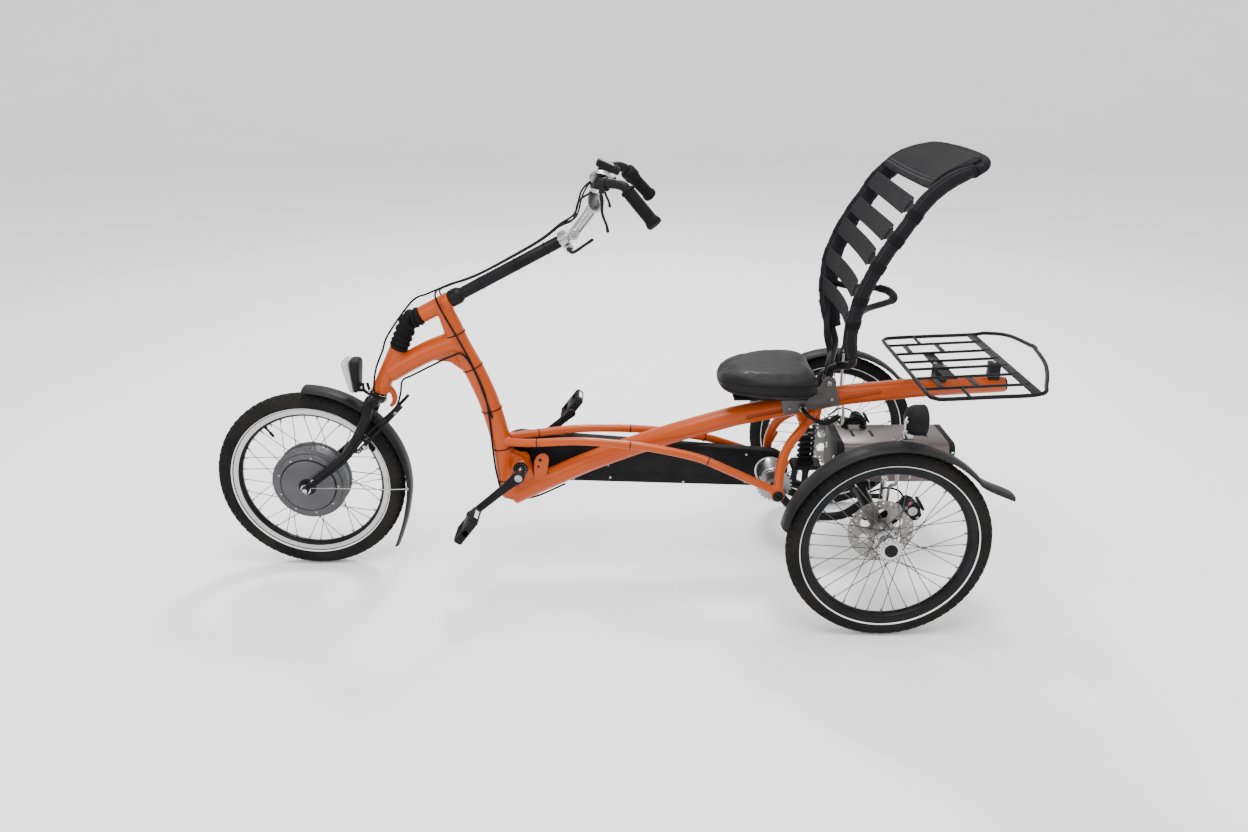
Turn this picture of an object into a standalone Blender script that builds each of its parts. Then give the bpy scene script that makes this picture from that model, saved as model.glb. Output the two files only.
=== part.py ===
"""Adult tricycle: one steered front wheel with a hub motor, a low step-through frame with a
reclining net seat, and a sprung rear unit that carries two wheels.

The model is in metres with +X to the rear, +Y to the rider's right and +Z up.  Pieces are laid out
from two datum points on the ground: the front axle (fore) and the rear axle (aft).
"""
import math

import bmesh
import bpy
from mathutils import Matrix, Vector

# ---------------------------------------------------------------- driving dimensions
WHEELBASE = 1.460
TRACK = 0.694
GAP = 0.0003                      # between pieces that touch
PLAY = 0.0010                     # between pieces that move on each other
TUBE_SIDES = 12                   # facets round a large frame tube

# wheels
FRONT_WHEEL_RADIUS = 0.250
REAR_WHEEL_RADIUS = 0.243
FRONT_TYRE_WIDTH = 0.047
REAR_TYRE_WIDTH = 0.040
RIM_RADIUS = 0.206
RIM_INNER_RADIUS = 0.186
RIM_WIDTH = 0.025
WHEEL_STEPS = 30
SPOKES = 28
SPOKE_RADIUS = 0.0010
HUB_FLANGE_RADIUS = 0.030
HUB_CAP_RADIUS = 0.021
MOTOR_RADIUS = 0.100
MOTOR_PLATE_RADIUS = 0.072
MOTOR_WIDTH = 0.090
MOTOR_AXLE_RADIUS = 0.008
DISC_RADIUS = 0.080
DISC_INSET = 0.072                # from the wheel's middle plane towards the frame
DISC_THICKNESS = 0.002
MUDGUARD_CLEARANCE = 0.0155       # from the tyre's tread to the mudguard
MUDGUARD_WIDTH = 0.060
MUDGUARD_WALL = 0.0025

# steering
STEER_ANGLE = math.radians(26.4)      # fork axis from the vertical
HEAD_TOP = (0.263, 0.620)
HEAD_LENGTH = 0.130
HEAD_RADIUS = 0.0215
STEERER_RADIUS = 0.0140
FORK_HALF_WIDTH = 0.056
FORK_LEG_RADIUS = 0.0115
COLUMN_ANGLE = math.radians(27.7)     # column axis above the horizontal
COLUMN_FOOT = (0.405, 0.747)          # top end of the column housing
HOUSING_LENGTH = 0.085
COLUMN_RADIUS = 0.0150
COLUMN_WALL = 0.0030
COLUMN_LENGTH = 0.312
INNER_TUBE_REACH = 0.338
STEM_LENGTH = 0.089
BAR_RADIUS = 0.0111
STEM_CLAMP_WIDTH = 0.044

# frame
TOWER_RADIUS = 0.0265
LINK_RADIUS = 0.0290
MAIN_TUBE_RADIUS = 0.0265
SIDE_TUBE_RADIUS = 0.0110
STAY_RADIUS = 0.0125
BRACKET_X, BRACKET_Z = 0.565, 0.297   # bottom bracket axis
BRACKET_SHELL_RADIUS = 0.0210
BRACKET_SHELL_WIDTH = 0.068
SPINDLE_RADIUS = 0.0085
PIVOT_X, PIVOT_Z = -0.227, 0.258      # rear unit's pivot, from the rear axle
PIVOT_SPREAD = 0.1115                 # from the middle to the middle of a pivot lug
PIVOT_LUG_WIDTH = 0.022
PIVOT_LUG_RADIUS = 0.0185
PIVOT_AXLE_RADIUS = 0.0075
RAIL_GROOVE_WIDTH = 0.009
RAIL_GROOVE_DEPTH = 0.004

# drive
CRANK_LENGTH = 0.165
CRANK_ANGLE = math.radians(219)
CRANK_INSET = 0.079                   # crank's inner face from the middle
PEDAL_WIDTH = 0.086
PEDAL_LENGTH = 0.082
PEDAL_THICKNESS = 0.022
PEDAL_TILT = math.radians(52)
CHAIN_LINE = 0.0600
CHAINRING_RADIUS = 0.0560
HUB_SPROCKET_RADIUS = 0.0360
GEAR_HUB_RADIUS = 0.0400
GEAR_HUB_HALF_WIDTH = 0.0440
CHAIN_WIDTH = 0.0070
CHAIN_HEIGHT = 0.0075
CHAIN_SLACK = 0.0022                  # from the tooth tips to the chain's inner edge
CASE_INNER_FACE = 0.0465
CASE_OUTER_FACE = 0.0735
CASE_WALL = 0.0020

# rear unit
AXLE_TUBE_RADIUS = 0.0175
AXLE_BORE_RADIUS = 0.0105
AXLE_SHAFT_RADIUS = 0.0085
AXLE_TUBE_HALF = 0.262
SWING_ARM_RADIUS = 0.0115
SWING_ARM_Y = 0.0880
SPRING_RADIUS = 0.0230
BATTERY_LENGTH = 0.304
BATTERY_WIDTH = 0.156
BATTERY_HEIGHT = 0.110
BATTERY_FRONT = -0.074                # from the rear axle
BATTERY_FLOOR = 0.272

# seat and backrest
SEAT_HALF_WIDTH = 0.135
SEAT_FLOOR = 0.5090
SEAT_HEIGHT = 0.077
SEAT_BRACKET_WALL = 0.0035
RECLINE_X, RECLINE_Z = -0.098, 0.533  # recline bolt, from the rear axle
RECLINE_BOLT_RADIUS = 0.0040
BACK_TUBE_RADIUS = 0.0100
BACK_HALF_WIDTH = 0.210
SLING_THICKNESS = 0.0030

# carrier
CARRIER_HALF_WIDTH = 0.240
CARRIER_FRONT = 0.098                 # from the rear axle
CARRIER_REAR = 0.348
CARRIER_HEIGHT = 0.568
CARRIER_RISE = 0.012
CARRIER_WIRE = 0.0050
HOOP_REACH = 0.422
HOOP_RISE = 0.040

DATUM_SHIFT = (FRONT_WHEEL_RADIUS - WHEELBASE - HOOP_REACH - CARRIER_WIRE) / 2

LEFT, RIGHT = -1, 1
SIDE_NAMES = {LEFT: "left", RIGHT: "right"}


# ---------------------------------------------------------------- datum points
def fore(x, z, y=0.0):
    """Point measured from the front axle's foot on the ground."""
    return Vector((x, y, z))


def aft(x, z, y=0.0):
    """Point measured from the rear axle's foot on the ground."""
    return Vector((WHEELBASE + x, y, z))


FRONT_AXLE = fore(0, FRONT_WHEEL_RADIUS)
REAR_AXLE = aft(0, REAR_WHEEL_RADIUS)
BRACKET = fore(BRACKET_X, BRACKET_Z)
PIVOT = aft(PIVOT_X, PIVOT_Z)
RECLINE = aft(RECLINE_X, RECLINE_Z)
RAIL_START = aft(-0.310, 0.437)
RAIL_END = aft(-0.053, 0.490)
RAIL_AXIS = (RAIL_END - RAIL_START).normalized()
STEER_AXIS = Vector((math.sin(STEER_ANGLE), 0, math.cos(STEER_ANGLE)))
COLUMN_AXIS = Vector((math.cos(COLUMN_ANGLE), 0, math.sin(COLUMN_ANGLE)))
HEAD = fore(*HEAD_TOP)
FOOT = fore(*COLUMN_FOOT)
ACROSS = Vector((0, 1, 0))


def on_steerer(distance, ahead=0.0, y=0.0):
    """Point on the fork axis, measured up from the head tube's top."""
    return HEAD + STEER_AXIS * distance + STEER_AXIS.cross(ACROSS) * ahead + ACROSS * y


def on_column(distance, above=0.0, y=0.0):
    """Point on the column axis, measured up from the housing's top end."""
    return FOOT + COLUMN_AXIS * distance + COLUMN_AXIS.cross(ACROSS) * above + ACROSS * y


def axes_meeting():
    """Where the fork axis and the column axis cross."""
    away = HEAD - FOOT
    turn = COLUMN_AXIS.x * STEER_AXIS.z - COLUMN_AXIS.z * STEER_AXIS.x
    return FOOT + COLUMN_AXIS * ((away.x * STEER_AXIS.z - away.z * STEER_AXIS.x) / turn)


JOINT_CENTRE = axes_meeting()
STEM_PIVOT = on_column(INNER_TUBE_REACH + 0.014)
STEM_ANGLE = math.radians(53)
BAR_CENTRE = STEM_PIVOT + Vector((math.cos(STEM_ANGLE), 0, math.sin(STEM_ANGLE))) * STEM_LENGTH


# ---------------------------------------------------------------- mesh helpers
def new_object(mesh):
    item = bpy.data.objects.new("piece", mesh)
    bpy.context.scene.collection.objects.link(item)
    return item


def loft(rings, closed=False):
    """Closed solid through equal rings of points; closed joins the last ring to the first."""
    build = bmesh.new()
    rows = [[build.verts.new(point) for point in ring] for ring in rings]
    for index in range(len(rows) if closed else len(rows) - 1):
        here, following = rows[index], rows[(index + 1) % len(rows)]
        for corner in range(len(here)):
            beside = (corner + 1) % len(here)
            build.faces.new((here[corner], here[beside], following[beside], following[corner]))
    if not closed:
        build.faces.new(rows[0])
        build.faces.new(rows[-1])
    bmesh.ops.remove_doubles(build, verts=build.verts, dist=1e-6)
    loose = [edge for edge in build.edges if not edge.link_faces]
    bmesh.ops.delete(build, geom=loose, context="EDGES")
    bmesh.ops.recalc_face_normals(build, faces=build.faces)
    mesh = bpy.data.meshes.new("piece")
    build.to_mesh(mesh)
    build.free()
    return new_object(mesh)


def smooth(points, steps=4):
    """Points along a smooth curve through the given ones."""
    ends = [points[0] * 2 - points[1]] + list(points) + [points[-1] * 2 - points[-2]]
    path = []
    for index in range(len(points) - 1):
        a, b, c, d = ends[index:index + 4]
        for step in range(steps):
            t = step / steps
            path.append(0.5 * (2 * b + (c - a) * t + (2 * a - 5 * b + 4 * c - d) * t * t
                               + (3 * b - 3 * c + d - a) * t ** 3))
    return path + [points[-1].copy()]


def frames(path):
    """Point, normal and binormal at each point of a path, without twist."""
    result = []
    normal = None
    for index, point in enumerate(path):
        tangent = (path[min(index + 1, len(path) - 1)] - path[max(index - 1, 0)]).normalized()
        if normal is None:
            normal = ACROSS.cross(tangent)
            if normal.length < 0.1:
                normal = Vector((0, 0, 1)).cross(tangent)
        normal = (normal - tangent * normal.dot(tangent)).normalized()
        result.append((point, normal, tangent.cross(normal)))
    return result


def circle(point, normal, binormal, radius, sides, flat=1.0):
    turns = (2 * math.pi * (side + 0.5) / sides for side in range(sides))
    return [point + normal * math.cos(turn) * radius * flat + binormal * math.sin(turn) * radius
            for turn in turns]


def at_each(value, count):
    """A value for each of count points, read evenly from one number or from a list."""
    if isinstance(value, (int, float)):
        return [value] * count
    result = []
    for index in range(count):
        place = index * (len(value) - 1) / max(count - 1, 1)
        low = min(int(place), len(value) - 2)
        result.append(value[low] + (value[low + 1] - value[low]) * (place - low))
    return result


def bar(path, radius, sides=12, flat=1.0):
    """Round bar along a path; radius is one number or a list spread evenly along it."""
    radii = at_each(radius, len(path))
    return loft([circle(*frame, size, sides, flat) for frame, size in zip(frames(path), radii)])


def pipe(path, outer, inner, sides=12):
    """Open tube along a path, with its wall between two radii."""
    places = frames(path)
    outside = [circle(*frame, size, sides) for frame, size in zip(places, at_each(outer, len(path)))]
    inside = [circle(*frame, size, sides) for frame, size in zip(places, at_each(inner, len(path)))]
    return loft(outside + inside[::-1], closed=True)


def lathe(origin, axis, profile, steps=24, start=0.0, turn=360.0):
    """Profile of (radius, height) pairs turned about an axis; less than 360 degrees is capped."""
    axis = axis.normalized()
    across = axis.cross(Vector((0, 0, 1)) if abs(axis.z) < 0.9 else Vector((1, 0, 0))).normalized()
    other = axis.cross(across)
    whole = turn >= 360
    rings = []
    for step in range(steps if whole else steps + 1):
        angle = math.radians(start + turn * step / steps)
        out = across * math.cos(angle) + other * math.sin(angle)
        rings.append([origin + axis * height + out * radius for radius, height in profile])
    return loft(rings, closed=whole)


def rod(start, end, radius, sides=12):
    return bar([start, end], radius, sides)


def drum(point, radius, low, high, sides=14):
    """Cylinder along Y between two Y values."""
    return rod(Vector((point.x, low, point.z)), Vector((point.x, high, point.z)), radius, sides)


def plate(outline, low, high):
    """Sheet in the XZ plane, given as (x, z) pairs, between two Y values."""
    return loft([[Vector((x, y, z)) for x, z in outline] for y in (low, high)])


def block(centre, size, turn=None):
    """Box with its middle at centre; turn is a rotation matrix."""
    half = Vector(size) / 2
    rings = []
    for x in (-half.x, half.x):
        ring = [Vector((x, y * half.y, z * half.z)) for y, z in ((-1, -1), (1, -1), (1, 1), (-1, 1))]
        rings.append([centre + (turn @ point if turn else point) for point in ring])
    return loft(rings)


def evaluated(item):
    graph = bpy.context.evaluated_depsgraph_get()
    return bpy.data.meshes.new_from_object(item.evaluated_get(graph))


def combine(base, others, operation):
    for other in others:
        step = base.modifiers.new("step", "BOOLEAN")
        step.operation = operation
        step.solver = "EXACT"
        step.object = other
    base.data = evaluated(base)
    base.modifiers.clear()
    for other in others:
        bpy.data.objects.remove(other)
    return base


def fuse(base, *others):
    return combine(base, others, "UNION")


def carve(base, *others):
    return combine(base, others, "DIFFERENCE")


def rounded(item, width, segments=2):
    """Edges rounded over by a bevel."""
    bevel = item.modifiers.new("rounding", "BEVEL")
    bevel.width = width
    bevel.segments = segments
    bevel.limit_method = "ANGLE"
    item.data = evaluated(item)
    item.modifiers.clear()
    return item


def arc(centre, radius, start, end, steps):
    """Points (x, z) on an arc, angles in degrees from +X towards +Z."""
    result = []
    for step in range(steps + 1):
        angle = math.radians(start + (end - start) * step / steps)
        result.append((centre[0] + radius * math.cos(angle), centre[1] + radius * math.sin(angle)))
    return result


# ---------------------------------------------------------------- materials and assembly
FINISHES = {
    "frame_paint": ((0.72, 0.17, 0.012), 0.32, 0.0),
    "black_metal": ((0.020, 0.020, 0.022), 0.35, 0.4),
    "black_plastic": ((0.018, 0.018, 0.019), 0.45, 0.0),
    "silver_metal": ((0.62, 0.62, 0.63), 0.28, 1.0),
    "motor_grey": ((0.36, 0.36, 0.37), 0.38, 0.9),
    "steel": ((0.55, 0.55, 0.56), 0.30, 1.0),
    "tyre_rubber": ((0.022, 0.022, 0.023), 0.75, 0.0),
    "soft_rubber": ((0.020, 0.020, 0.020), 0.70, 0.0),
    "seat_vinyl": ((0.022, 0.021, 0.023), 0.50, 0.0),
    "net_fabric": ((0.020, 0.019, 0.022), 0.90, 0.0),
    "battery_case": ((0.26, 0.24, 0.24), 0.40, 0.3),
    "lamp_clear": ((0.75, 0.76, 0.78), 0.12, 0.0),
    "lamp_red": ((0.45, 0.02, 0.02), 0.20, 0.0),
}
MATERIALS = {}
BODIES = {}


def material(slot):
    if slot not in MATERIALS:
        colour, roughness, metallic = FINISHES[slot]
        item = bpy.data.materials.new(slot)
        item.use_nodes = True
        shader = item.node_tree.nodes["Principled BSDF"]
        shader.inputs["Base Color"].default_value = (*colour, 1)
        shader.inputs["Roughness"].default_value = roughness
        shader.inputs["Metallic"].default_value = metallic
        item.diffuse_color = (*colour, 1)
        MATERIALS[slot] = item
    return MATERIALS[slot]


def body(name, point=None):
    """Empty that carries a moving body, placed on its joint's axis."""
    empty = bpy.data.objects.new("axis_" + name, None)
    bpy.context.scene.collection.objects.link(empty)
    shift = Vector((DATUM_SHIFT, 0, 0))
    empty.location = shift + (point if point else Vector())
    BODIES[name] = (empty, point if point else Vector())


def keep(item, name, slot, group="frame"):
    """Names a finished piece, gives it its material and hangs it on its body's empty."""
    empty, point = BODIES[group]
    item.name = name
    item.data.name = name
    item.data.transform(Matrix.Translation(-point))
    item.data.materials.clear()
    item.data.materials.append(material(slot))
    item.data.shade_smooth()
    item.data.set_sharp_from_angle(angle=math.radians(35))
    item.parent = empty
    return item


# ---------------------------------------------------------------- frame
TOWER_PATH = [fore(0.389, 0.722), fore(0.403, 0.682), fore(0.421, 0.631), fore(0.456, 0.556),
              fore(0.485, 0.480), fore(0.505, 0.402), fore(0.518, 0.335), fore(0.525, 0.267),
              fore(0.537, 0.205)]
MAIN_PATH = [fore(0.537, 0.205), fore(0.600, 0.236), fore(0.660, 0.263), fore(0.740, 0.300),
             fore(0.839, 0.339), aft(-0.545, 0.366), aft(-0.470, 0.391), aft(-0.370, 0.421),
             RAIL_START, (RAIL_START + RAIL_END) / 2, RAIL_END, aft(0.096, 0.506),
             aft(0.163, 0.511), aft(0.360, 0.519)]
MAIN_RADII = [0.0290, 0.0280] + [MAIN_TUBE_RADIUS] * 9 + [0.0255, 0.0245, 0.0205]


def side_path(side):
    """Middle line of a side tube, from the tower to the rear unit's pivot."""
    points = [(fore(0.518, 0.366), 0.012), (fore(0.560, 0.368), 0.026), (fore(0.611, 0.371), 0.034),
              (fore(0.713, 0.379), 0.043), (fore(0.819, 0.376), 0.053), (aft(-0.433, 0.3455), 0.0735),
              (aft(-0.380, 0.3290), 0.0875), (aft(-0.318, 0.3040), 0.0985), (aft(PIVOT_X - 0.010, PIVOT_Z + 0.012), PIVOT_SPREAD)]
    return smooth([point + ACROSS * side * y for point, y in points], 2)


def stay_path(side):
    """Middle line of the curved stay from the main tube down to the pivot."""
    points = [(aft(-0.128, 0.455), 0.004), (aft(-0.139, 0.441), 0.030), (aft(-0.166, 0.420), 0.062),
              (aft(-0.201, 0.385), 0.087), (aft(-0.221, 0.335), 0.103),
              (aft(PIVOT_X + 0.002, PIVOT_Z + 0.010), PIVOT_SPREAD)]
    return smooth([point + ACROSS * side * y for point, y in points], 2)


def head_tube():
    low, high = on_steerer(-HEAD_LENGTH), on_steerer(0)
    return rod(low, high, HEAD_RADIUS, 16)


def make_front_frame():
    link = [fore(0.236, 0.553), fore(0.290, 0.585), fore(0.344, 0.613), fore(0.412, 0.638)]
    base = head_tube()
    tower = bar(smooth(TOWER_PATH, 2), [0.021, 0.0255, TOWER_RADIUS, TOWER_RADIUS, TOWER_RADIUS,
                                        0.0275, 0.0290], TUBE_SIDES)
    shell = drum(BRACKET, BRACKET_SHELL_RADIUS, -BRACKET_SHELL_WIDTH / 2, BRACKET_SHELL_WIDTH / 2)
    gusset = plate([(0.520, 0.345), (0.585, 0.312), (0.600, 0.262), (0.530, 0.220)], -0.0165, 0.0165)
    flare = plate([(0.352, 0.590), (0.395, 0.585), (0.428, 0.560), (0.440, 0.600), (0.400, 0.640)],
                  -0.0130, 0.0130)
    housing = rod(on_column(-HOUSING_LENGTH), on_column(0), HEAD_RADIUS, 16)
    stop = bar(smooth([fore(0.222, 0.524), fore(0.240, 0.499), fore(0.241, 0.475), fore(0.229, 0.461)], 3),
               [0.0085, 0.0075, 0.0050], 8)
    fuse(base, bar(smooth(link, 2), [LINK_RADIUS - 0.004, LINK_RADIUS], TUBE_SIDES), tower, shell, gusset,
         flare, housing, stop)
    carve(base, rod(on_steerer(-HEAD_LENGTH - 0.002), on_steerer(0.002), STEERER_RADIUS + 0.0025),
          rod(on_column(-HOUSING_LENGTH - 0.012), on_column(0.002), COLUMN_RADIUS + 0.0015),
          drum(BRACKET, SPINDLE_RADIUS + PLAY, -BRACKET_SHELL_WIDTH, BRACKET_SHELL_WIDTH, 16))
    keep(base, "front_frame", "frame_paint")


def tower_cutter(extra=GAP):
    """Room for the tower, with clearance past its lower end."""
    down = (TOWER_PATH[-1] - TOWER_PATH[-2]).normalized()
    foot = rod(TOWER_PATH[-1] - down * 0.030, TOWER_PATH[-1] + down * 0.003, 0.0290 + 3 * extra, 16)
    return fuse(bar(smooth(TOWER_PATH, 2), [0.021 + extra, 0.0255 + extra, TOWER_RADIUS + extra,
                                            TOWER_RADIUS + extra, TOWER_RADIUS + extra,
                                            0.0275 + extra, 0.0290 + extra], TUBE_SIDES), foot)


def main_cutter(extra=GAP):
    return bar(smooth(MAIN_PATH, 2), [size + extra for size in MAIN_RADII], TUBE_SIDES)


def make_main_tube():
    base = bar(smooth(MAIN_PATH, 2), MAIN_RADII, TUBE_SIDES)
    groove_reach = MAIN_TUBE_RADIUS - RAIL_GROOVE_DEPTH
    start, end = RAIL_START + RAIL_AXIS * 0.004, RAIL_END + RAIL_AXIS * 0.110
    middle = (start + end) / 2
    tilt = Matrix.Rotation(-math.atan2(RAIL_AXIS.z, RAIL_AXIS.x), 3, "Y")
    size = ((end - start).length, 0.020, RAIL_GROOVE_WIDTH)
    grooves = [block(middle + ACROSS * side * (groove_reach + 0.010), size, tilt)
               for side in (LEFT, RIGHT)]
    perch = plate([(WHEELBASE - 0.172, 0.452), (WHEELBASE - 0.108, 0.462), (WHEELBASE - 0.112, 0.4185),
                   (WHEELBASE - 0.168, 0.4185)], -0.020, 0.020)
    ear = plate([(0.598, 0.245), (0.600, 0.318), (0.618, 0.334), (0.634, 0.334), (0.640, 0.318),
                 (0.630, 0.262)], -0.0225, -0.0180)
    fuse(base, perch, ear)
    holes = [drum(fore(0.613, 0.311), 0.0028, -0.03, -0.01, 8),
             drum(fore(0.612, 0.296), 0.0028, -0.03, -0.01, 8)]
    bracket_space = drum(BRACKET, BRACKET_SHELL_RADIUS + GAP, -0.036, 0.036)
    gusset_space = plate([(0.515, 0.348), (0.5858, 0.3128), (0.6012, 0.2605), (0.528, 0.2170)],
                         -0.0168, 0.0168)
    carve(base, tower_cutter(), bracket_space, gusset_space, *grooves, *holes)
    keep(base, "main_tube", "frame_paint")


def make_side_rail(side):
    """Side tube, pivot stay and pivot lug of one side, welded together."""
    inner = side * (PIVOT_SPREAD - PIVOT_LUG_WIDTH / 2)
    outer = side * (PIVOT_SPREAD + PIVOT_LUG_WIDTH / 2)
    lug = drum(PIVOT, PIVOT_LUG_RADIUS, min(inner, outer), max(inner, outer))
    fuse(lug, bar(side_path(side), SIDE_TUBE_RADIUS, 8), bar(stay_path(side), STAY_RADIUS, 8))
    low, high = min(inner, outer) - 0.02, max(inner, outer) + 0.02
    if side == RIGHT:
        half_space = block(fore(0.9, 0.35, y=-0.2 + GAP / 2), (2.4, 0.4, 0.8))
    else:
        half_space = block(fore(0.9, 0.35, y=0.2 - GAP / 2), (2.4, 0.4, 0.8))
    perch_space = block(aft(-0.140, 0.440), (0.0700, 0.0406, 0.0436))
    bore = drum(PIVOT, PIVOT_AXLE_RADIUS + GAP, low, high, 16)
    faces = [drum(PIVOT, 0.034, *sorted((inner - side * 0.040, inner)), 16),
             drum(PIVOT, 0.034, *sorted((outer, outer + side * 0.040)), 16)]
    carve(lug, tower_cutter(), main_cutter(), half_space, perch_space, bore, *faces)
    keep(lug, "side_rail_" + SIDE_NAMES[side], "frame_paint")


def make_pivot_axle():
    reach = PIVOT_SPREAD + PIVOT_LUG_WIDTH / 2 + GAP
    cap = reach + 0.006
    profile = [(0, -cap), (0.010, -cap), (0.0145, -reach - 0.002), (0.0145, -reach),
               (PIVOT_AXLE_RADIUS, -reach), (PIVOT_AXLE_RADIUS, reach), (0.0145, reach),
               (0.0145, reach + 0.002), (0.010, cap), (0, cap)]
    keep(lathe(PIVOT, ACROSS, profile, 12), "pivot_axle", "black_metal")


# ---------------------------------------------------------------- drive
def case_outline(inset=0.0):
    """Side view of the chain case, as (x, z) pairs."""
    rear = (PIVOT.x, PIVOT.z)
    front = (BRACKET.x, BRACKET.z)
    front_radius = CHAINRING_RADIUS + 0.0140 - inset
    rear_radius = HUB_SPROCKET_RADIUS + 0.0165 - inset
    low_front = arc(front, front_radius, 95, 262, 8)
    low_rear = arc(rear, rear_radius, -94, 82, 7)
    return low_front + low_rear


def make_chain_case():
    depth = CASE_OUTER_FACE - CASE_INNER_FACE
    split = CASE_INNER_FACE + CASE_WALL
    cover = plate(case_outline(), CASE_INNER_FACE, split)
    carve(cover, drum(BRACKET, SPINDLE_RADIUS + 0.004, 0.0, 0.1),
          drum(PIVOT, 0.0200, 0.0, 0.1))
    keep(cover, "chain_case_inner", "black_plastic")
    tray = plate(case_outline(), split + GAP, CASE_INNER_FACE + depth)
    hollow = plate(case_outline(CASE_WALL), split - 0.01, CASE_OUTER_FACE - CASE_WALL)
    carve(tray, hollow)
    carve(tray, drum(BRACKET, SPINDLE_RADIUS + 0.004, 0.0, 0.1),
          drum(PIVOT, PIVOT_AXLE_RADIUS + 0.004, 0.0, 0.1))
    keep(tray, "chain_case_outer", "black_plastic")


def make_front_chain():
    """Closed run of chain round the chainring and the gear hub's sprocket."""
    def run(grow):
        front = arc((BRACKET.x, BRACKET.z), CHAINRING_RADIUS + grow, 93, 266, 8)
        return front + arc((PIVOT.x, PIVOT.z), HUB_SPROCKET_RADIUS + grow, -92, 86, 8)
    low, high = CHAIN_LINE - CHAIN_WIDTH / 2, CHAIN_LINE + CHAIN_WIDTH / 2
    outer = plate(run(CHAIN_SLACK + CHAIN_HEIGHT), low, high)
    carve(outer, plate(run(CHAIN_SLACK), low - 0.01, high + 0.01))
    keep(outer, "front_chain", "steel")


def sprocket(centre, radius, teeth, low, high):
    """Toothed ring blank whose tooth tips reach the given radius."""
    outline = []
    for tooth in range(teeth):
        for part, reach in ((0.0, -0.003), (0.5, 0.0)):
            angle = 2 * math.pi * (tooth + part) / teeth
            outline.append((centre.x + (radius + reach) * math.cos(angle),
                            centre.z + (radius + reach) * math.sin(angle)))
    return plate(outline, low, high)


def crank_end(side):
    angle = CRANK_ANGLE + (math.pi if side == RIGHT else 0)
    return BRACKET + Vector((math.cos(angle), 0, math.sin(angle))) * CRANK_LENGTH


def make_crank(side):
    near = CRANK_INSET * side
    end = crank_end(side)
    along = (end - BRACKET).normalized()
    rise = 0.012 * side
    rings = []
    for distance, half, shift, thick in ((-0.016, 0.006, 0.0, 0.014), (-0.008, 0.0155, 0.0, 0.016),
                                         (0.010, 0.0165, 0.0, 0.016), (0.034, 0.0120, 0.2, 0.014),
                                         (CRANK_LENGTH - 0.020, 0.0100, 1.0, 0.011),
                                         (CRANK_LENGTH + 0.004, 0.0120, 1.0, 0.012),
                                         (CRANK_LENGTH + 0.012, 0.0060, 1.0, 0.012)):
        point = BRACKET + along * distance + ACROSS * (near + rise * shift)
        wide = along.cross(ACROSS) * half
        out = ACROSS * thick * side
        rings.append([point - wide, point + wide, point + wide * 0.8 + out, point - wide * 0.8 + out])
    base = loft(rings)
    spindle_end = CRANK_INSET + 0.013
    if side == RIGHT:
        ring = sprocket(BRACKET, CHAINRING_RADIUS, 28, CHAIN_LINE - 0.0020, CHAIN_LINE + 0.0020)
        fuse(base, drum(BRACKET, SPINDLE_RADIUS, -spindle_end, spindle_end, 12), ring)
    else:
        carve(base, drum(BRACKET, SPINDLE_RADIUS + GAP, -spindle_end - 2 * GAP, 0, 12))
    keep(base, "crank_" + SIDE_NAMES[side], "black_metal", "cranks")


def make_pedal(side):
    """Pedal: a spindle end, a central barrel and a caged platform."""
    centre = crank_end(side)
    inner = (CRANK_INSET + 0.012 + 0.012) * side + GAP * side
    start = inner + 0.010 * side
    end = start + PEDAL_WIDTH * side
    turn = Matrix.Rotation(-PEDAL_TILT, 3, "Y")
    middle = Vector((centre.x, (start + end) / 2, centre.z))
    body_block = block(middle, (PEDAL_LENGTH, PEDAL_WIDTH, PEDAL_THICKNESS), turn)
    windows = [block(middle + turn @ Vector((shift, 0, 0)),
                     (PEDAL_LENGTH * 0.24, PEDAL_WIDTH * 0.66, 0.05), turn)
               for shift in (-PEDAL_LENGTH * 0.27, PEDAL_LENGTH * 0.27)]
    carve(body_block, *windows)
    fuse(body_block, rod(Vector((centre.x, inner, centre.z)), Vector((centre.x, end, centre.z)), 0.0075, 10))
    keep(body_block, "pedal_" + SIDE_NAMES[side], "black_plastic", "pedal_" + SIDE_NAMES[side])


def make_gear_hub():
    half = GEAR_HUB_HALF_WIDTH
    profile = [(PIVOT_AXLE_RADIUS + PLAY, -half - 0.020), (0.0150, -half - 0.020), (0.0150, -half),
               (GEAR_HUB_RADIUS * 0.7, -half), (GEAR_HUB_RADIUS, -half + 0.008),
               (GEAR_HUB_RADIUS, half - 0.008), (GEAR_HUB_RADIUS * 0.7, half), (0.0150, half),
               (0.0150, half + 0.022), (PIVOT_AXLE_RADIUS + PLAY, half + 0.022)]
    base = lathe(PIVOT, ACROSS, profile, 16)
    small = sprocket(PIVOT, HUB_SPROCKET_RADIUS, 18, CHAIN_LINE - 0.0020, CHAIN_LINE + 0.0020)
    large = drum(PIVOT, 0.0470, -half - 0.012, -half - 0.008, 24)
    axle_space = [drum(PIVOT, 0.0120, low, high) for low, high in ((0.05, 0.07), (-0.07, -0.05))]
    carve(small, axle_space[0])
    carve(large, axle_space[1])
    keep(fuse(base, small, large), "gear_hub", "silver_metal", "gear_hub")


# ---------------------------------------------------------------- wheels
def tyre_profile(radius, width):
    section = width / 2
    middle = radius - section
    points = [(middle + section * math.cos(math.radians(angle)), section * math.sin(math.radians(angle)))
              for angle in range(-120, 121, 60)]
    bead = RIM_RADIUS + GAP
    return [(bead, -0.0105)] + points + [(bead, 0.0105)]


def rim_profile():
    half = RIM_WIDTH / 2
    return [(RIM_RADIUS, -half), (RIM_RADIUS, half), (RIM_RADIUS - 0.014, half),
            (RIM_INNER_RADIUS, half * 0.6), (RIM_INNER_RADIUS, -half * 0.6),
            (RIM_RADIUS - 0.014, -half)]


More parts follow.
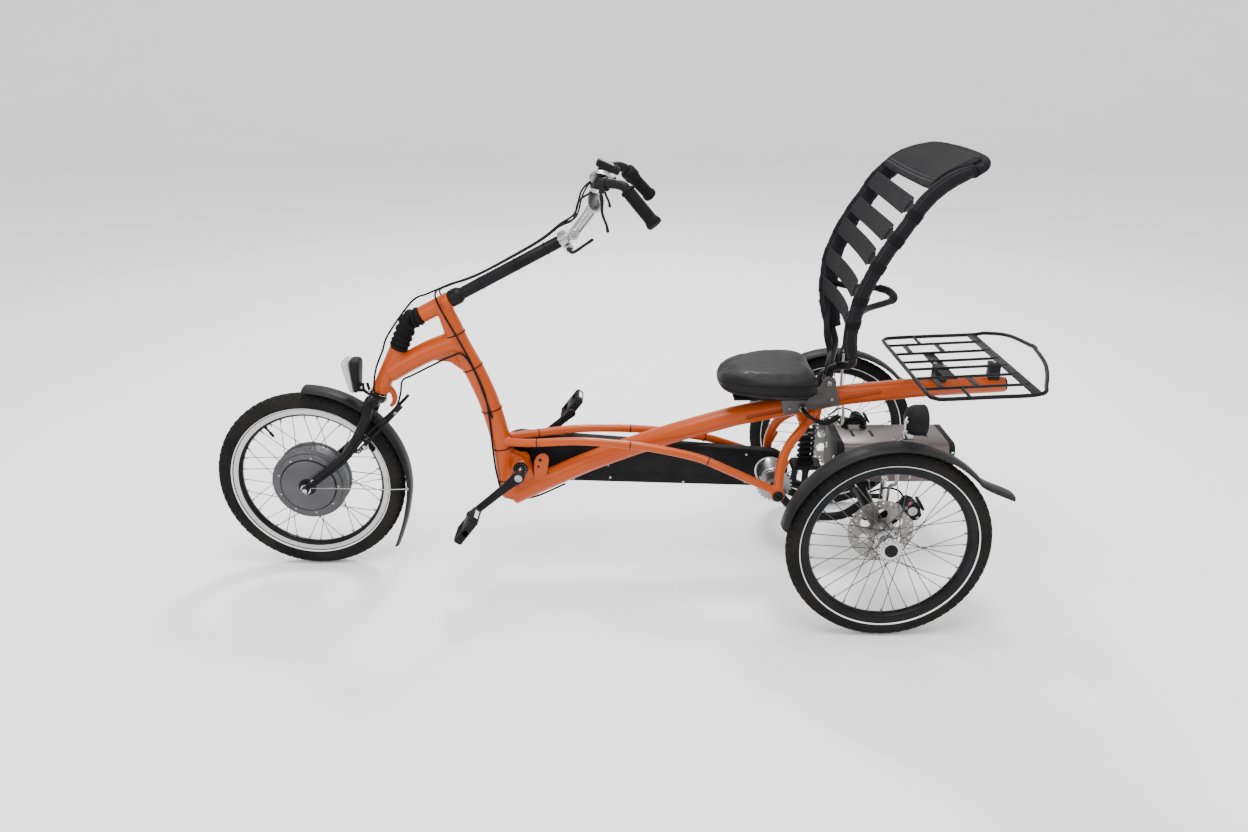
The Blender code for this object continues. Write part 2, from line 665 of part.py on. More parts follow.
def spokes(centre, hub_radius, hub_y, outer_radius, lead):
    """Laced spokes as one set of thin bars; lead is the angle each one runs ahead, in degrees."""
    pieces = []
    build = bmesh.new()
    for index in range(SPOKES):
        side = LEFT if index % 2 else RIGHT
        ahead = lead if (index // 2) % 2 else -lead
        shift = 0.0018 if (index // 2) % 2 else -0.0018
        hub_angle = math.radians(360 / SPOKES * index - ahead)
        rim_angle = math.radians(360 / SPOKES * index)
        inner = centre + Vector((hub_radius * math.cos(hub_angle), side * hub_y + shift,
                                 hub_radius * math.sin(hub_angle)))
        outer = centre + Vector((outer_radius * math.cos(rim_angle), side * 0.003,
                                 outer_radius * math.sin(rim_angle)))
        piece = rod(inner, outer, SPOKE_RADIUS, 3)
        build.from_mesh(piece.data)
        pieces.append(piece)
    mesh = bpy.data.meshes.new("spokes")
    build.to_mesh(mesh)
    build.free()
    for piece in pieces:
        bpy.data.objects.remove(piece)
    return new_object(mesh)


def make_front_wheel():
    start = 90.0
    keep(lathe(FRONT_AXLE, ACROSS, tyre_profile(FRONT_WHEEL_RADIUS, FRONT_TYRE_WIDTH), WHEEL_STEPS, start),
         "front_tyre", "tyre_rubber", "front_wheel")
    half = MOTOR_WIDTH / 2
    bore = MOTOR_AXLE_RADIUS + PLAY
    profile = [(bore, -half), (MOTOR_PLATE_RADIUS, -half + 0.004), (MOTOR_PLATE_RADIUS, -half + 0.012),
               (MOTOR_RADIUS - 0.012, -half + 0.012), (MOTOR_RADIUS, -half + 0.018),
               (MOTOR_RADIUS, half - 0.018), (MOTOR_RADIUS - 0.012, half - 0.012),
               (MOTOR_PLATE_RADIUS, half - 0.012), (MOTOR_PLATE_RADIUS, half - 0.004), (bore, half)]
    keep(lathe(FRONT_AXLE, ACROSS, profile, 20), "hub_motor", "motor_grey", "front_wheel")
    lacing = spokes(FRONT_AXLE, MOTOR_RADIUS + 0.0015, half - 0.022, RIM_INNER_RADIUS + 0.004, 16)
    rim = lathe(FRONT_AXLE, ACROSS, rim_profile(), WHEEL_STEPS, start)
    keep(fuse(rim, lacing), "spoked_rim_front", "black_metal", "front_wheel")


def make_rear_wheel(side):
    centre = REAR_AXLE + ACROSS * side * TRACK / 2
    outward = ACROSS * side
    name, group = SIDE_NAMES[side], "wheel_" + SIDE_NAMES[side]
    keep(lathe(centre, ACROSS, tyre_profile(REAR_WHEEL_RADIUS, REAR_TYRE_WIDTH), WHEEL_STEPS, 90.0),
         "tyre_" + name, "tyre_rubber", group)
    boss = DISC_INSET + 0.004
    shaft_end = TRACK / 2 - 0.012
    profile = [(0, -shaft_end), (AXLE_SHAFT_RADIUS, -shaft_end), (AXLE_SHAFT_RADIUS, -boss),
               (0.0220, -boss), (0.0220, -DISC_INSET + 0.004), (0.0175, -0.031),
               (HUB_FLANGE_RADIUS, -0.031), (HUB_FLANGE_RADIUS, -0.025), (0.0175, -0.025),
               (0.0175, 0.019), (HUB_FLANGE_RADIUS, 0.019), (HUB_FLANGE_RADIUS, 0.025),
               (HUB_CAP_RADIUS, 0.029), (0, 0.030)]
    hub = lathe(centre, outward, profile, 10)
    lacing = spokes(centre - outward * 0.003, HUB_FLANGE_RADIUS - 0.0025, 0.025,
                    RIM_INNER_RADIUS + 0.004, 58)
    rim = lathe(centre, ACROSS, rim_profile(), WHEEL_STEPS, 90.0)
    keep(fuse(hub, lacing, rim), "spoked_wheel_" + name, "silver_metal", group)
    low, high = -DISC_INSET - DISC_THICKNESS / 2, -DISC_INSET + DISC_THICKNESS / 2
    disc = lathe(centre, outward, [(0.0220 + GAP, low), (DISC_RADIUS, low), (DISC_RADIUS, high),
                                   (0.0220 + GAP, high)], 24)
    windows = []
    for arm in range(6):
        angle = math.radians(60 * arm)
        spot = centre - outward * DISC_INSET + Vector((math.cos(angle), 0, math.sin(angle))) * 0.045
        windows.append(drum(spot, 0.0145, spot.y - 0.01, spot.y + 0.01, 6))
    keep(carve(disc, *windows), "brake_disc_" + name, "steel", group)


def mudguard(centre, wheel_radius, start, end, flap):
    """Curved guard over a wheel; flap is a list of (angle, extra radius, extra width) at its tail."""
    inner = wheel_radius + MUDGUARD_CLEARANCE
    stations = []
    steps = max(6, int(abs(end - start) / 9))
    for step in range(steps + 1):
        stations.append((start + (end - start) * step / steps, 0.0, 0.0))
    stations += flap
    rings = []
    for angle, lift, widen in stations:
        out = Vector((math.cos(math.radians(angle)), 0, math.sin(math.radians(angle))))
        half = MUDGUARD_WIDTH / 2 + widen
        section = [(half * place, inner + lift - drop) for place, drop in
                   ((-1, 0.0075), (-0.75, 0.0025), (0, 0), (0.75, 0.0025), (1, 0.0075))]
        outer = [(y, radius + MUDGUARD_WALL) for y, radius in section]
        rings.append([centre + out * radius + ACROSS * y for y, radius in section + outer[::-1]])
    return loft(rings)


def make_rear_mudguard(side):
    centre = REAR_AXLE + ACROSS * side * TRACK / 2
    flap = [(33.0, 0.018, 0.002), (26.0, 0.045, 0.004)]
    guard = mudguard(centre, REAR_WHEEL_RADIUS, 168.5, 40.0, flap)
    keep(guard, "mudguard_" + SIDE_NAMES[side], "black_plastic", "rear_unit")


def make_front_mudguard():
    flap = [(-25.0, 0.006, 0.003), (-41.0, 0.024, 0.008)]
    guard = mudguard(FRONT_AXLE, FRONT_WHEEL_RADIUS, 88.0, -12.0, flap)
    keep(guard, "front_mudguard", "black_plastic", "fork")


# ---------------------------------------------------------------- fork and front brake
def leg_path(side):
    points = [fore(0.190, 0.492, 0.030), fore(0.184, 0.483, 0.046), fore(0.174, 0.443, 0.052),
              fore(0.148, 0.394, 0.054), fore(0.118, 0.349, 0.055), fore(0.076, 0.311, 0.056),
              fore(0.036, 0.281, 0.0565), fore(0.014, 0.264, 0.0565)]
    scale = FORK_HALF_WIDTH / 0.056
    return [Vector((p.x, p.y * side * scale, p.z)) for p in points]


def make_fork():
    steerer_top = (JOINT_CENTRE - HEAD).length - 0.013
    base = rod(on_steerer(-HEAD_LENGTH - 0.020), on_steerer(steerer_top), STEERER_RADIUS, 16)
    crown = rod(on_steerer(-HEAD_LENGTH - 0.026, y=0.0), on_steerer(-HEAD_LENGTH - 0.001), 0.0225, 16)
    bridge = bar(smooth([on_steerer(-HEAD_LENGTH - 0.019, y=-0.050), on_steerer(-HEAD_LENGTH - 0.018, y=0),
                         on_steerer(-HEAD_LENGTH - 0.019, y=0.050)], 2), [0.0125, 0.0150, 0.0125], 12)
    lamp_arm = bar(smooth([on_steerer(-HEAD_LENGTH - 0.012), fore(0.180, 0.504), fore(0.1745, 0.526)], 2),
                   0.0045, 8)
    parts = [crown, bridge, lamp_arm]
    axle_face = MOTOR_WIDTH / 2 + PLAY
    plates_at = axle_face + 0.0085
    for side in (LEFT, RIGHT):
        parts.append(bar(leg_path(side), [0.0135, FORK_LEG_RADIUS + 0.0015, FORK_LEG_RADIUS, 0.0095], 8))
        boss = [fore(0.126, 0.360, side * 0.0545), fore(0.140, 0.357, side * 0.0545),
                fore(0.152, 0.354, side * 0.0540)]
        parts.append(bar(boss, 0.0055, 8))
        low, high = sorted((side * plates_at, side * (plates_at + 0.006)))
        parts.append(plate(arc((0.0, FRONT_WHEEL_RADIUS), 0.0165, 60, 330, 8)
                           + [(0.030, FRONT_WHEEL_RADIUS + 0.012), (0.022, FRONT_WHEEL_RADIUS + 0.026)],
                           low, high))
    fuse(base, *parts)
    carve(base, drum(FRONT_AXLE, MOTOR_AXLE_RADIUS + GAP, -0.1, 0.1, 12))
    keep(base, "fork", "black_metal", "fork")
    reach = plates_at + 0.006 + GAP
    profile = [(0, -reach - 0.012), (0.0070, -reach - 0.012), (0.0110, -reach - 0.008),
               (0.0110, -reach), (MOTOR_AXLE_RADIUS, -reach), (MOTOR_AXLE_RADIUS, reach),
               (0.0110, reach), (0.0110, reach + 0.008), (0.0070, reach + 0.012), (0, reach + 0.012)]
    keep(lathe(FRONT_AXLE, ACROSS, profile, 12), "motor_axle", "black_metal", "fork")


def make_headlamp():
    tilt = Matrix.Rotation(math.radians(-4), 3, "Y")
    centre = fore(0.1400, 0.5480)
    shell = rounded(block(centre + tilt @ Vector((0.0125, 0, 0)), (0.024, 0.056, 0.088), tilt), 0.010)
    lens = rounded(block(centre + tilt @ Vector((-0.0125, 0, 0)), (0.0244, 0.052, 0.084), tilt), 0.0070)
    keep(shell, "headlamp_body", "black_plastic", "headlamp")
    keep(lens, "headlamp_lens", "lamp_clear", "headlamp")


BRAKE_FOOT = fore(0.1500, 0.3560)
BRAKE_TIP = fore(0.2680, 0.4760)
BRAKE_Y = 0.0400


def make_brake_arm(side):
    """Arm of the rim brake, with its shoe reaching in to the rim."""
    foot = BRAKE_FOOT + ACROSS * side * BRAKE_Y
    tip = BRAKE_TIP + ACROSS * side * (BRAKE_Y + 0.002)
    arm = bar([foot - (tip - foot) * 0.06, foot, foot.lerp(tip, 0.5), tip], [0.0045, 0.0075, 0.0055, 0.0040], 8)
    away = (foot - FRONT_AXLE) * Vector((1, 0, 1))
    shoe_spot = FRONT_AXLE + away.normalized() * (RIM_RADIUS - 0.0075)
    along = away.normalized().cross(ACROSS)
    shoe_y = side * (RIM_WIDTH / 2 + 0.0015 + 0.0045)
    shoe = bar([shoe_spot + along * -0.026 + ACROSS * shoe_y, shoe_spot + along * 0.026 + ACROSS * shoe_y],
               0.0043, 6)
    post = rod(shoe_spot + ACROSS * shoe_y, shoe_spot + ACROSS * side * (BRAKE_Y + 0.004), 0.0035, 8)
    foot_link = rod(shoe_spot + ACROSS * side * BRAKE_Y, foot, 0.0045, 8)
    keep(fuse(arm, shoe, post, foot_link), "brake_arm_" + SIDE_NAMES[side], "black_metal",
         "brake_arm_" + SIDE_NAMES[side])


# ---------------------------------------------------------------- steering column
def make_steering_boot():
    """Ribbed rubber boot over the joint between the fork's steerer and the column."""
    path = smooth([on_steerer(0.0012), on_steerer(0.020), on_steerer(0.046, 0.001),
                   JOINT_CENTRE + Vector((-0.001, 0, 0.0015)), on_column(-HOUSING_LENGTH - 0.022, 0.001),
                   on_column(-HOUSING_LENGTH - 0.0012)], 3)
    ribs = [0.0205 if index % 2 else 0.0260 for index in range(len(path))]
    ribs[0] = ribs[-1] = 0.0200
    ribs[1], ribs[2] = 0.0230, 0.0200
    keep(pipe(path, ribs, 0.0178, 8), "steering_boot", "soft_rubber")


def make_column():
    low = -HOUSING_LENGTH + 0.010
    bore = COLUMN_RADIUS - COLUMN_WALL
    base = lathe(FOOT, COLUMN_AXIS,
                 [(0, low - 0.018), (0.0090, low - 0.018), (0.0100, low), (COLUMN_RADIUS - 0.0005, low),
                  (COLUMN_RADIUS - 0.0005, 0.002), (0.0205, 0.002), (0.0205, 0.026), (0.0175, 0.032),
                  (COLUMN_RADIUS, 0.032), (COLUMN_RADIUS, COLUMN_LENGTH), (bore, COLUMN_LENGTH),
                  (bore, 0.110), (0, 0.110)], 12)
    ball = lathe(JOINT_CENTRE, COLUMN_AXIS, [(0, -0.0105), (0.0075, -0.0075), (0.0105, 0), (0.0075, 0.0075),
                                             (0, 0.0105)], 12)
    neck = rod(JOINT_CENTRE, on_column(low - 0.010), 0.0060, 10)
    keep(fuse(base, ball, neck), "column_tube", "black_metal", "column")

    slide_radius = bore - 0.0005
    inner = lathe(FOOT, COLUMN_AXIS, [(0, 0.170), (slide_radius, 0.170), (slide_radius, INNER_TUBE_REACH),
                                      (0, INNER_TUBE_REACH)], 16)

    clamp_low, clamp_high = COLUMN_LENGTH + 0.0035, INNER_TUBE_REACH - 0.003
    clamp = lathe(FOOT, COLUMN_AXIS, [(slide_radius - 0.002, clamp_low), (0.0205, clamp_low),
                                      (0.0205, clamp_high), (slide_radius - 0.002, clamp_high)], 16)
    lug = block(on_column((clamp_low + clamp_high) / 2, -0.024), (0.020, 0.022, 0.016),
                Matrix.Rotation(-COLUMN_ANGLE, 3, "Y"))
    keep(fuse(inner, clamp, lug), "column_inner_tube", "silver_metal", "column_slide")

    lever_root = clamp_pivot()
    lever = bar(smooth([lever_root, lever_root + Vector((0.012, -0.008, -0.006)),
                        lever_root + Vector((0.040, -0.010, 0.012)), lever_root + Vector((0.058, -0.008, 0.024))], 2),
                [0.0060, 0.0050, 0.0040, 0.0045], 8)
    keep(lever, "clamp_lever", "black_metal", "clamp_lever")


def clamp_pivot():
    """Outer end of the quick-release bolt of the column's clamp."""
    return on_column((COLUMN_LENGTH + INNER_TUBE_REACH) / 2, -0.024, -0.0185)


def make_stem():
    along = (BAR_CENTRE - STEM_PIVOT).normalized()
    arm = bar([STEM_PIVOT + along * 0.003, STEM_PIVOT + along * 0.030, STEM_PIVOT + along * 0.062,
               BAR_CENTRE], [0.0120, 0.0125, 0.0130, 0.0150], 12)
    knuckle = drum(STEM_PIVOT, 0.0130, -0.0150, 0.0150, 16)
    collar = drum(BAR_CENTRE, 0.0195, -STEM_CLAMP_WIDTH / 2, STEM_CLAMP_WIDTH / 2, 16)
    fuse(arm, knuckle, collar)
    carve(arm, drum(BAR_CENTRE, BAR_RADIUS + 2 * GAP, -0.1, 0.1, 16))
    keep(arm, "stem", "silver_metal", "handlebar")


GRIP_START = BAR_CENTRE + Vector((0.0752, 0.1660, 0.0583))
GRIP_AXIS = Vector((0.621, 0.355, -0.699)).normalized()
GRIP_LENGTH = 0.103
LEVER_CLAMP = BAR_CENTRE + Vector((0.0240, 0.1385, 0.0668))
LEVER_PIVOT = BAR_CENTRE + Vector((0.0160, 0.1410, 0.0460))
LEVER_REACH = Vector((0.016, 0.026, -0.078))


def mirrored(point, side):
    return Vector((point.x, point.y * side, point.z))


def handlebar_path():
    bends = ((0, 0, 0), (0, 0.012, 0), (0, 0.025, 0), (-0.001, 0.036, 0.003), (-0.005, 0.056, 0.016),
             (0, 0.100, 0.043), (0.020, 0.135, 0.066), (0.050, 0.155, 0.070))
    half = [BAR_CENTRE + Vector(bend) for bend in bends]
    half += [GRIP_START + GRIP_AXIS * reach for reach in (-0.010, 0, 0.014, GRIP_LENGTH - 0.012)]
    left = [mirrored(point, LEFT) for point in half[:0:-1]]
    return smooth(left + half, 2)


def lever_root(side):
    return mirrored(LEVER_PIVOT, side)


def lever_tip(side):
    return lever_root(side) + mirrored(LEVER_REACH, side)


def make_handlebar():
    base = bar(handlebar_path(), BAR_RADIUS, 8)
    parts = []
    for side in (LEFT, RIGHT):
        spot = mirrored(LEVER_CLAMP, side)
        along = mirrored(Vector((0.82, 0.56, 0.11)), side).normalized()
        parts.append(rod(spot - along * 0.007, spot + along * 0.007, 0.0155, 12))
        toward = lever_root(side) - spot
        parts.append(bar([spot + toward * 0.30, spot + toward * 0.70], [0.0060, 0.0052], 8))
    keep(fuse(base, *parts), "handlebar", "black_metal", "handlebar")
    for side in (LEFT, RIGHT):
        make_grip(side)
        make_brake_lever(side)


def make_grip(side):
    start, axis = mirrored(GRIP_START, side), mirrored(GRIP_AXIS, side)
    bore = BAR_RADIUS + 2 * GAP
    profile = [(bore, 0.0005), (0.0165, 0.0005), (0.0165, 0.006), (0.0145, 0.010),
               (0.0150, GRIP_LENGTH - 0.020), (0.0180, GRIP_LENGTH - 0.008), (0.0150, GRIP_LENGTH),
               (0, GRIP_LENGTH), (0, GRIP_LENGTH - 0.010), (bore, GRIP_LENGTH - 0.010)]
    if side == RIGHT:
        profile[0], profile[1] = (bore, 0.0310), (0.0165, 0.0310)
        profile[2], profile[3] = (0.0165, 0.0350), (0.0145, 0.0390)
        shifter = lathe(start, axis, [(bore, 0.0005), (0.0180, 0.0005), (0.0200, 0.006), (0.0200, 0.024),
                                      (0.0170, 0.030), (bore, 0.030)], 16)
        keep(shifter, "twist_shifter", "black_plastic", "twist_shifter")
    keep(lathe(start, axis, profile, 12), "grip_" + SIDE_NAMES[side], "soft_rubber", "handlebar")


def make_brake_lever(side):
    root, tip = lever_root(side), lever_tip(side)
    middle = root.lerp(tip, 0.5) + Vector((-0.004, 0, -0.002))
    path = smooth([root + Vector((0, 0, 0.003)), root.lerp(tip, 0.2), middle, root.lerp(tip, 0.85), tip], 2)
    blade = bar(path, [0.0050, 0.0055, 0.0042, 0.0040, 0.0040, 0.0055], 8)
    keep(blade, "brake_lever_" + SIDE_NAMES[side], "black_metal", "brake_lever_" + SIDE_NAMES[side])


def bar_cutter(extra=GAP):
    return bar(handlebar_path(), BAR_RADIUS + extra, 8)


def make_bell():
    seat = BAR_CENTRE + Vector((0.0125, -0.1230, 0.0580))
    axis = Vector((0.25, 0.62, 0.74)).normalized()
    dome = lathe(seat + axis * 0.018, axis, [(0, 0), (0.0290, 0), (0.0280, 0.007), (0.0220, 0.015),
                                             (0.0120, 0.020), (0, 0.0215)], 20)
    foot = rod(seat, seat + axis * 0.020, 0.0080, 10)
    carve(foot, bar_cutter())
    keep(fuse(dome, foot), "bell", "silver_metal", "handlebar")


def make_display():
    seat = BAR_CENTRE + Vector((-0.002, 0.088, 0.036))
    tilt = Matrix.Rotation(math.radians(24), 3, "Y")
    case = rounded(block(seat + Vector((0.032, 0, 0.041)), (0.062, 0.042, 0.020), tilt), 0.005)
    foot = rod(seat + Vector((0.002, 0, 0.004)), seat + Vector((0.016, 0, 0.044)), 0.0080, 8)
    carve(foot, bar_cutter())
    keep(fuse(case, foot), "display_unit", "black_plastic", "handlebar")


# ---------------------------------------------------------------- seat
def rail_point(distance, above=0.0, y=0.0):
    """Point on the seat rail's line, measured back from its front end."""
    up = Vector((-RAIL_AXIS.z, 0, RAIL_AXIS.x))
    return RAIL_START + RAIL_AXIS * distance + up * above + ACROSS * y


def make_seat_bracket():
    """Saddle of sheet metal over the main tube, with ears for the backrest and a pan on top."""
    tube = MAIN_TUBE_RADIUS
    inner = tube + PLAY
    outer = inner + SEAT_BRACKET_WALL
    front, rear = 0.100, 0.246
    low = -0.0120
    ear_centre = (RECLINE.x, RECLINE.z)
    corner = [rail_point(front, low), rail_point(rear, low)]
    outline = [(corner[0].x, corner[0].z), (corner[1].x, corner[1].z)]
    top_front = rail_point(front, tube + PLAY + SEAT_BRACKET_WALL)
    outline += arc(ear_centre, 0.0180, -10, 165, 8) + [(ear_centre[0] - 0.034, 0.5045),
                                                       (top_front.x, top_front.z)]
    cheeks = [plate(outline, *sorted((side * inner, side * outer))) for side in (LEFT, RIGHT)]
    roof_length = 0.105
    roof = block(rail_point(front + roof_length / 2, tube + PLAY + SEAT_BRACKET_WALL / 2),
                 (roof_length, 2 * outer, SEAT_BRACKET_WALL),
                 Matrix.Rotation(-math.atan2(RAIL_AXIS.z, RAIL_AXIS.x), 3, "Y"))
    bolt = drum(RECLINE, RECLINE_BOLT_RADIUS, -outer - 0.005, outer + 0.005, 10)
    pillar = block(aft(-0.195, 0.4910), (0.030, 0.046, 0.0340))
    pan = plate([(WHEELBASE + x, z) for x, z in
                 ((-0.345, SEAT_FLOOR - 0.0063), (-0.158, SEAT_FLOOR - 0.0063),
                  (-0.158, SEAT_FLOOR - GAP), (-0.345, SEAT_FLOOR - GAP))], -0.075, 0.075)
    fuse(cheeks[0], cheeks[1], roof, bolt, pillar, pan)
    carve(cheeks[0], main_cutter(PLAY))
    keep(cheeks[0], "seat_bracket", "motor_grey", "seat_slide")


def make_seat_cushion():
    stations = ((-0.380, 0.25, 0.012, 0.046), (-0.370, 0.45, 0.004, 0.060), (-0.335, 0.70, 0, 0.071),
                (-0.285, 0.92, 0, 0.075), (-0.225, 1.00, 0, 0.077), (-0.175, 0.98, 0, 0.076),
                (-0.148, 0.86, 0.003, 0.070), (-0.138, 0.68, 0.010, 0.060))
    rings = []
    for x, width, low, high in stations:
        half = SEAT_HALF_WIDTH * width
        floor, top = SEAT_FLOOR + low, SEAT_FLOOR + high * SEAT_HEIGHT / 0.077
        edge = (top - floor) * 0.35
        ring = [(-half + 0.012, floor), (half - 0.012, floor), (half, floor + edge * 0.4),
                (half, top - edge), (half * 0.82, top - edge * 0.25), (half * 0.35, top),
                (-half * 0.35, top), (-half * 0.82, top - edge * 0.25), (-half, top - edge),
                (-half, floor + edge * 0.4)]
        rings.append([aft(x, z, y) for y, z in ring])
    keep(loft(rings), "seat_cushion", "seat_vinyl", "seat_slide")


SEAT_LEVER_PIVOT = rail_point(0.150, 0.0)


def make_seat_lever():
    """Bent lever that clamps the seat bracket to the rail."""
    y = -(MAIN_TUBE_RADIUS + PLAY + SEAT_BRACKET_WALL + 0.0060)
    base = SEAT_LEVER_PIVOT + ACROSS * y
    path = smooth([base, base + Vector((0.000, -0.020, 0)), base + Vector((0.006, -0.034, -0.004)),
                   base + Vector((0.022, -0.038, -0.014)), base + Vector((0.045, -0.038, -0.024)),
                   base + Vector((0.068, -0.038, -0.019)), base + Vector((0.084, -0.038, -0.007))], 2)
    keep(bar(path, [0.0060, 0.0052, 0.0045, 0.0050, 0.0065], 8), "seat_lock_lever", "black_metal",
         "seat_lock_lever")


# ---------------------------------------------------------------- backrest
BACK_POINTS = [  # height order: (from the rear axle, share of the half width, height)
    (-0.0960, 0.055, 0.5450), (-0.0920, 0.065, 0.5670), (-0.0800, 0.22, 0.5860), (-0.0640, 0.45, 0.6060),
    (-0.0680, 0.60, 0.6350), (-0.0800, 0.67, 0.6840), (-0.0820, 0.82, 0.7480),
    (-0.0690, 0.94, 0.8220), (-0.0350, 0.985, 0.9000), (-0.0020, 1.00, 0.9530),
    (0.0420, 1.00, 1.0200), (0.0880, 0.98, 1.0600), (0.1420, 0.92, 1.0830),
    (0.1780, 0.72, 1.0940), (0.1890, 0.36, 1.0980),
]


def back_half(side):
    return [aft(x, z, side * share * BACK_HALF_WIDTH) for x, share, z in BACK_POINTS]


def make_backrest_frame():
    top = [aft(0.1910, 1.0990)]
    loop = back_half(LEFT) + top + back_half(RIGHT)[::-1]
    base = bar(loop, BACK_TUBE_RADIUS, 8)
    knuckle_half = MAIN_TUBE_RADIUS + PLAY - 0.0015
    knuckle = drum(RECLINE, 0.0130, -knuckle_half, knuckle_half, 16)
    handle_y = BACK_HALF_WIDTH * 0.84
    brace_z = 0.752
    handle = bar(smooth([aft(-0.0820, brace_z, -handle_y), aft(-0.040, brace_z, -0.110),
                         aft(0.030, brace_z + 0.006, -0.060), aft(0.045, brace_z + 0.008, 0),
                         aft(0.030, brace_z + 0.006, 0.060), aft(-0.040, brace_z, 0.110),
                         aft(-0.0820, brace_z, handle_y)], 2), 0.0080, 8)
    fuse(base, knuckle, handle)
    carve(base, drum(RECLINE, RECLINE_BOLT_RADIUS + 2 * GAP, -0.1, 0.1, 12))
    keep(base, "backrest_frame", "black_metal", "backrest")


def back_surface(height, across, offset=0.0):
    """Point on the rider's side of the backrest: height is 0 at the lap, 1 at the head."""
    curve = smooth([aft(x, z, share * BACK_HALF_WIDTH) for x, share, z in BACK_POINTS[5:13]], 4)
    place = height * (len(curve) - 1)
    low = min(int(place), len(curve) - 2)
    edge = curve[low].lerp(curve[low + 1], place - low)
    tangent = (curve[low + 1] - curve[low]) * Vector((1, 0, 1))
    ahead = Vector((-tangent.z, 0, tangent.x)).normalized()
    sag = 0.022 * (1 - across * across)
    return Vector((edge.x, edge.y * across, edge.z)) + ahead * (BACK_TUBE_RADIUS + offset - sag * 0.5)


STRAPS = 6


def make_backrest_sling():
    """Net of two edge bands and cross straps, as one sheet with windows."""
    columns = [-1.0, -0.80, -0.40, 0.0, 0.40, 0.80, 1.0]
    rows = 2 * STRAPS + 1
    span = 0.80
    heights = [span * index / rows for index in range(rows + 1)]
    build = bmesh.new()
    grid = [[build.verts.new(back_surface(height, across, 0.0008 + SLING_THICKNESS)) for across in columns]
            for height in heights]
    for row in range(rows):
        for column in range(len(columns) - 1):
            window = row % 2 == 1 and 0 < column < len(columns) - 2
            if not window:
                build.faces.new((grid[row][column], grid[row][column + 1],
                                 grid[row + 1][column + 1], grid[row + 1][column]))
    bmesh.ops.recalc_face_normals(build, faces=build.faces)
    mesh = bpy.data.meshes.new("sling")
    build.to_mesh(mesh)
    build.free()
    sheet = new_object(mesh)
    wall = sheet.modifiers.new("wall", "SOLIDIFY")
    wall.thickness = SLING_THICKNESS
    wall.offset = 0.0
    wall.use_even_offset = True
    sheet.data = evaluated(sheet)
    sheet.modifiers.clear()
    carve(sheet, bar(back_half(LEFT), BACK_TUBE_RADIUS + GAP, 8),
          bar(back_half(RIGHT), BACK_TUBE_RADIUS + GAP, 8))
    keep(sheet, "backrest_sling", "net_fabric", "backrest")


def make_headrest():
    rings = []
    for height in (0.812, 0.86, 0.91, 0.96, 1.0):
        face = [back_surface(height, across, 0.0150) for across in (-1.0, -0.5, 0.0, 0.5, 1.0)]
        back = [back_surface(height, across, 0.0020) for across in (1.0, 0.5, 0.0, -0.5, -1.0)]
        rings.append(face + back)
    pad = loft(rings)
    carve(pad, bar(back_half(LEFT), BACK_TUBE_RADIUS + GAP, 8),
          bar(back_half(RIGHT), BACK_TUBE_RADIUS + GAP, 8))
    keep(pad, "headrest_pad", "net_fabric", "backrest")


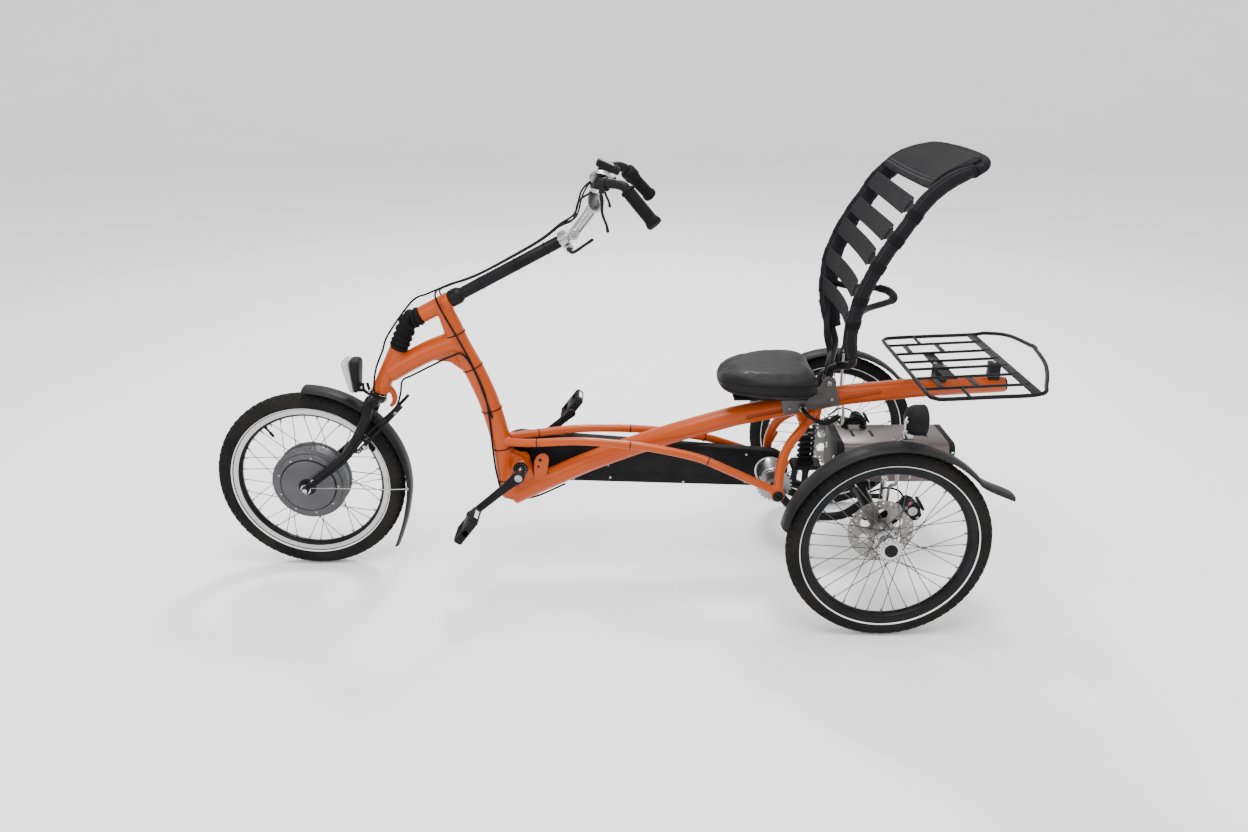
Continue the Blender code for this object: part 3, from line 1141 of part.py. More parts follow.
# ---------------------------------------------------------------- rear unit
def make_axle_carrier():
    """Axle tube, swing arms, brake plates, battery cradle and mudguard stays, welded together."""
    base = drum(REAR_AXLE, AXLE_TUBE_RADIUS, -AXLE_TUBE_HALF, AXLE_TUBE_HALF, 14)
    parts = [drum(REAR_AXLE, 0.0240, -0.034, 0.034, 14)]
    for side in (LEFT, RIGHT):
        y = side * SWING_ARM_Y
        arm = smooth([PIVOT + ACROSS * y, aft(-0.180, 0.2080, y), aft(-0.120, 0.1840, y),
                      aft(-0.050, 0.1860, y), aft(0.0, 0.2200, y)], 2)
        parts.append(bar(arm, SWING_ARM_RADIUS, 8))
        low, high = sorted((side * (SWING_ARM_Y - 0.0085), side * (SWING_ARM_Y + 0.0085)))
        parts.append(drum(PIVOT, 0.0190, low, high, 16))
        edge = side * AXLE_TUBE_HALF
        low, high = sorted((edge - side * 0.0095, edge - side * 0.0035))
        parts.append(plate([(WHEELBASE - 0.020, 0.2360), (WHEELBASE + 0.020, 0.2300),
                            (WHEELBASE + 0.074, 0.2900), (WHEELBASE + 0.046, 0.3180),
                            (WHEELBASE - 0.012, 0.2700)], low, high))
        guard_y = side * (TRACK / 2 - MUDGUARD_WIDTH / 2 - 0.0053)
        reach = REAR_WHEEL_RADIUS + MUDGUARD_CLEARANCE - 0.001
        stay_top = REAR_AXLE + Vector((0.014, guard_y, math.sqrt(reach ** 2 - 0.014 ** 2)))
        stay = [aft(0.014, 0.2750, edge - side * 0.0085), aft(0.014, 0.3300, edge - side * 0.0085),
                aft(0.014, 0.3560, edge + side * 0.0020), aft(0.014, 0.3840, guard_y - side * 0.0060),
                aft(0.014, 0.4200, guard_y), stay_top]
        parts.append(bar(stay, 0.0044, 6))
        cradle = block(aft(0.0, 0.2640, side * 0.060), (0.080, 0.014, BATTERY_FLOOR - GAP - 0.2560))
        cradle.data.transform(Matrix.Translation((0, 0, (BATTERY_FLOOR - GAP) - 0.2640
                                                  - (BATTERY_FLOOR - GAP - 0.2560) / 2)))
        parts.append(cradle)
    seat_low = plate([(WHEELBASE - 0.180, 0.2880), (WHEELBASE - 0.104, 0.2880), (WHEELBASE - 0.096, 0.2940),
                      (WHEELBASE - 0.104, 0.3000), (WHEELBASE - 0.172, 0.3000)], -0.030, 0.030)
    yoke = [bar(smooth([aft(-0.150, 0.1950, side * SWING_ARM_Y), aft(-0.150, 0.2500, side * 0.066),
                        aft(-0.140, 0.2930, side * 0.020)], 2), 0.0090, 6) for side in (LEFT, RIGHT)]
    fuse(base, *parts, seat_low, *yoke)
    bores = [drum(REAR_AXLE, AXLE_BORE_RADIUS, -0.4, 0.4, 16),
             drum(PIVOT, PIVOT_AXLE_RADIUS + PLAY, -0.2, 0.2, 16)]
    hub_room = drum(PIVOT, 0.0520, -0.0700, 0.0700, 20)
    carve(base, *bores, hub_room)
    keep(base, "axle_carrier", "black_metal", "rear_unit")


def make_spring():
    """Coil spring between the rear unit and the frame's perch, with its damper inside."""
    low, high = 0.3003, 0.4182
    coils, thick = 5, 0.0040
    points = []
    steps = coils * 8
    for step in range(steps + 1):
        turn = 2 * math.pi * step / 8
        height = low + thick + (high - low - 2 * thick) * step / steps
        points.append(aft(-0.140 + (SPRING_RADIUS - thick) * math.cos(turn), height,
                          (SPRING_RADIUS - thick) * math.sin(turn)))
    core = rod(aft(-0.140, low), aft(-0.140, high), 0.0125, 10)
    coil = bar(points, thick, 4)
    links = [rod(points[0], aft(-0.140, points[0].z), thick, 6), rod(points[-1], aft(-0.140, points[-1].z), thick, 6)]
    keep(fuse(core, coil, *links), "coil_spring", "black_metal", "rear_unit")


def make_battery():
    centre = aft(BATTERY_FRONT + BATTERY_LENGTH / 2, BATTERY_FLOOR + BATTERY_HEIGHT / 2)
    case = rounded(block(centre, (BATTERY_LENGTH, BATTERY_WIDTH, BATTERY_HEIGHT)), 0.012)
    keep(case, "battery", "battery_case", "rear_unit")


def make_caliper(side):
    inner = side * (AXLE_TUBE_HALF - 0.0035 + GAP)
    centre_y = side * (TRACK / 2 - DISC_INSET)
    outer = 2 * centre_y - inner
    outline = [(WHEELBASE + x, z) for x, z in ((0.030, 0.3050), (0.052, 0.2780), (0.070, 0.2690),
                                               (0.090, 0.2860), (0.082, 0.3120), (0.058, 0.3330),
                                               (0.040, 0.3270))]
    shell = plate(outline, *sorted((inner, outer)))
    slot = drum(REAR_AXLE, DISC_RADIUS + 0.0020, centre_y - 0.0022, centre_y + 0.0022, 32)
    hub_side = drum(REAR_AXLE, 0.0560, min(inner, outer) - 0.01, max(inner, outer) + 0.01, 24)
    keep(carve(shell, slot, hub_side), "brake_caliper_" + SIDE_NAMES[side], "black_metal", "rear_unit")


def make_tail_light():
    centre = aft(0.033, 0.5560, -TRACK / 2 + 0.012)
    lamp = lathe(centre, Vector((1, 0, 0)), [(0, -0.024), (0.020, -0.023), (0.032, -0.014), (0.0355, 0.004),
                                             (0.0355, 0.018), (0.031, 0.024), (0, 0.026)], 16)
    foot = block(centre + Vector((-0.014, 0, -0.036)), (0.026, 0.022, 0.020))
    guard_space = mudguard(REAR_AXLE + ACROSS * LEFT * TRACK / 2, REAR_WHEEL_RADIUS - GAP, 168.5, 40.0, [])
    guard_room = drum(REAR_AXLE, REAR_WHEEL_RADIUS + MUDGUARD_CLEARANCE + MUDGUARD_WALL + GAP,
                      -TRACK / 2 - 0.05, -TRACK / 2 + 0.05, 60)
    fuse(lamp, foot)
    carve(lamp, guard_space, guard_room)
    keep(lamp, "tail_light", "black_plastic", "rear_unit")


# ---------------------------------------------------------------- carrier
RAIL_YS = (0.028, 0.095, 0.170)


def deck(x, y, lift=0.0):
    """Point on the carrier's deck, which rises slightly to the rear."""
    share = (x - CARRIER_FRONT) / (CARRIER_REAR - CARRIER_FRONT)
    return aft(x, CARRIER_HEIGHT + CARRIER_RISE * share + lift, y)


def make_carrier():
    """Rack of round wire with a hoop behind, flat crosspieces and two feet on the main tube."""
    front, rear, half = CARRIER_FRONT, CARRIER_REAR, CARRIER_HALF_WIDTH
    corner = 0.030
    base = rod(deck(front, -0.020), deck(front, 0.020), CARRIER_WIRE + 0.0008, 10)
    parts = []
    for side in (LEFT, RIGHT):
        outline = [deck(front, side * 0.006), deck(front, side * half * 0.5),
                   deck(front, side * (half - corner)), deck(front + 0.009, side * (half - 0.009)),
                   deck(front + corner, side * half), deck((front + rear) / 2, side * half),
                   deck(rear, side * half * 0.985), deck(rear + 0.026, side * half * 0.86, 0.012),
                   deck(rear + 0.056, side * half * 0.50, 0.030),
                   aft(HOOP_REACH, CARRIER_HEIGHT + HOOP_RISE + CARRIER_RISE, side * 0.006)]
        parts.append(bar(smooth(outline, 2), CARRIER_WIRE, 6))
        for y in RAIL_YS:
            start, end = deck(front, side * y, 0.0006), deck(rear, side * y, 0.0006)
            parts.append(bar([start, end], 0.0037, 5))
        for x in (front + 0.045, front + 0.130):
            middle = deck(x, side * (RAIL_YS[1] + RAIL_YS[2]) / 2, 0.0004)
            parts.append(block(middle, (0.014, RAIL_YS[2] - RAIL_YS[1], 0.0030)))
    hoop_top = CARRIER_HEIGHT + HOOP_RISE + CARRIER_RISE
    parts.append(rod(aft(HOOP_REACH, hoop_top, -0.020), aft(HOOP_REACH, hoop_top, 0.020),
                     CARRIER_WIRE + 0.0008, 10))
    parts.append(block(deck(rear - 0.003, 0.0, 0.0002), (0.0255, 2 * half * 0.96, 0.0041)))
    parts.append(block(deck(front + 0.090, 0.0, -0.0031), (0.030, 2 * RAIL_YS[1] + 0.004, 0.0040)))
    parts.append(block(aft(front + 0.091, 0.5505), (0.028, 0.040, 0.0374)))
    parts.append(block(aft(rear - 0.020, 0.5565), (0.028, 0.026, 0.0466)))
    fuse(base, *parts)
    carve(base, main_cutter())
    keep(base, "carrier", "black_metal")


# ---------------------------------------------------------------- cables
def cable(points, diameter):
    """Cable along a smooth curve through the given points, with filled ends."""
    curve = bpy.data.curves.new("cable", "CURVE")
    curve.dimensions = "3D"
    curve.bevel_depth = diameter / 2
    curve.bevel_resolution = 2
    curve.use_fill_caps = True
    path = smooth(points, 2)
    spline = curve.splines.new("POLY")
    spline.points.add(len(path) - 1)
    for point, place in zip(spline.points, path):
        point.co = (*place, 1)
    source = bpy.data.objects.new("cable", curve)
    bpy.context.scene.collection.objects.link(source)
    mesh = evaluated(source)
    bpy.data.objects.remove(source)
    return new_object(mesh)


def make_cables():
    brake = [on_column(0.060, 0.0300, 0.006), on_column(0.020, 0.0330, 0.004), on_column(-0.040, 0.0360, 0.000),
             on_column(-0.085, 0.0390, -0.010), on_steerer(0.034, 0.0300, -0.026),
             on_steerer(-0.010, 0.0200, -0.032), on_steerer(-0.060, 0.0040, -0.030),
             on_steerer(-0.095, -0.0140, -0.026)]
    keep(cable(brake, 0.0045), "brake_cable", "black_plastic")
    motor = [on_column(0.060, 0.0280, -0.010), on_column(0.010, 0.0350, -0.022), fore(0.372, 0.768, -0.034),
             fore(0.388, 0.728, -0.037), fore(0.424, 0.650, -0.0330), fore(0.451, 0.590, -0.0330),
             fore(0.480, 0.510, -0.0330), fore(0.497, 0.440, -0.0330), fore(0.509, 0.390, -0.0330),
             fore(0.515, 0.340, -0.0350)]
    keep(cable(motor, 0.0050), "motor_cable", "black_plastic")
    upper = [on_column(0.0605, 0.026, 0.0), on_column(0.120, 0.024, 0.0), on_column(0.220, 0.024, -0.002),
             on_column(0.270, 0.028, -0.006), on_column(0.330, 0.055, -0.022),
             on_column(0.360, 0.075, -0.034)]
    keep(cable(upper, 0.0060), "handlebar_cable", "black_plastic", "column")


# ---------------------------------------------------------------- build
def main():
    for item in list(bpy.data.objects):
        bpy.data.objects.remove(item, do_unlink=True)
    body("frame")
    body("fork", HEAD)
    body("headlamp", fore(0.163, 0.527))
    body("front_wheel", FRONT_AXLE)
    body("column", FOOT)
    body("column_slide", on_column(COLUMN_LENGTH))
    body("clamp_lever", clamp_pivot())
    body("handlebar", STEM_PIVOT)
    body("twist_shifter", mirrored(GRIP_START, RIGHT))
    body("cranks", BRACKET)
    body("gear_hub", PIVOT)
    body("rear_unit", PIVOT)
    body("seat_slide", RAIL_START)
    body("seat_lock_lever", SEAT_LEVER_PIVOT)
    body("backrest", RECLINE)
    for side in (LEFT, RIGHT):
        name = SIDE_NAMES[side]
        body("brake_lever_" + name, lever_root(side))
        body("brake_arm_" + name, BRAKE_FOOT + ACROSS * side * BRAKE_Y)
        body("pedal_" + name, crank_end(side))
        body("wheel_" + name, REAR_AXLE + ACROSS * side * TRACK / 2)

    make_front_frame()
    make_main_tube()
    make_pivot_axle()
    make_chain_case()
    make_front_chain()
    make_gear_hub()
    make_front_wheel()
    make_front_mudguard()
    make_fork()
    make_headlamp()
    make_steering_boot()
    make_column()
    make_stem()
    make_handlebar()
    make_bell()
    make_display()
    make_seat_bracket()
    make_seat_cushion()
    make_seat_lever()
    make_backrest_frame()
    make_backrest_sling()
    make_headrest()
    make_axle_carrier()
    make_spring()
    make_battery()
    make_tail_light()
    make_carrier()
    make_cables()
    for side in (LEFT, RIGHT):
        make_side_rail(side)
        make_crank(side)
        make_pedal(side)
        make_brake_arm(side)
        make_rear_wheel(side)
        make_rear_mudguard(side)
        make_caliper(side)


main()
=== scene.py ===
"""Adult tricycle, dressed: front wheel drive, low frame, net backrest and a sprung rear unit.

Metres, +X to the rear, +Y to the rider's right, +Z up.
"""
import logging
import math
from dataclasses import dataclass
from enum import Enum

import bmesh
import bpy
from mathutils import Matrix, Vector


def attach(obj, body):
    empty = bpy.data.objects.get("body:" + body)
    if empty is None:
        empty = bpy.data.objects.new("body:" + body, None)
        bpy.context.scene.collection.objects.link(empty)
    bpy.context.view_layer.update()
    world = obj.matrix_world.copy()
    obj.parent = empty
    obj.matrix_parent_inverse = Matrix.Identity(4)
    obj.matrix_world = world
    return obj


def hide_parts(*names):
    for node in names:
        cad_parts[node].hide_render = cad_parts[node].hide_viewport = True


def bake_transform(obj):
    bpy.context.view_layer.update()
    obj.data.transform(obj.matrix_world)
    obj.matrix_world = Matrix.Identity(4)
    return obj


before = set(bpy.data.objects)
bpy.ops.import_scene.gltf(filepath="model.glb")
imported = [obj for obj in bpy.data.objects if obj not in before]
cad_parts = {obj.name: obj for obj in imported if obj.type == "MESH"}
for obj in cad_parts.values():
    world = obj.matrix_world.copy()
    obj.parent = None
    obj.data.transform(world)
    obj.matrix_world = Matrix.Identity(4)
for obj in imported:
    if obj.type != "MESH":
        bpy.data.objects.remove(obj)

LOG = logging.getLogger("tricycle")
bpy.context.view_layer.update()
SHIFT = -0.8185
WHEELBASE = 1.46
TRACK = 0.694
ACROSS = Vector((0, 1, 0))


class Side(Enum):
    """Side of the tricycle, as the rider sees it."""
    LEFT = -1
    RIGHT = 1

    @property
    def word(self) -> str:
        """Name of the side in a piece's name."""
        return self.name.lower()


def fore(x: float, z: float, y: float = 0.0) -> Vector:
    """Point measured from the front axle's foot on the ground."""
    return Vector((x + SHIFT, y, z))


def aft(x: float, z: float, y: float = 0.0) -> Vector:
    """Point measured from the rear axle's foot on the ground."""
    return Vector((WHEELBASE + SHIFT + x, y, z))


FRONT_AXLE = fore(0, 0.25)
REAR_AXLE = aft(0, 0.243)
BRACKET = fore(0.565, 0.297)
PIVOT = aft(-0.227, 0.258)
RECLINE = aft(-0.098, 0.533)
RAIL_START = aft(-0.31, 0.437)
RAIL_END = aft(-0.053, 0.49)
RAIL_AXIS = (RAIL_END - RAIL_START).normalized()
STEER_AXIS = Vector((math.sin(math.radians(26.4)), 0, math.cos(math.radians(26.4))))
COLUMN_AXIS = Vector((math.cos(math.radians(27.7)), 0, math.sin(math.radians(27.7))))
HEAD = fore(0.263, 0.62)
FOOT = fore(0.405, 0.747)


def on_steerer(distance: float, ahead: float = 0.0, y: float = 0.0) -> Vector:
    """Point on the fork axis, measured up from the head tube's top."""
    return HEAD + STEER_AXIS * distance + STEER_AXIS.cross(ACROSS) * ahead + ACROSS * y


def on_column(distance: float, above: float = 0.0, y: float = 0.0) -> Vector:
    """Point on the column axis, measured up from the housing's top end."""
    return FOOT + COLUMN_AXIS * distance + COLUMN_AXIS.cross(ACROSS) * above + ACROSS * y


def on_rail(distance: float, above: float = 0.0, y: float = 0.0) -> Vector:
    """Point on the seat rail's line, measured back from its front end."""
    return RAIL_START + RAIL_AXIS * distance + Vector((-RAIL_AXIS.z, 0, RAIL_AXIS.x)) * above + ACROSS * y


def mirrored(point: Vector, side: Side) -> Vector:
    """Point given for the right side, on the side asked for."""
    return Vector((point.x, point.y * side.value, point.z))


def axes_meeting() -> Vector:
    """Where the fork axis and the column axis cross."""
    away = HEAD - FOOT
    turn = COLUMN_AXIS.x * STEER_AXIS.z - COLUMN_AXIS.z * STEER_AXIS.x
    return FOOT + COLUMN_AXIS * ((away.x * STEER_AXIS.z - away.z * STEER_AXIS.x) / turn)


JOINT_CENTRE = axes_meeting()
STEM_PIVOT = on_column(0.352)
BAR_CENTRE = STEM_PIVOT + Vector((math.cos(math.radians(53)), 0, math.sin(math.radians(53)))) * 0.089


# ---------------------------------------------------------------- node helpers
class Nodes:
    """Short way to add and join the nodes of one tree."""

    def __init__(self, tree: bpy.types.NodeTree) -> None:
        """Works on the tree given."""
        self.tree = tree

    def add(self, kind: str, inputs: dict | None = None, **settings: object) -> bpy.types.Node:
        """Adds a node.

        Args:
            kind: Blender's name of the node type.
            inputs: socket name or number to a value or to another node's socket.
            settings: attributes of the node.

        Returns:
            The new node.
        """
        node = self.tree.nodes.new(kind)
        for name, value in settings.items():
            setattr(node, name, value)
        for key, value in (inputs or {}).items():
            if isinstance(value, bpy.types.NodeSocket):
                self.tree.links.new(value, node.inputs[key])
            else:
                node.inputs[key].default_value = value
        return node

    def math(self, operation: str, *values: object) -> bpy.types.NodeSocket:
        """Result of one maths node on numbers or sockets."""
        return self.add("ShaderNodeMath", dict(enumerate(values)), operation=operation).outputs[0]

    def vector(self, x: object, y: object, z: object) -> bpy.types.NodeSocket:
        """Vector joined from three numbers or sockets."""
        return self.add("ShaderNodeCombineXYZ", {0: x, 1: y, 2: z}).outputs[0]

    def mix(self, factor: object, first: object, second: object) -> bpy.types.NodeSocket:
        """Colour mixed from two colours or sockets."""
        node = self.add("ShaderNodeMix", data_type="RGBA")
        for key, value in ((0, factor), (6, first), (7, second)):
            if isinstance(value, bpy.types.NodeSocket):
                self.tree.links.new(value, node.inputs[key])
            else:
                node.inputs[key].default_value = value if key == 0 else (*value[:3], 1.0)
        return node.outputs[2]

    def ramp(self, value: bpy.types.NodeSocket, low: float, high: float) -> bpy.types.NodeSocket:
        """Value stretched from low..high to 0..1 and held there."""
        return self.add("ShaderNodeMapRange", {0: value, 1: low, 2: high, 3: 0.0, 4: 1.0}).outputs[0]


def new_tree(name: str, kind: str, inputs: tuple, outputs: tuple) -> tuple[Nodes, dict, bpy.types.Node]:
    """Starts a node group.

    Args:
        name: name of the group.
        kind: type of the tree.
        inputs: (name, socket type, default) of each input.
        outputs: (name, socket type) of each output.

    Returns:
        The helper, the input sockets by name and the output node.
    """
    tree = bpy.data.node_groups.new(name, kind)
    for label, socket, default in inputs:
        item = tree.interface.new_socket(name=label, in_out="INPUT", socket_type=socket)
        if default is not None:
            item.default_value = default
    for label, socket in outputs:
        tree.interface.new_socket(name=label, in_out="OUTPUT", socket_type=socket)
    nodes = Nodes(tree)
    start = nodes.add("NodeGroupInput")
    end = nodes.add("NodeGroupOutput")
    return nodes, {socket.name: socket for socket in start.outputs if socket.name}, end


# ---------------------------------------------------------------- shader groups
FLOAT, VECTOR, COLOUR = "NodeSocketFloat", "NodeSocketVector", "NodeSocketColor"


def mottle_group() -> bpy.types.NodeTree:
    """Cloudy variation and fine grain from two scales of noise."""
    nodes, given, end = new_tree("mottle", "ShaderNodeTree", (("Vector", VECTOR, None), ("Cloud Scale", FLOAT, 9.0),
        ("Grain Scale", FLOAT, 400.0)), (("Cloud", FLOAT), ("Grain", FLOAT)))
    cloud = nodes.add("ShaderNodeTexNoise", {"Vector": given["Vector"], "Scale": given["Cloud Scale"],
                                             "Detail": 4.0, "Roughness": 0.6})
    grain = nodes.add("ShaderNodeTexNoise", {"Vector": given["Vector"], "Scale": given["Grain Scale"],
                                             "Detail": 3.0, "Roughness": 0.55})
    nodes.tree.links.new(nodes.ramp(cloud.outputs[0], 0.32, 0.68), end.inputs[0])
    nodes.tree.links.new(grain.outputs[0], end.inputs[1])
    return nodes.tree


def dust_group() -> bpy.types.NodeTree:
    """Thin dust that settles on faces that look up, broken by noise."""
    nodes, given, end = new_tree("dust", "ShaderNodeTree",
                                 (("Color", COLOUR, None), ("Dust Color", COLOUR, None), ("Amount", FLOAT, 0.1),
                                  ("Noise", FLOAT, 0.5)), (("Color", COLOUR), ("Mask", FLOAT)))
    normal = nodes.add("ShaderNodeNewGeometry").outputs["Normal"]
    up = nodes.ramp(nodes.add("ShaderNodeSeparateXYZ", {0: normal}).outputs[2], 0.1, 1.0)
    mask = nodes.math("MULTIPLY", nodes.math("MULTIPLY", up, given["Noise"]), given["Amount"])
    nodes.tree.links.new(nodes.mix(mask, given["Color"], given["Dust Color"]), end.inputs[0])
    nodes.tree.links.new(mask, end.inputs[1])
    return nodes.tree


def wear_and_shade_group() -> bpy.types.NodeTree:
    """Lighter colour where an edge stands proud from wear, and painted shade that darkens the corners."""
    nodes, given, end = new_tree("edge_wear_and_corner_shade", "ShaderNodeTree",
                                 (("Color", COLOUR, None), ("Worn Color", COLOUR, None), ("Amount", FLOAT, 0.3)),
                                 (("Color", COLOUR), ("Mask", FLOAT)))
    point = nodes.add("ShaderNodeNewGeometry").outputs["Pointiness"]
    edge = nodes.math("MULTIPLY", nodes.ramp(point, 0.52, 0.62), given["Amount"])
    # painted shade: corners and creases (low pointiness) are mixed towards a fixed near-black
    corner = nodes.math("MULTIPLY", nodes.ramp(point, 0.48, 0.38), 0.45)
    corner_shaded = nodes.mix(corner, given["Color"], (0.012, 0.01, 0.009))
    nodes.tree.links.new(nodes.mix(edge, corner_shaded, given["Worn Color"]), end.inputs[0])
    nodes.tree.links.new(edge, end.inputs[1])
    return nodes.tree


def weave_group() -> bpy.types.NodeTree:
    """Plain weave of two crossing sets of threads, laid out on the piece's own UV map in metres."""
    nodes, given, end = new_tree("weave", "ShaderNodeTree", (("Vector", VECTOR, None), ("Thread", FLOAT, 0.0016)),
                                 (("Height", FLOAT), ("Mask", FLOAT)))
    parts = nodes.add("ShaderNodeSeparateXYZ", {0: given["Vector"]})
    turn = nodes.math("DIVIDE", 2 * math.pi, given["Thread"])
    across = nodes.math("MULTIPLY", parts.outputs[0], turn)
    along = nodes.math("MULTIPLY", parts.outputs[1], turn)
    warp = nodes.math("ABSOLUTE", nodes.math("SINE", nodes.math("MULTIPLY", across, 0.5)))
    weft = nodes.math("ABSOLUTE", nodes.math("SINE", nodes.math("MULTIPLY", along, 0.5)))
    over = nodes.math("MULTIPLY", nodes.math("SINE", nodes.math("MULTIPLY", across, 0.5)),
                      nodes.math("SINE", nodes.math("MULTIPLY", along, 0.5)))
    pick = nodes.ramp(over, -0.4, 0.4)
    height = nodes.math("ADD", nodes.math("MULTIPLY", warp, pick),
                        nodes.math("MULTIPLY", weft, nodes.math("SUBTRACT", 1.0, pick)))
    nodes.tree.links.new(height, end.inputs[0])
    nodes.tree.links.new(pick, end.inputs[1])
    return nodes.tree


def brushed_group() -> bpy.types.NodeTree:
    """Fine parallel scratches of drawn or turned metal."""
    nodes, given, end = new_tree("brushed", "ShaderNodeTree",
                                 (("Vector", VECTOR, None), ("Stretch", VECTOR, (4.0, 420.0, 420.0))),
                                 (("Height", FLOAT), ("Mask", FLOAT)))
    stretched = nodes.add("ShaderNodeVectorMath", {0: given["Vector"], 1: given["Stretch"]}, operation="MULTIPLY")
    lines = nodes.add("ShaderNodeTexNoise", {"Vector": stretched.outputs[0], "Scale": 1.0, "Detail": 3.0})
    nodes.tree.links.new(lines.outputs[0], end.inputs[0])
    nodes.tree.links.new(nodes.ramp(lines.outputs[0], 0.35, 0.65), end.inputs[1])
    return nodes.tree


def leather_group() -> bpy.types.NodeTree:
    """Pebbled grain of moulded vinyl."""
    nodes, given, end = new_tree("leather", "ShaderNodeTree", (("Vector", VECTOR, None), ("Scale", FLOAT, 700.0)),
                                 (("Height", FLOAT), ("Mask", FLOAT)))
    cells = nodes.add("ShaderNodeTexVoronoi", {"Vector": given["Vector"], "Scale": given["Scale"]},
                      feature="DISTANCE_TO_EDGE")
    height = nodes.ramp(cells.outputs["Distance"], 0.0, 0.22)
    nodes.tree.links.new(height, end.inputs[0])
    nodes.tree.links.new(height, end.inputs[1])
    return nodes.tree


# ---------------------------------------------------------------- finishes
class Surface(Enum):
    """Kind of surface pattern a finish carries."""
    PAINT = "paint"
    GRAIN = "grain"
    BRUSHED = "brushed"
    WEAVE = "weave"
    LEATHER = "leather"
    RIBS = "ribs"
    GLASS = "glass"
    GLOW = "glow"


@dataclass(frozen=True)
class Finish:
    """One finish: its colours, gloss and the scale and depth of its pattern."""
    name: str
    colour: tuple[float, float, float]
    surface: Surface = Surface.GRAIN
    other: tuple[float, float, float] = (0.5, 0.5, 0.5)
    roughness: float = 0.4
    spread: float = 0.1
    metallic: float = 0.0
    coat: float = 0.0
    sheen: float = 0.0
    bump: float = 0.15
    scale: float = 400.0
    wear: float = 0.2
    dust: float = 0.12
    stretch: tuple[float, float, float] = (4.0, 420.0, 420.0)
    specular: float = 0.5


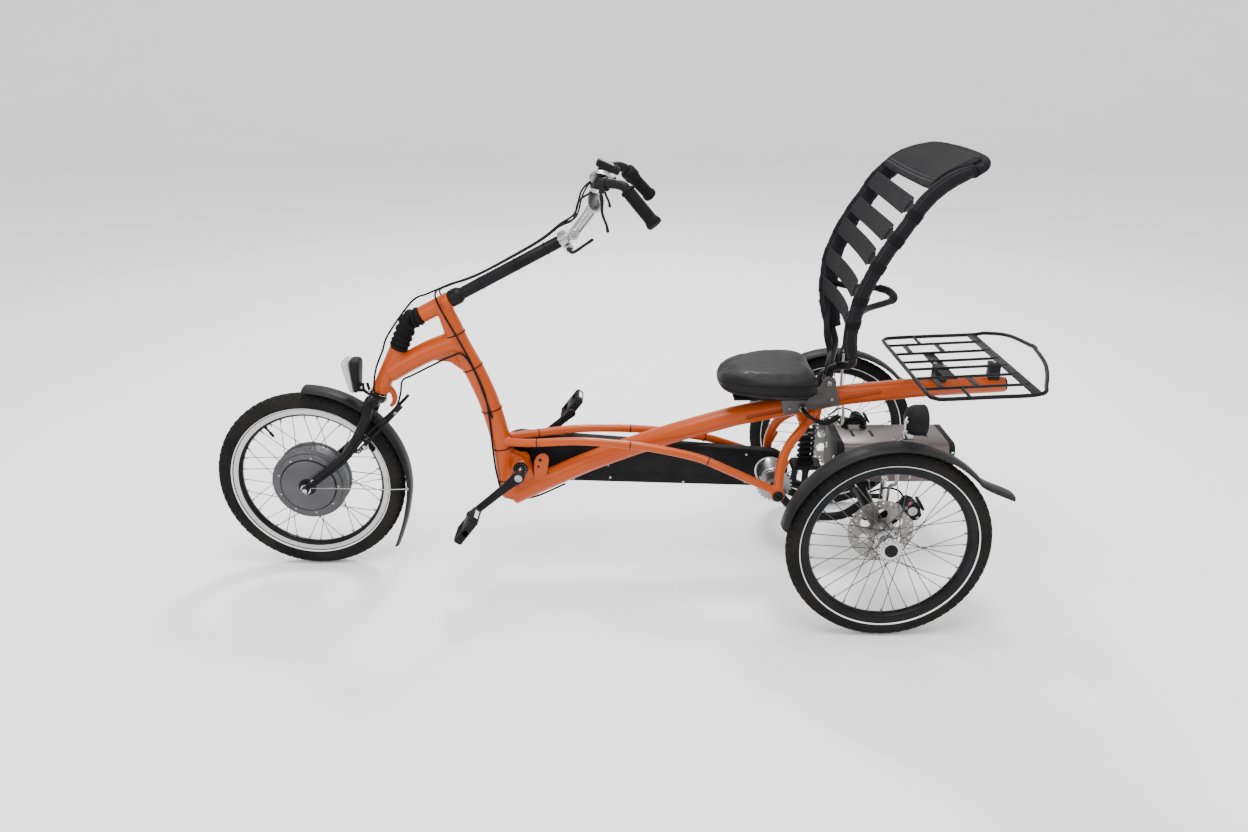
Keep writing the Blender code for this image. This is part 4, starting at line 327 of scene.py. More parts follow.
class Finishes:
    """The finishes of the tricycle."""
    PAINT = Finish("frame_paint", (0.36, 0.046, 0.0002), Surface.PAINT, (0.44, 0.066, 0.0008), 0.3, 0.06,
                   coat=0.12, bump=0.035, scale=320, wear=0.2, dust=0.05, specular=0.22)
    BLACK = Finish("black_powder_coat", (0.006, 0.006, 0.0066), Surface.GRAIN, (0.024, 0.024, 0.026), 0.36, 0.12,
                   metallic=0.1, coat=0.03, bump=0.1, scale=700, specular=0.06)
    PLASTIC = Finish("moulded_plastic", (0.0066, 0.0066, 0.0072), Surface.GRAIN, (0.028, 0.028, 0.028), 0.48, 0.12,
                     bump=0.22, scale=1100, specular=0.04)
    GUARD = Finish("mudguard_plastic", (0.0077, 0.0077, 0.0083), Surface.GRAIN, (0.024, 0.024, 0.026), 0.42, 0.1,
                   bump=0.12, scale=900, dust=0.25, specular=0.06)
    RUBBER = Finish("tyre_rubber", (0.0072, 0.0072, 0.0074), Surface.GRAIN, (0.03, 0.028, 0.026), 0.72, 0.12,
                    bump=0.3, scale=800, dust=0.2, specular=0.04)
    SOFT = Finish("soft_rubber", (0.0055, 0.0055, 0.0055), Surface.GRAIN, (0.02, 0.02, 0.02), 0.62, 0.1,
                  bump=0.25, scale=650, specular=0.04)
    GRIP = Finish("grip_rubber", (0.0055, 0.0055, 0.0055), Surface.RIBS, (0.02, 0.02, 0.02), 0.66, 0.08,
                  bump=0.5, scale=0.0032, specular=0.04)
    SILVER = Finish("bright_alloy", (0.36, 0.36, 0.366), Surface.BRUSHED, (0.52, 0.52, 0.52), 0.26, 0.14,
                    metallic=1.0, bump=0.05, stretch=(60.0, 500.0, 60.0))
    TURNED = Finish("turned_alloy", (0.44, 0.44, 0.448), Surface.BRUSHED, (0.6375, 0.6375, 0.6375), 0.28, 0.12,
                    metallic=1.0, bump=0.05, stretch=(30.0, 900.0, 30.0))
    MOTOR = Finish("cast_motor_grey", (0.062, 0.062, 0.064), Surface.GRAIN, (0.13, 0.13, 0.134), 0.42, 0.14,
                   metallic=0.75, bump=0.14, scale=500)
    STEEL = Finish("steel", (0.28, 0.28, 0.287), Surface.BRUSHED, (0.434, 0.434, 0.434), 0.3, 0.14,
                   metallic=1.0, bump=0.04, stretch=(200.0, 200.0, 200.0))
    SPOKE = Finish("dark_spoke_steel", (0.048, 0.048, 0.0495), Surface.BRUSHED, (0.108, 0.108, 0.108), 0.34, 0.1,
                   metallic=1.0, bump=0.03, stretch=(150.0, 150.0, 150.0))
    ROTOR = Finish("rotor_steel", (0.189, 0.1845, 0.18), Surface.BRUSHED, (0.31, 0.3, 0.29), 0.32, 0.16,
                   metallic=1.0, bump=0.06, stretch=(90.0, 90.0, 90.0))
    BRACKET = Finish("grey_bracket", (0.05, 0.045, 0.045), Surface.GRAIN, (0.11, 0.106, 0.106), 0.4, 0.1,
                     metallic=0.6, bump=0.08, scale=600, wear=0.5)
    VINYL = Finish("seat_vinyl", (0.0088, 0.0085, 0.0094), Surface.LEATHER, (0.024, 0.024, 0.024), 0.46, 0.12,
                   coat=0.02, bump=0.16, scale=900, specular=0.06)
    PIPING = Finish("seat_piping", (0.0055, 0.0055, 0.0055), Surface.GRAIN, (0.016, 0.016, 0.016), 0.52, 0.08,
        scale=900, specular=0.04)
    SLEEVE = Finish("sleeve_cloth", (0.011, 0.0099, 0.0121), Surface.WEAVE, (0.018, 0.0168, 0.0192), 0.86, 0.08,
                    sheen=0.03, bump=0.45, scale=0.002, specular=0.04)
    WEBBING = Finish("strap_webbing", (0.0066, 0.0063, 0.0072), Surface.WEAVE, (0.0128, 0.012, 0.0136), 0.84, 0.08,
                     sheen=0.02, bump=0.6, scale=0.0028, specular=0.04)
    HEAD_CLOTH = Finish("headrest_cloth", (0.0055, 0.0055, 0.0063), Surface.WEAVE, (0.0096, 0.0092, 0.0108), 0.82,
        0.08, sheen=0.02, bump=0.4, scale=0.0018, specular=0.04)
    THREAD = Finish("stitch_thread", (0.035, 0.034, 0.036), Surface.GRAIN, (0.07, 0.07, 0.07), 0.7, scale=1500)
    CASE = Finish("battery_alloy", (0.105, 0.088, 0.086), Surface.BRUSHED, (0.18, 0.16, 0.155), 0.38, 0.12,
                  metallic=0.7, bump=0.1, stretch=(5.0, 700.0, 700.0))
    LENS = Finish("lamp_front", (0.34, 0.35, 0.37), Surface.RIBS, (0.62, 0.63, 0.65), 0.16, 0.05,
                  metallic=0.35, coat=0.8, bump=0.25, scale=0.006)
    RED = Finish("red_lens", (0.42, 0.01, 0.01), Surface.RIBS, (0.6, 0.05, 0.04), 0.16, 0.05, coat=0.8,
                 bump=0.3, scale=0.004)
    TAPE = Finish("reflective_line", (0.72, 0.73, 0.74), Surface.GRAIN, (0.9, 0.9, 0.9), 0.34, 0.08,
                  bump=0.08, scale=1600, dust=0.05)
    LED = Finish("charge_light", (0.05, 0.55, 0.1), Surface.GLOW, roughness=0.2)
    SCREEN = Finish("screen", (0.03, 0.034, 0.036), Surface.GLASS, (0.06, 0.07, 0.07), 0.08, 0.04, coat=0.9,
                    bump=0.01)
    CABLE = Finish("cable_jacket", (0.0055, 0.0055, 0.006), Surface.GRAIN, (0.016, 0.016, 0.016), 0.4, 0.08,
                   coat=0.03, bump=0.06, scale=900, specular=0.04)


class Workshop:
    """Builds each finish's material once and keeps the shared shader groups."""

    def __init__(self) -> None:
        """Builds the shader groups."""
        # the wear group gives edge wear and painted corner shade
        self.groups = {"mottle": mottle_group(), "dust": dust_group(), "wear": wear_and_shade_group(), "weave": weave_group(),
                       "brushed": brushed_group(), "leather": leather_group()}
        self.made: dict[str, bpy.types.Material] = {}

    def use(self, nodes: Nodes, name: str, inputs: dict) -> bpy.types.Node:
        """Places one shared group in a material."""
        node = nodes.add("ShaderNodeGroup", node_tree=self.groups[name])
        for key, value in inputs.items():
            if isinstance(value, bpy.types.NodeSocket):
                nodes.tree.links.new(value, node.inputs[key])
            else:
                node.inputs[key].default_value = (*value, 1.0) if node.inputs[key].type == "RGBA" else value
        return node

    def pattern(self, nodes: Nodes, finish: Finish, place: bpy.types.Node) -> tuple:
        """Height and mask sockets of a finish's own pattern.

        Args:
            nodes: the material's nodes.
            finish: the finish.
            place: the texture coordinate node.

        Returns:
            Height socket, mask socket.
        """
        where, own = place.outputs["Object"], place.outputs["UV"]
        if finish.surface is Surface.WEAVE:
            node = self.use(nodes, "weave", {"Vector": own, "Thread": finish.scale})
        elif finish.surface is Surface.BRUSHED:
            node = self.use(nodes, "brushed", {"Vector": where, "Stretch": finish.stretch})
        elif finish.surface is Surface.LEATHER:
            node = self.use(nodes, "leather", {"Vector": where, "Scale": finish.scale})
        elif finish.surface is Surface.RIBS:
            split = nodes.add("ShaderNodeSeparateXYZ", {0: own})
            turn = nodes.math("MULTIPLY", split.outputs[0], 2 * math.pi / finish.scale)
            wave = nodes.ramp(nodes.math("SINE", turn), -0.6, 0.6)
            return wave, wave
        else:
            node = self.use(nodes, "mottle", {"Vector": where, "Grain Scale": finish.scale})
            return node.outputs["Grain"], node.outputs["Cloud"]
        return node.outputs["Height"], node.outputs["Mask"]

    def material(self, finish: Finish) -> bpy.types.Material:
        """Material of a finish, built the first time it is asked for."""
        if finish.name in self.made:
            return self.made[finish.name]
        item = bpy.data.materials.new(finish.name)
        item.use_nodes = True
        item.diffuse_color = (*finish.colour, 1.0)
        nodes = Nodes(item.node_tree)
        shader = item.node_tree.nodes["Principled BSDF"]
        place = nodes.add("ShaderNodeTexCoord")
        cloud = self.use(nodes, "mottle", {"Vector": place.outputs["Object"], "Grain Scale": 60.0})
        height, mask = self.pattern(nodes, finish, place)
        blend = nodes.math("MULTIPLY", nodes.math("ADD", mask, cloud.outputs["Cloud"]), 0.18)
        colour = nodes.mix(blend, finish.colour, finish.other)
        # edge wear, with the painted corner shade of the same group
        worn_and_shaded = self.use(nodes, "wear", {"Color": colour, "Worn Color": finish.other, "Amount": finish.wear})
        dusty = self.use(nodes, "dust", {"Color": worn_and_shaded.outputs["Color"], "Dust Color": (0.32, 0.3, 0.28),
                                         "Amount": finish.dust * 0.1, "Noise": cloud.outputs["Cloud"]})
        rough = nodes.math("ADD", nodes.math("MULTIPLY", cloud.outputs["Grain"], finish.spread),
                           finish.roughness - finish.spread / 2)
        rough = nodes.math("ADD", rough, nodes.math("MULTIPLY", dusty.outputs["Mask"], 0.4))
        bump = nodes.add("ShaderNodeBump", {"Strength": finish.bump, "Distance": 0.0006, "Height": height})
        links = item.node_tree.links
        links.new(dusty.outputs["Color"], shader.inputs["Base Color"])
        links.new(rough, shader.inputs["Roughness"])
        links.new(bump.outputs[0], shader.inputs["Normal"])
        for label, value in (("Metallic", finish.metallic), ("Coat Weight", finish.coat),
                             ("Coat Roughness", 0.12), ("Sheen Weight", finish.sheen),
                             ("Specular IOR Level", finish.specular)):
            shader.inputs[label].default_value = value
        if finish.surface is Surface.GLOW:
            links.new(dusty.outputs["Color"], shader.inputs["Emission Color"])
            shader.inputs["Emission Strength"].default_value = 2.0
        self.made[finish.name] = item
        return item


WORKSHOP = Workshop()


# ---------------------------------------------------------------- geometry trees
class Item(Enum):
    """Small shape that a pattern repeats."""
    BLOCK = 0
    HEX = 6
    ROUND = 12


def item_geometry(nodes: Nodes, item: Item) -> bpy.types.NodeSocket:
    """Geometry socket of a unit item, one metre along each axis."""
    if item is Item.BLOCK:
        return nodes.add("GeometryNodeMeshCube", {"Size": (1.0, 1.0, 1.0)}).outputs[0]
    return nodes.add("GeometryNodeMeshCylinder", {"Vertices": item.value, "Radius": 0.5, "Depth": 1.0}).outputs[0]


def finish_tree(nodes: Nodes, end: bpy.types.Node, points: object, item: Item, rotation: object, scale: object,
                material: object) -> bpy.types.NodeTree:
    """Puts the item on each point, makes it real and gives it its material."""
    placed = nodes.add("GeometryNodeInstanceOnPoints", {"Points": points, "Instance": item_geometry(nodes, item),
                                                        "Rotation": rotation, "Scale": scale})
    real = nodes.add("GeometryNodeRealizeInstances", {0: placed.outputs[0]})
    dressed = nodes.add("GeometryNodeSetMaterial", {"Geometry": real.outputs[0], "Material": material})
    nodes.tree.links.new(dressed.outputs[0], end.inputs[0])
    return nodes.tree


GEOMETRY = "NodeSocketGeometry"


def ring_tree(item: Item) -> bpy.types.NodeTree:
    """Items in a ring about the Y axis, such as tread blocks, bolts or holes."""
    nodes, given, end = new_tree("ring_of_" + item.name.lower(), "GeometryNodeTree",
                                 (("Geometry", GEOMETRY, None), ("Count", "NodeSocketInt", 12), ("Radius", FLOAT, 0.1),
                                  ("Shift", FLOAT, 0.0), ("Start", FLOAT, 0.0), ("Tilt", FLOAT, 0.0),
                                  ("Size", VECTOR, (0.01, 0.01, 0.01)), ("Finish", "NodeSocketMaterial", None)),
                                 (("Geometry", GEOMETRY),))
    points = nodes.add("GeometryNodePoints", {"Count": given["Count"]})
    index = nodes.add("GeometryNodeInputIndex").outputs[0]
    step = nodes.math("DIVIDE", 2 * math.pi, given["Count"])
    angle = nodes.math("ADD", nodes.math("MULTIPLY", index, step), given["Start"])
    spot = nodes.vector(nodes.math("MULTIPLY", nodes.math("SINE", angle), given["Radius"]), given["Shift"],
                        nodes.math("MULTIPLY", nodes.math("COSINE", angle), given["Radius"]))
    moved = nodes.add("GeometryNodeSetPosition", {"Geometry": points.outputs[0], "Position": spot})
    turn = nodes.add("FunctionNodeEulerToRotation", {0: nodes.vector(given["Tilt"], angle, 0.0)})
    return finish_tree(nodes, end, moved.outputs[0], item, turn.outputs[0], given["Size"], given["Finish"])


def lacing_tree() -> bpy.types.NodeTree:
    """Crossed spokes between two hub flanges and a rim, about the Y axis."""
    nodes, given, end = new_tree("lacing", "GeometryNodeTree",
                                 (("Geometry", GEOMETRY, None), ("Count", "NodeSocketInt", 36),
                                  ("Hub Radius", FLOAT, 0.03), ("Hub Half Width", FLOAT, 0.025),
                                  ("Rim Radius", FLOAT, 0.19), ("Lead", FLOAT, 1.0), ("Thickness", FLOAT, 0.002),
                                  ("Finish", "NodeSocketMaterial", None)), (("Geometry", GEOMETRY),))
    points = nodes.add("GeometryNodePoints", {"Count": given["Count"]})
    index = nodes.add("GeometryNodeInputIndex").outputs[0]
    side = nodes.math("SUBTRACT", nodes.math("MULTIPLY", nodes.math("MODULO", index, 2.0), 2.0), 1.0)
    pair = nodes.math("MODULO", nodes.math("FLOOR", nodes.math("DIVIDE", index, 2.0)), 2.0)
    lean = nodes.math("SUBTRACT", nodes.math("MULTIPLY", pair, 2.0), 1.0)
    rim_angle = nodes.math("MULTIPLY", index, nodes.math("DIVIDE", 2 * math.pi, given["Count"]))
    hub_angle = nodes.math("SUBTRACT", rim_angle, nodes.math("MULTIPLY", lean, given["Lead"]))
    ends = []
    for radius, angle, y in ((given["Hub Radius"], hub_angle,
                              nodes.math("MULTIPLY", side, nodes.math("MULTIPLY_ADD", lean, 0.0016,
                                                                      given["Hub Half Width"]))),
                             (given["Rim Radius"], rim_angle, nodes.math("MULTIPLY", side, 0.0035))):
        ends.append(nodes.vector(nodes.math("MULTIPLY", nodes.math("SINE", angle), radius), y,
                                 nodes.math("MULTIPLY", nodes.math("COSINE", angle), radius)))
    along = nodes.add("ShaderNodeVectorMath", {0: ends[1], 1: ends[0]}, operation="SUBTRACT").outputs[0]
    length = nodes.add("ShaderNodeVectorMath", {0: along}, operation="LENGTH").outputs["Value"]
    middle = nodes.add("ShaderNodeMix", {0: 0.5, 4: ends[0], 5: ends[1]}, data_type="VECTOR").outputs[1]
    moved = nodes.add("GeometryNodeSetPosition", {"Geometry": points.outputs[0], "Position": middle})
    turn = nodes.add("FunctionNodeAlignRotationToVector", {"Vector": along}, axis="Z")
    scale = nodes.vector(given["Thickness"], given["Thickness"], length)
    return finish_tree(nodes, end, moved.outputs[0], Item.HEX, turn.outputs[0], scale, given["Finish"])


def trail_tree(item: Item) -> bpy.types.NodeTree:
    """Items along a path given as a chain of edges, such as stitches or chain links."""
    nodes, given, end = new_tree("trail_of_" + item.name.lower(), "GeometryNodeTree",
                                 (("Geometry", GEOMETRY, None), ("Count", "NodeSocketInt", 12),
                                  ("Size", VECTOR, (0.01, 0.01, 0.01)), ("Finish", "NodeSocketMaterial", None)),
                                 (("Geometry", GEOMETRY),))
    curve = nodes.add("GeometryNodeMeshToCurve", {0: given["Geometry"]})
    even = nodes.add("GeometryNodeResampleCurve", {"Curve": curve.outputs[0], "Count": given["Count"]})
    tangent = nodes.add("GeometryNodeInputTangent").outputs[0]
    turn = nodes.add("FunctionNodeAlignRotationToVector", {"Vector": tangent}, axis="X")
    return finish_tree(nodes, end, even.outputs[0], item, turn.outputs[0], given["Size"], given["Finish"])


class Patterns:
    """Geometry trees of the repeated pieces, built once, and the meshes they give."""

    def __init__(self) -> None:
        """Starts with no tree."""
        self.trees: dict[str, bpy.types.NodeTree] = {}

    def tree(self, name: str, item: Item) -> bpy.types.NodeTree:
        """Tree of that name, built the first time."""
        key = name + item.name
        if key not in self.trees:
            makers = {"ring": ring_tree, "trail": trail_tree}
            self.trees[key] = lacing_tree() if name == "lacing" else makers[name](item)
        return self.trees[key]

    def grow(self, name: str, item: Item, finish: Finish, values: dict, path: tuple = ()) -> bpy.types.Mesh:
        """Mesh that a tree makes.

        Args:
            name: ring, lacing or trail.
            item: the repeated shape.
            finish: its finish.
            values: the tree's inputs by name.
            path: points that a trail follows.

        Returns:
            A plain mesh.
        """
        tree = self.tree(name, item)
        base = bpy.data.meshes.new("pattern")
        base.from_pydata([tuple(point) for point in path], [(i, i + 1) for i in range(len(path) - 1)], [])
        holder = bpy.data.objects.new("pattern", base)
        bpy.context.scene.collection.objects.link(holder)
        modifier = holder.modifiers.new("pattern", "NODES")
        modifier.node_group = tree
        values = {**values, "Finish": WORKSHOP.material(finish)}
        for socket in tree.interface.items_tree:
            if socket.item_type == "SOCKET" and socket.in_out == "INPUT" and socket.name in values:
                modifier[socket.identifier] = values[socket.name]
        mesh = evaluated(holder)
        bpy.data.objects.remove(holder)
        return mesh


PATTERNS = Patterns()


# ---------------------------------------------------------------- mesh helpers
def evaluated(item: bpy.types.Object) -> bpy.types.Mesh:
    """Plain mesh of an object with its modifiers applied."""
    return bpy.data.meshes.new_from_object(item.evaluated_get(bpy.context.evaluated_depsgraph_get()))


def smooth(points: list[Vector], steps: int = 6) -> list[Vector]:
    """Points along a smooth curve through the given ones."""
    ends = [points[0] * 2 - points[1]] + list(points) + [points[-1] * 2 - points[-2]]
    path = []
    for index in range(len(points) - 1):
        a, b, c, d = ends[index:index + 4]
        for step in range(steps):
            t = step / steps
            path.append(0.5 * (2 * b + (c - a) * t + (2 * a - 5 * b + 4 * c - d) * t * t
                               + (3 * b - 3 * c + d - a) * t ** 3))
    return path + [points[-1].copy()]


def frames(path: list[Vector]) -> list[tuple[Vector, Vector, Vector]]:
    """Point, normal and binormal at each point of a path, without twist."""
    result, normal = [], None
    for index, point in enumerate(path):
        tangent = (path[min(index + 1, len(path) - 1)] - path[max(index - 1, 0)]).normalized()
        if normal is None:
            normal = ACROSS.cross(tangent)
            if normal.length < 0.1:
                normal = Vector((0, 0, 1)).cross(tangent)
        normal = (normal - tangent * normal.dot(tangent)).normalized()
        result.append((point, normal, tangent.cross(normal)))
    return result


def at_each(value: float | tuple | list, count: int) -> list[float]:
    """A value for each of count points, read evenly from one number or a list."""
    if isinstance(value, (int, float)):
        return [value] * count
    result = []
    for index in range(count):
        place = index * (len(value) - 1) / max(count - 1, 1)
        low = min(int(place), len(value) - 2)
        result.append(value[low] + (value[low + 1] - value[low]) * (place - low))
    return result


def arc(centre: Vector, radius: float, start: float, end: float, steps: int) -> list[tuple[float, float]]:
    """Points (x, z) on an arc, angles in degrees from +X towards +Z."""
    turns = [math.radians(start + (end - start) * step / steps) for step in range(steps + 1)]
    return [(centre.x + radius * math.cos(turn), centre.z + radius * math.sin(turn)) for turn in turns]


class Shape:
    """One piece in the making: solids with their finishes, gathered into one mesh."""

    def __init__(self, name: str) -> None:
        """Starts an empty piece of that name."""
        self.name = name
        self.build = bmesh.new()
        self.build.loops.layers.uv.new("UVMap")
        self.finishes: list[Finish] = []

    def slot(self, finish: Finish) -> int:
        """Number of a finish in this piece."""
        if finish not in self.finishes:
            self.finishes.append(finish)
        return self.finishes.index(finish)

    def graft(self, mesh: bpy.types.Mesh, finish: Finish, place: Matrix | None = None) -> "Shape":
        """Adds a ready mesh, moved by a matrix."""
        if place is not None:
            mesh.transform(place)
        number = self.slot(finish)
        mesh.materials.clear()
        count = len(self.build.faces)
        self.build.from_mesh(mesh)
        self.build.faces.ensure_lookup_table()
        for face in self.build.faces[count:]:
            face.material_index = number
            face.smooth = True
        bpy.data.meshes.remove(mesh)
        return self

    def loft(self, rings: list[list[Vector]], finish: Finish, closed: bool = False, bevel: float = 0.0) -> "Shape":
        """Closed solid through equal rings of points, with a UV map in metres.

        Args:
            rings: equal rings of points.
            finish: its finish.
            closed: joins the last ring to the first.
            bevel: width of rounding on its sharp edges.

        Returns:
            This piece.
        """
        part = bmesh.new()
        layer = part.loops.layers.uv.new("UVMap")
        rows = [[part.verts.new(point) for point in ring] for ring in rings]
        count, spans = len(rings[0]), len(rows) if closed else len(rows) - 1
        along, middle = [0.0], [sum(ring, Vector()) / count for ring in rings]
        for index in range(spans):
            further = rings[(index + 1) % len(rings)][0] - rings[index][0]
            along.append(along[-1] + max((middle[(index + 1) % len(rings)] - middle[index]).length,
                                         further.length * (1.0 if closed else 0.0)))
        widest = max(rings, key=lambda ring: (ring[0] - ring[count // 2]).length)
        girth = [0.0]
        for corner in range(count):
            girth.append(girth[-1] + (widest[(corner + 1) % count] - widest[corner]).length)
        for index in range(spans):
            here, following = rows[index], rows[(index + 1) % len(rows)]
            for corner in range(count):
                beside = (corner + 1) % count
                face = part.faces.new((here[corner], here[beside], following[beside], following[corner]))
                spots = ((along[index], girth[corner]), (along[index], girth[corner + 1]),
                         (along[index + 1], girth[corner + 1]), (along[index + 1], girth[corner]))
                for loop, spot in zip(face.loops, spots):
                    loop[layer].uv = spot
        if not closed:
            part.faces.new(rows[0])
            part.faces.new(rows[-1])
        bmesh.ops.remove_doubles(part, verts=part.verts, dist=1e-6)
        bmesh.ops.recalc_face_normals(part, faces=part.faces)
        if bevel:
            sharp = [edge for edge in part.edges if len(edge.link_faces) == 2 and edge.calc_face_angle(0) > 0.55]
            bmesh.ops.bevel(part, geom=sharp, offset=bevel, offset_type="OFFSET", segments=2, profile=0.5,
                            affect="EDGES", clamp_overlap=True)
        mesh = bpy.data.meshes.new("part")
        part.to_mesh(mesh)
        part.free()
        return self.graft(mesh, finish)

    def tube(self, path: list[Vector], radius: float | tuple | list, finish: Finish, sides: int = 20,
             flat: float = 1.0, round_end: float = 0.0) -> "Shape":
        """Round bar along a path; radius is one number or a list spread evenly along it."""
        rings = []
        radii = at_each(radius, len(path))
        for (point, normal, other), size in zip(frames(path), radii):
            turns = [2 * math.pi * side / sides for side in range(sides)]
            rings.append([point + normal * math.cos(turn) * size * flat + other * math.sin(turn) * size
                          for turn in turns])
        if round_end:
            for end, inward in ((0, 1), (-1, -2)):
                centre = path[end]
                out = (centre - path[inward]).normalized()
                extra = [[centre + (point - centre) * math.cos(turn) + out * round_end * math.sin(turn)
                          for point in rings[end]] for turn in (0.6, 1.1, 1.45)]
                rings = extra[::-1] + rings if end == 0 else rings + extra
        return self.loft(rings, finish)

    def lathe(self, origin: Vector, axis: Vector, profile: list | tuple, finish: Finish, steps: int = 40) -> "Shape":
        """Profile of (radius, height) pairs turned about an axis."""
        axis = axis.normalized()
        across = axis.cross(Vector((0, 0, 1)) if abs(axis.z) < 0.9 else Vector((1, 0, 0))).normalized()
        other = axis.cross(across)
        rings = []
        for step in range(steps):
            angle = 2 * math.pi * step / steps
            out = across * math.cos(angle) + other * math.sin(angle)
            rings.append([origin + axis * height + out * max(radius, 0.00001) for radius, height in profile])
        return self.loft(rings, finish, closed=True)

    def rod(self, start: Vector, end: Vector, radius: float, finish: Finish, sides: int = 20,
            bevel: float = 0.0006) -> "Shape":
        """Straight round bar with softened ends."""
        length = (end - start).length
        profile = [(0, 0), (radius - bevel, 0), (radius, bevel), (radius, length - bevel),
                   (radius - bevel, length), (0, length)]
        return self.lathe(start, end - start, profile, finish, sides)

    def drum(self, point: Vector, radius: float, low: float, high: float, finish: Finish, sides: int = 32) -> "Shape":
        """Cylinder along Y between two Y values."""
        return self.rod(Vector((point.x, low, point.z)), Vector((point.x, high, point.z)), radius, finish, sides)

    def plate(self, outline: list[tuple[float, float]], low: float, high: float, finish: Finish,
              bevel: float = 0.0008) -> "Shape":
        """Sheet in the XZ plane, given as (x, z) pairs of the row frame, between two Y values."""
        return self.loft([[Vector((x, y, z)) for x, z in outline] for y in (low, high)], finish, bevel=bevel)

    def block(self, centre: Vector, size: tuple, finish: Finish, turn: Matrix | None = None,
              bevel: float = 0.001) -> "Shape":
        """Box with softened edges, its middle at centre."""
        half = Vector(size) / 2
        rings = []
        for x in (-half.x, half.x):
            ring = [Vector((x, y * half.y, z * half.z)) for y, z in ((-1, -1), (1, -1), (1, 1), (-1, 1))]
            rings.append([centre + (turn @ point if turn else point) for point in ring])
        return self.loft(rings, finish, bevel=bevel)

    def bolt(self, point: Vector, axis: Vector, radius: float, height: float, finish: Finish) -> "Shape":
        """Domed socket bolt head with its recess."""
        profile = [(0, height * 0.35), (radius * 0.45, height * 0.35), (radius * 0.5, height * 0.98),
                   (radius * 0.8, height), (radius * 0.96, height * 0.75), (radius, height * 0.3), (radius, 0), (0, 0)]
        return self.lathe(point, axis, profile, finish, 18)

    def band(self, point: Vector, axis: Vector, radius: float, width: float, thick: float,
             finish: Finish) -> "Shape":
        """Tie band or ring round a tube."""
        half = width / 2
        profile = [(radius, -half), (radius + thick, -half * 0.8), (radius + thick, half * 0.8), (radius, half)]
        return self.lathe(point, axis, profile, finish, 32)

    def ring(self, centre: Vector, finish: Finish, item: Item, count: int, radius: float, shift: float,
             size: tuple, tilt: float = 0.0, start: float = 0.0) -> "Shape":
        """Repeated items in a ring about the Y axis through a centre."""
        values = {"Count": count, "Radius": radius, "Shift": shift, "Size": size, "Tilt": tilt, "Start": start}
        return self.graft(PATTERNS.grow("ring", item, finish, values), finish, Matrix.Translation(centre))

    def trail(self, path: list[Vector], finish: Finish, item: Item, spacing: float, size: tuple) -> "Shape":
        """Repeated items along a path."""
        length = sum((b - a).length for a, b in zip(path, path[1:]))
        values = {"Count": max(2, int(length / spacing)), "Size": size}
        return self.graft(PATTERNS.grow("trail", item, finish, values, tuple(path)), finish)

    def mesh(self) -> bpy.types.Mesh:
        """Mesh of the piece so far, with its materials."""
        mesh = bpy.data.meshes.new(self.name)
        self.build.to_mesh(mesh)
        for finish in self.finishes:
            mesh.materials.append(WORKSHOP.material(finish))
        mesh.shade_smooth()
        mesh.set_sharp_from_angle(angle=math.radians(38))
        return mesh

    def item(self) -> bpy.types.Object:
        """Object of the piece, with its place in its mesh."""
        item = bpy.data.objects.new(self.name, self.mesh())
        bpy.context.scene.collection.objects.link(item)
        return item

    def place(self, body: str, replaces: tuple[str, ...] = (), slot: str = "black_metal") -> bpy.types.Object:
        """Finishes the piece and hangs it on its body.

        Args:
            body: the body it rides on.
            replaces: CAD nodes it stands for.
            slot: not used.

        Returns:
            The finished object.
        """
        item = self.item()
        return settle(item, body, replaces)


def settle(item: bpy.types.Object, body: str, replaces: tuple[str, ...]) -> bpy.types.Object:
    """Hangs an object on its body, hides the CAD parts it stands for, and reports it."""
    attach(item, body)
    if replaces:
        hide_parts(*replaces)
    LOG.info("%s on %s, %d faces", item.name, body, len(item.data.polygons))
    return item


def fused(shape: Shape, voxel: float, passes: int) -> bpy.types.Mesh:
    """Solids of a shape melted into one skin, with soft fillets where they meet."""
    holder = shape.item()
    remesh = holder.modifiers.new("skin", "REMESH")
    remesh.mode, remesh.voxel_size = "VOXEL", voxel
    soften = holder.modifiers.new("fillets", "SMOOTH")
    soften.factor, soften.iterations = 0.5, passes
    mesh = evaluated(holder)
    bpy.data.objects.remove(holder)
    return mesh


def cut(mesh: bpy.types.Mesh, cutter: Shape) -> bpy.types.Mesh:
    """Mesh with a shape taken out of it."""
    holder = bpy.data.objects.new("cut", mesh)
    bpy.context.scene.collection.objects.link(holder)
    tool = cutter.item()
    step = holder.modifiers.new("cut", "BOOLEAN")
    step.operation, step.solver, step.object = "DIFFERENCE", "EXACT", tool
    result = evaluated(holder)
    bpy.data.objects.remove(holder)
    bpy.data.objects.remove(tool)
    return result


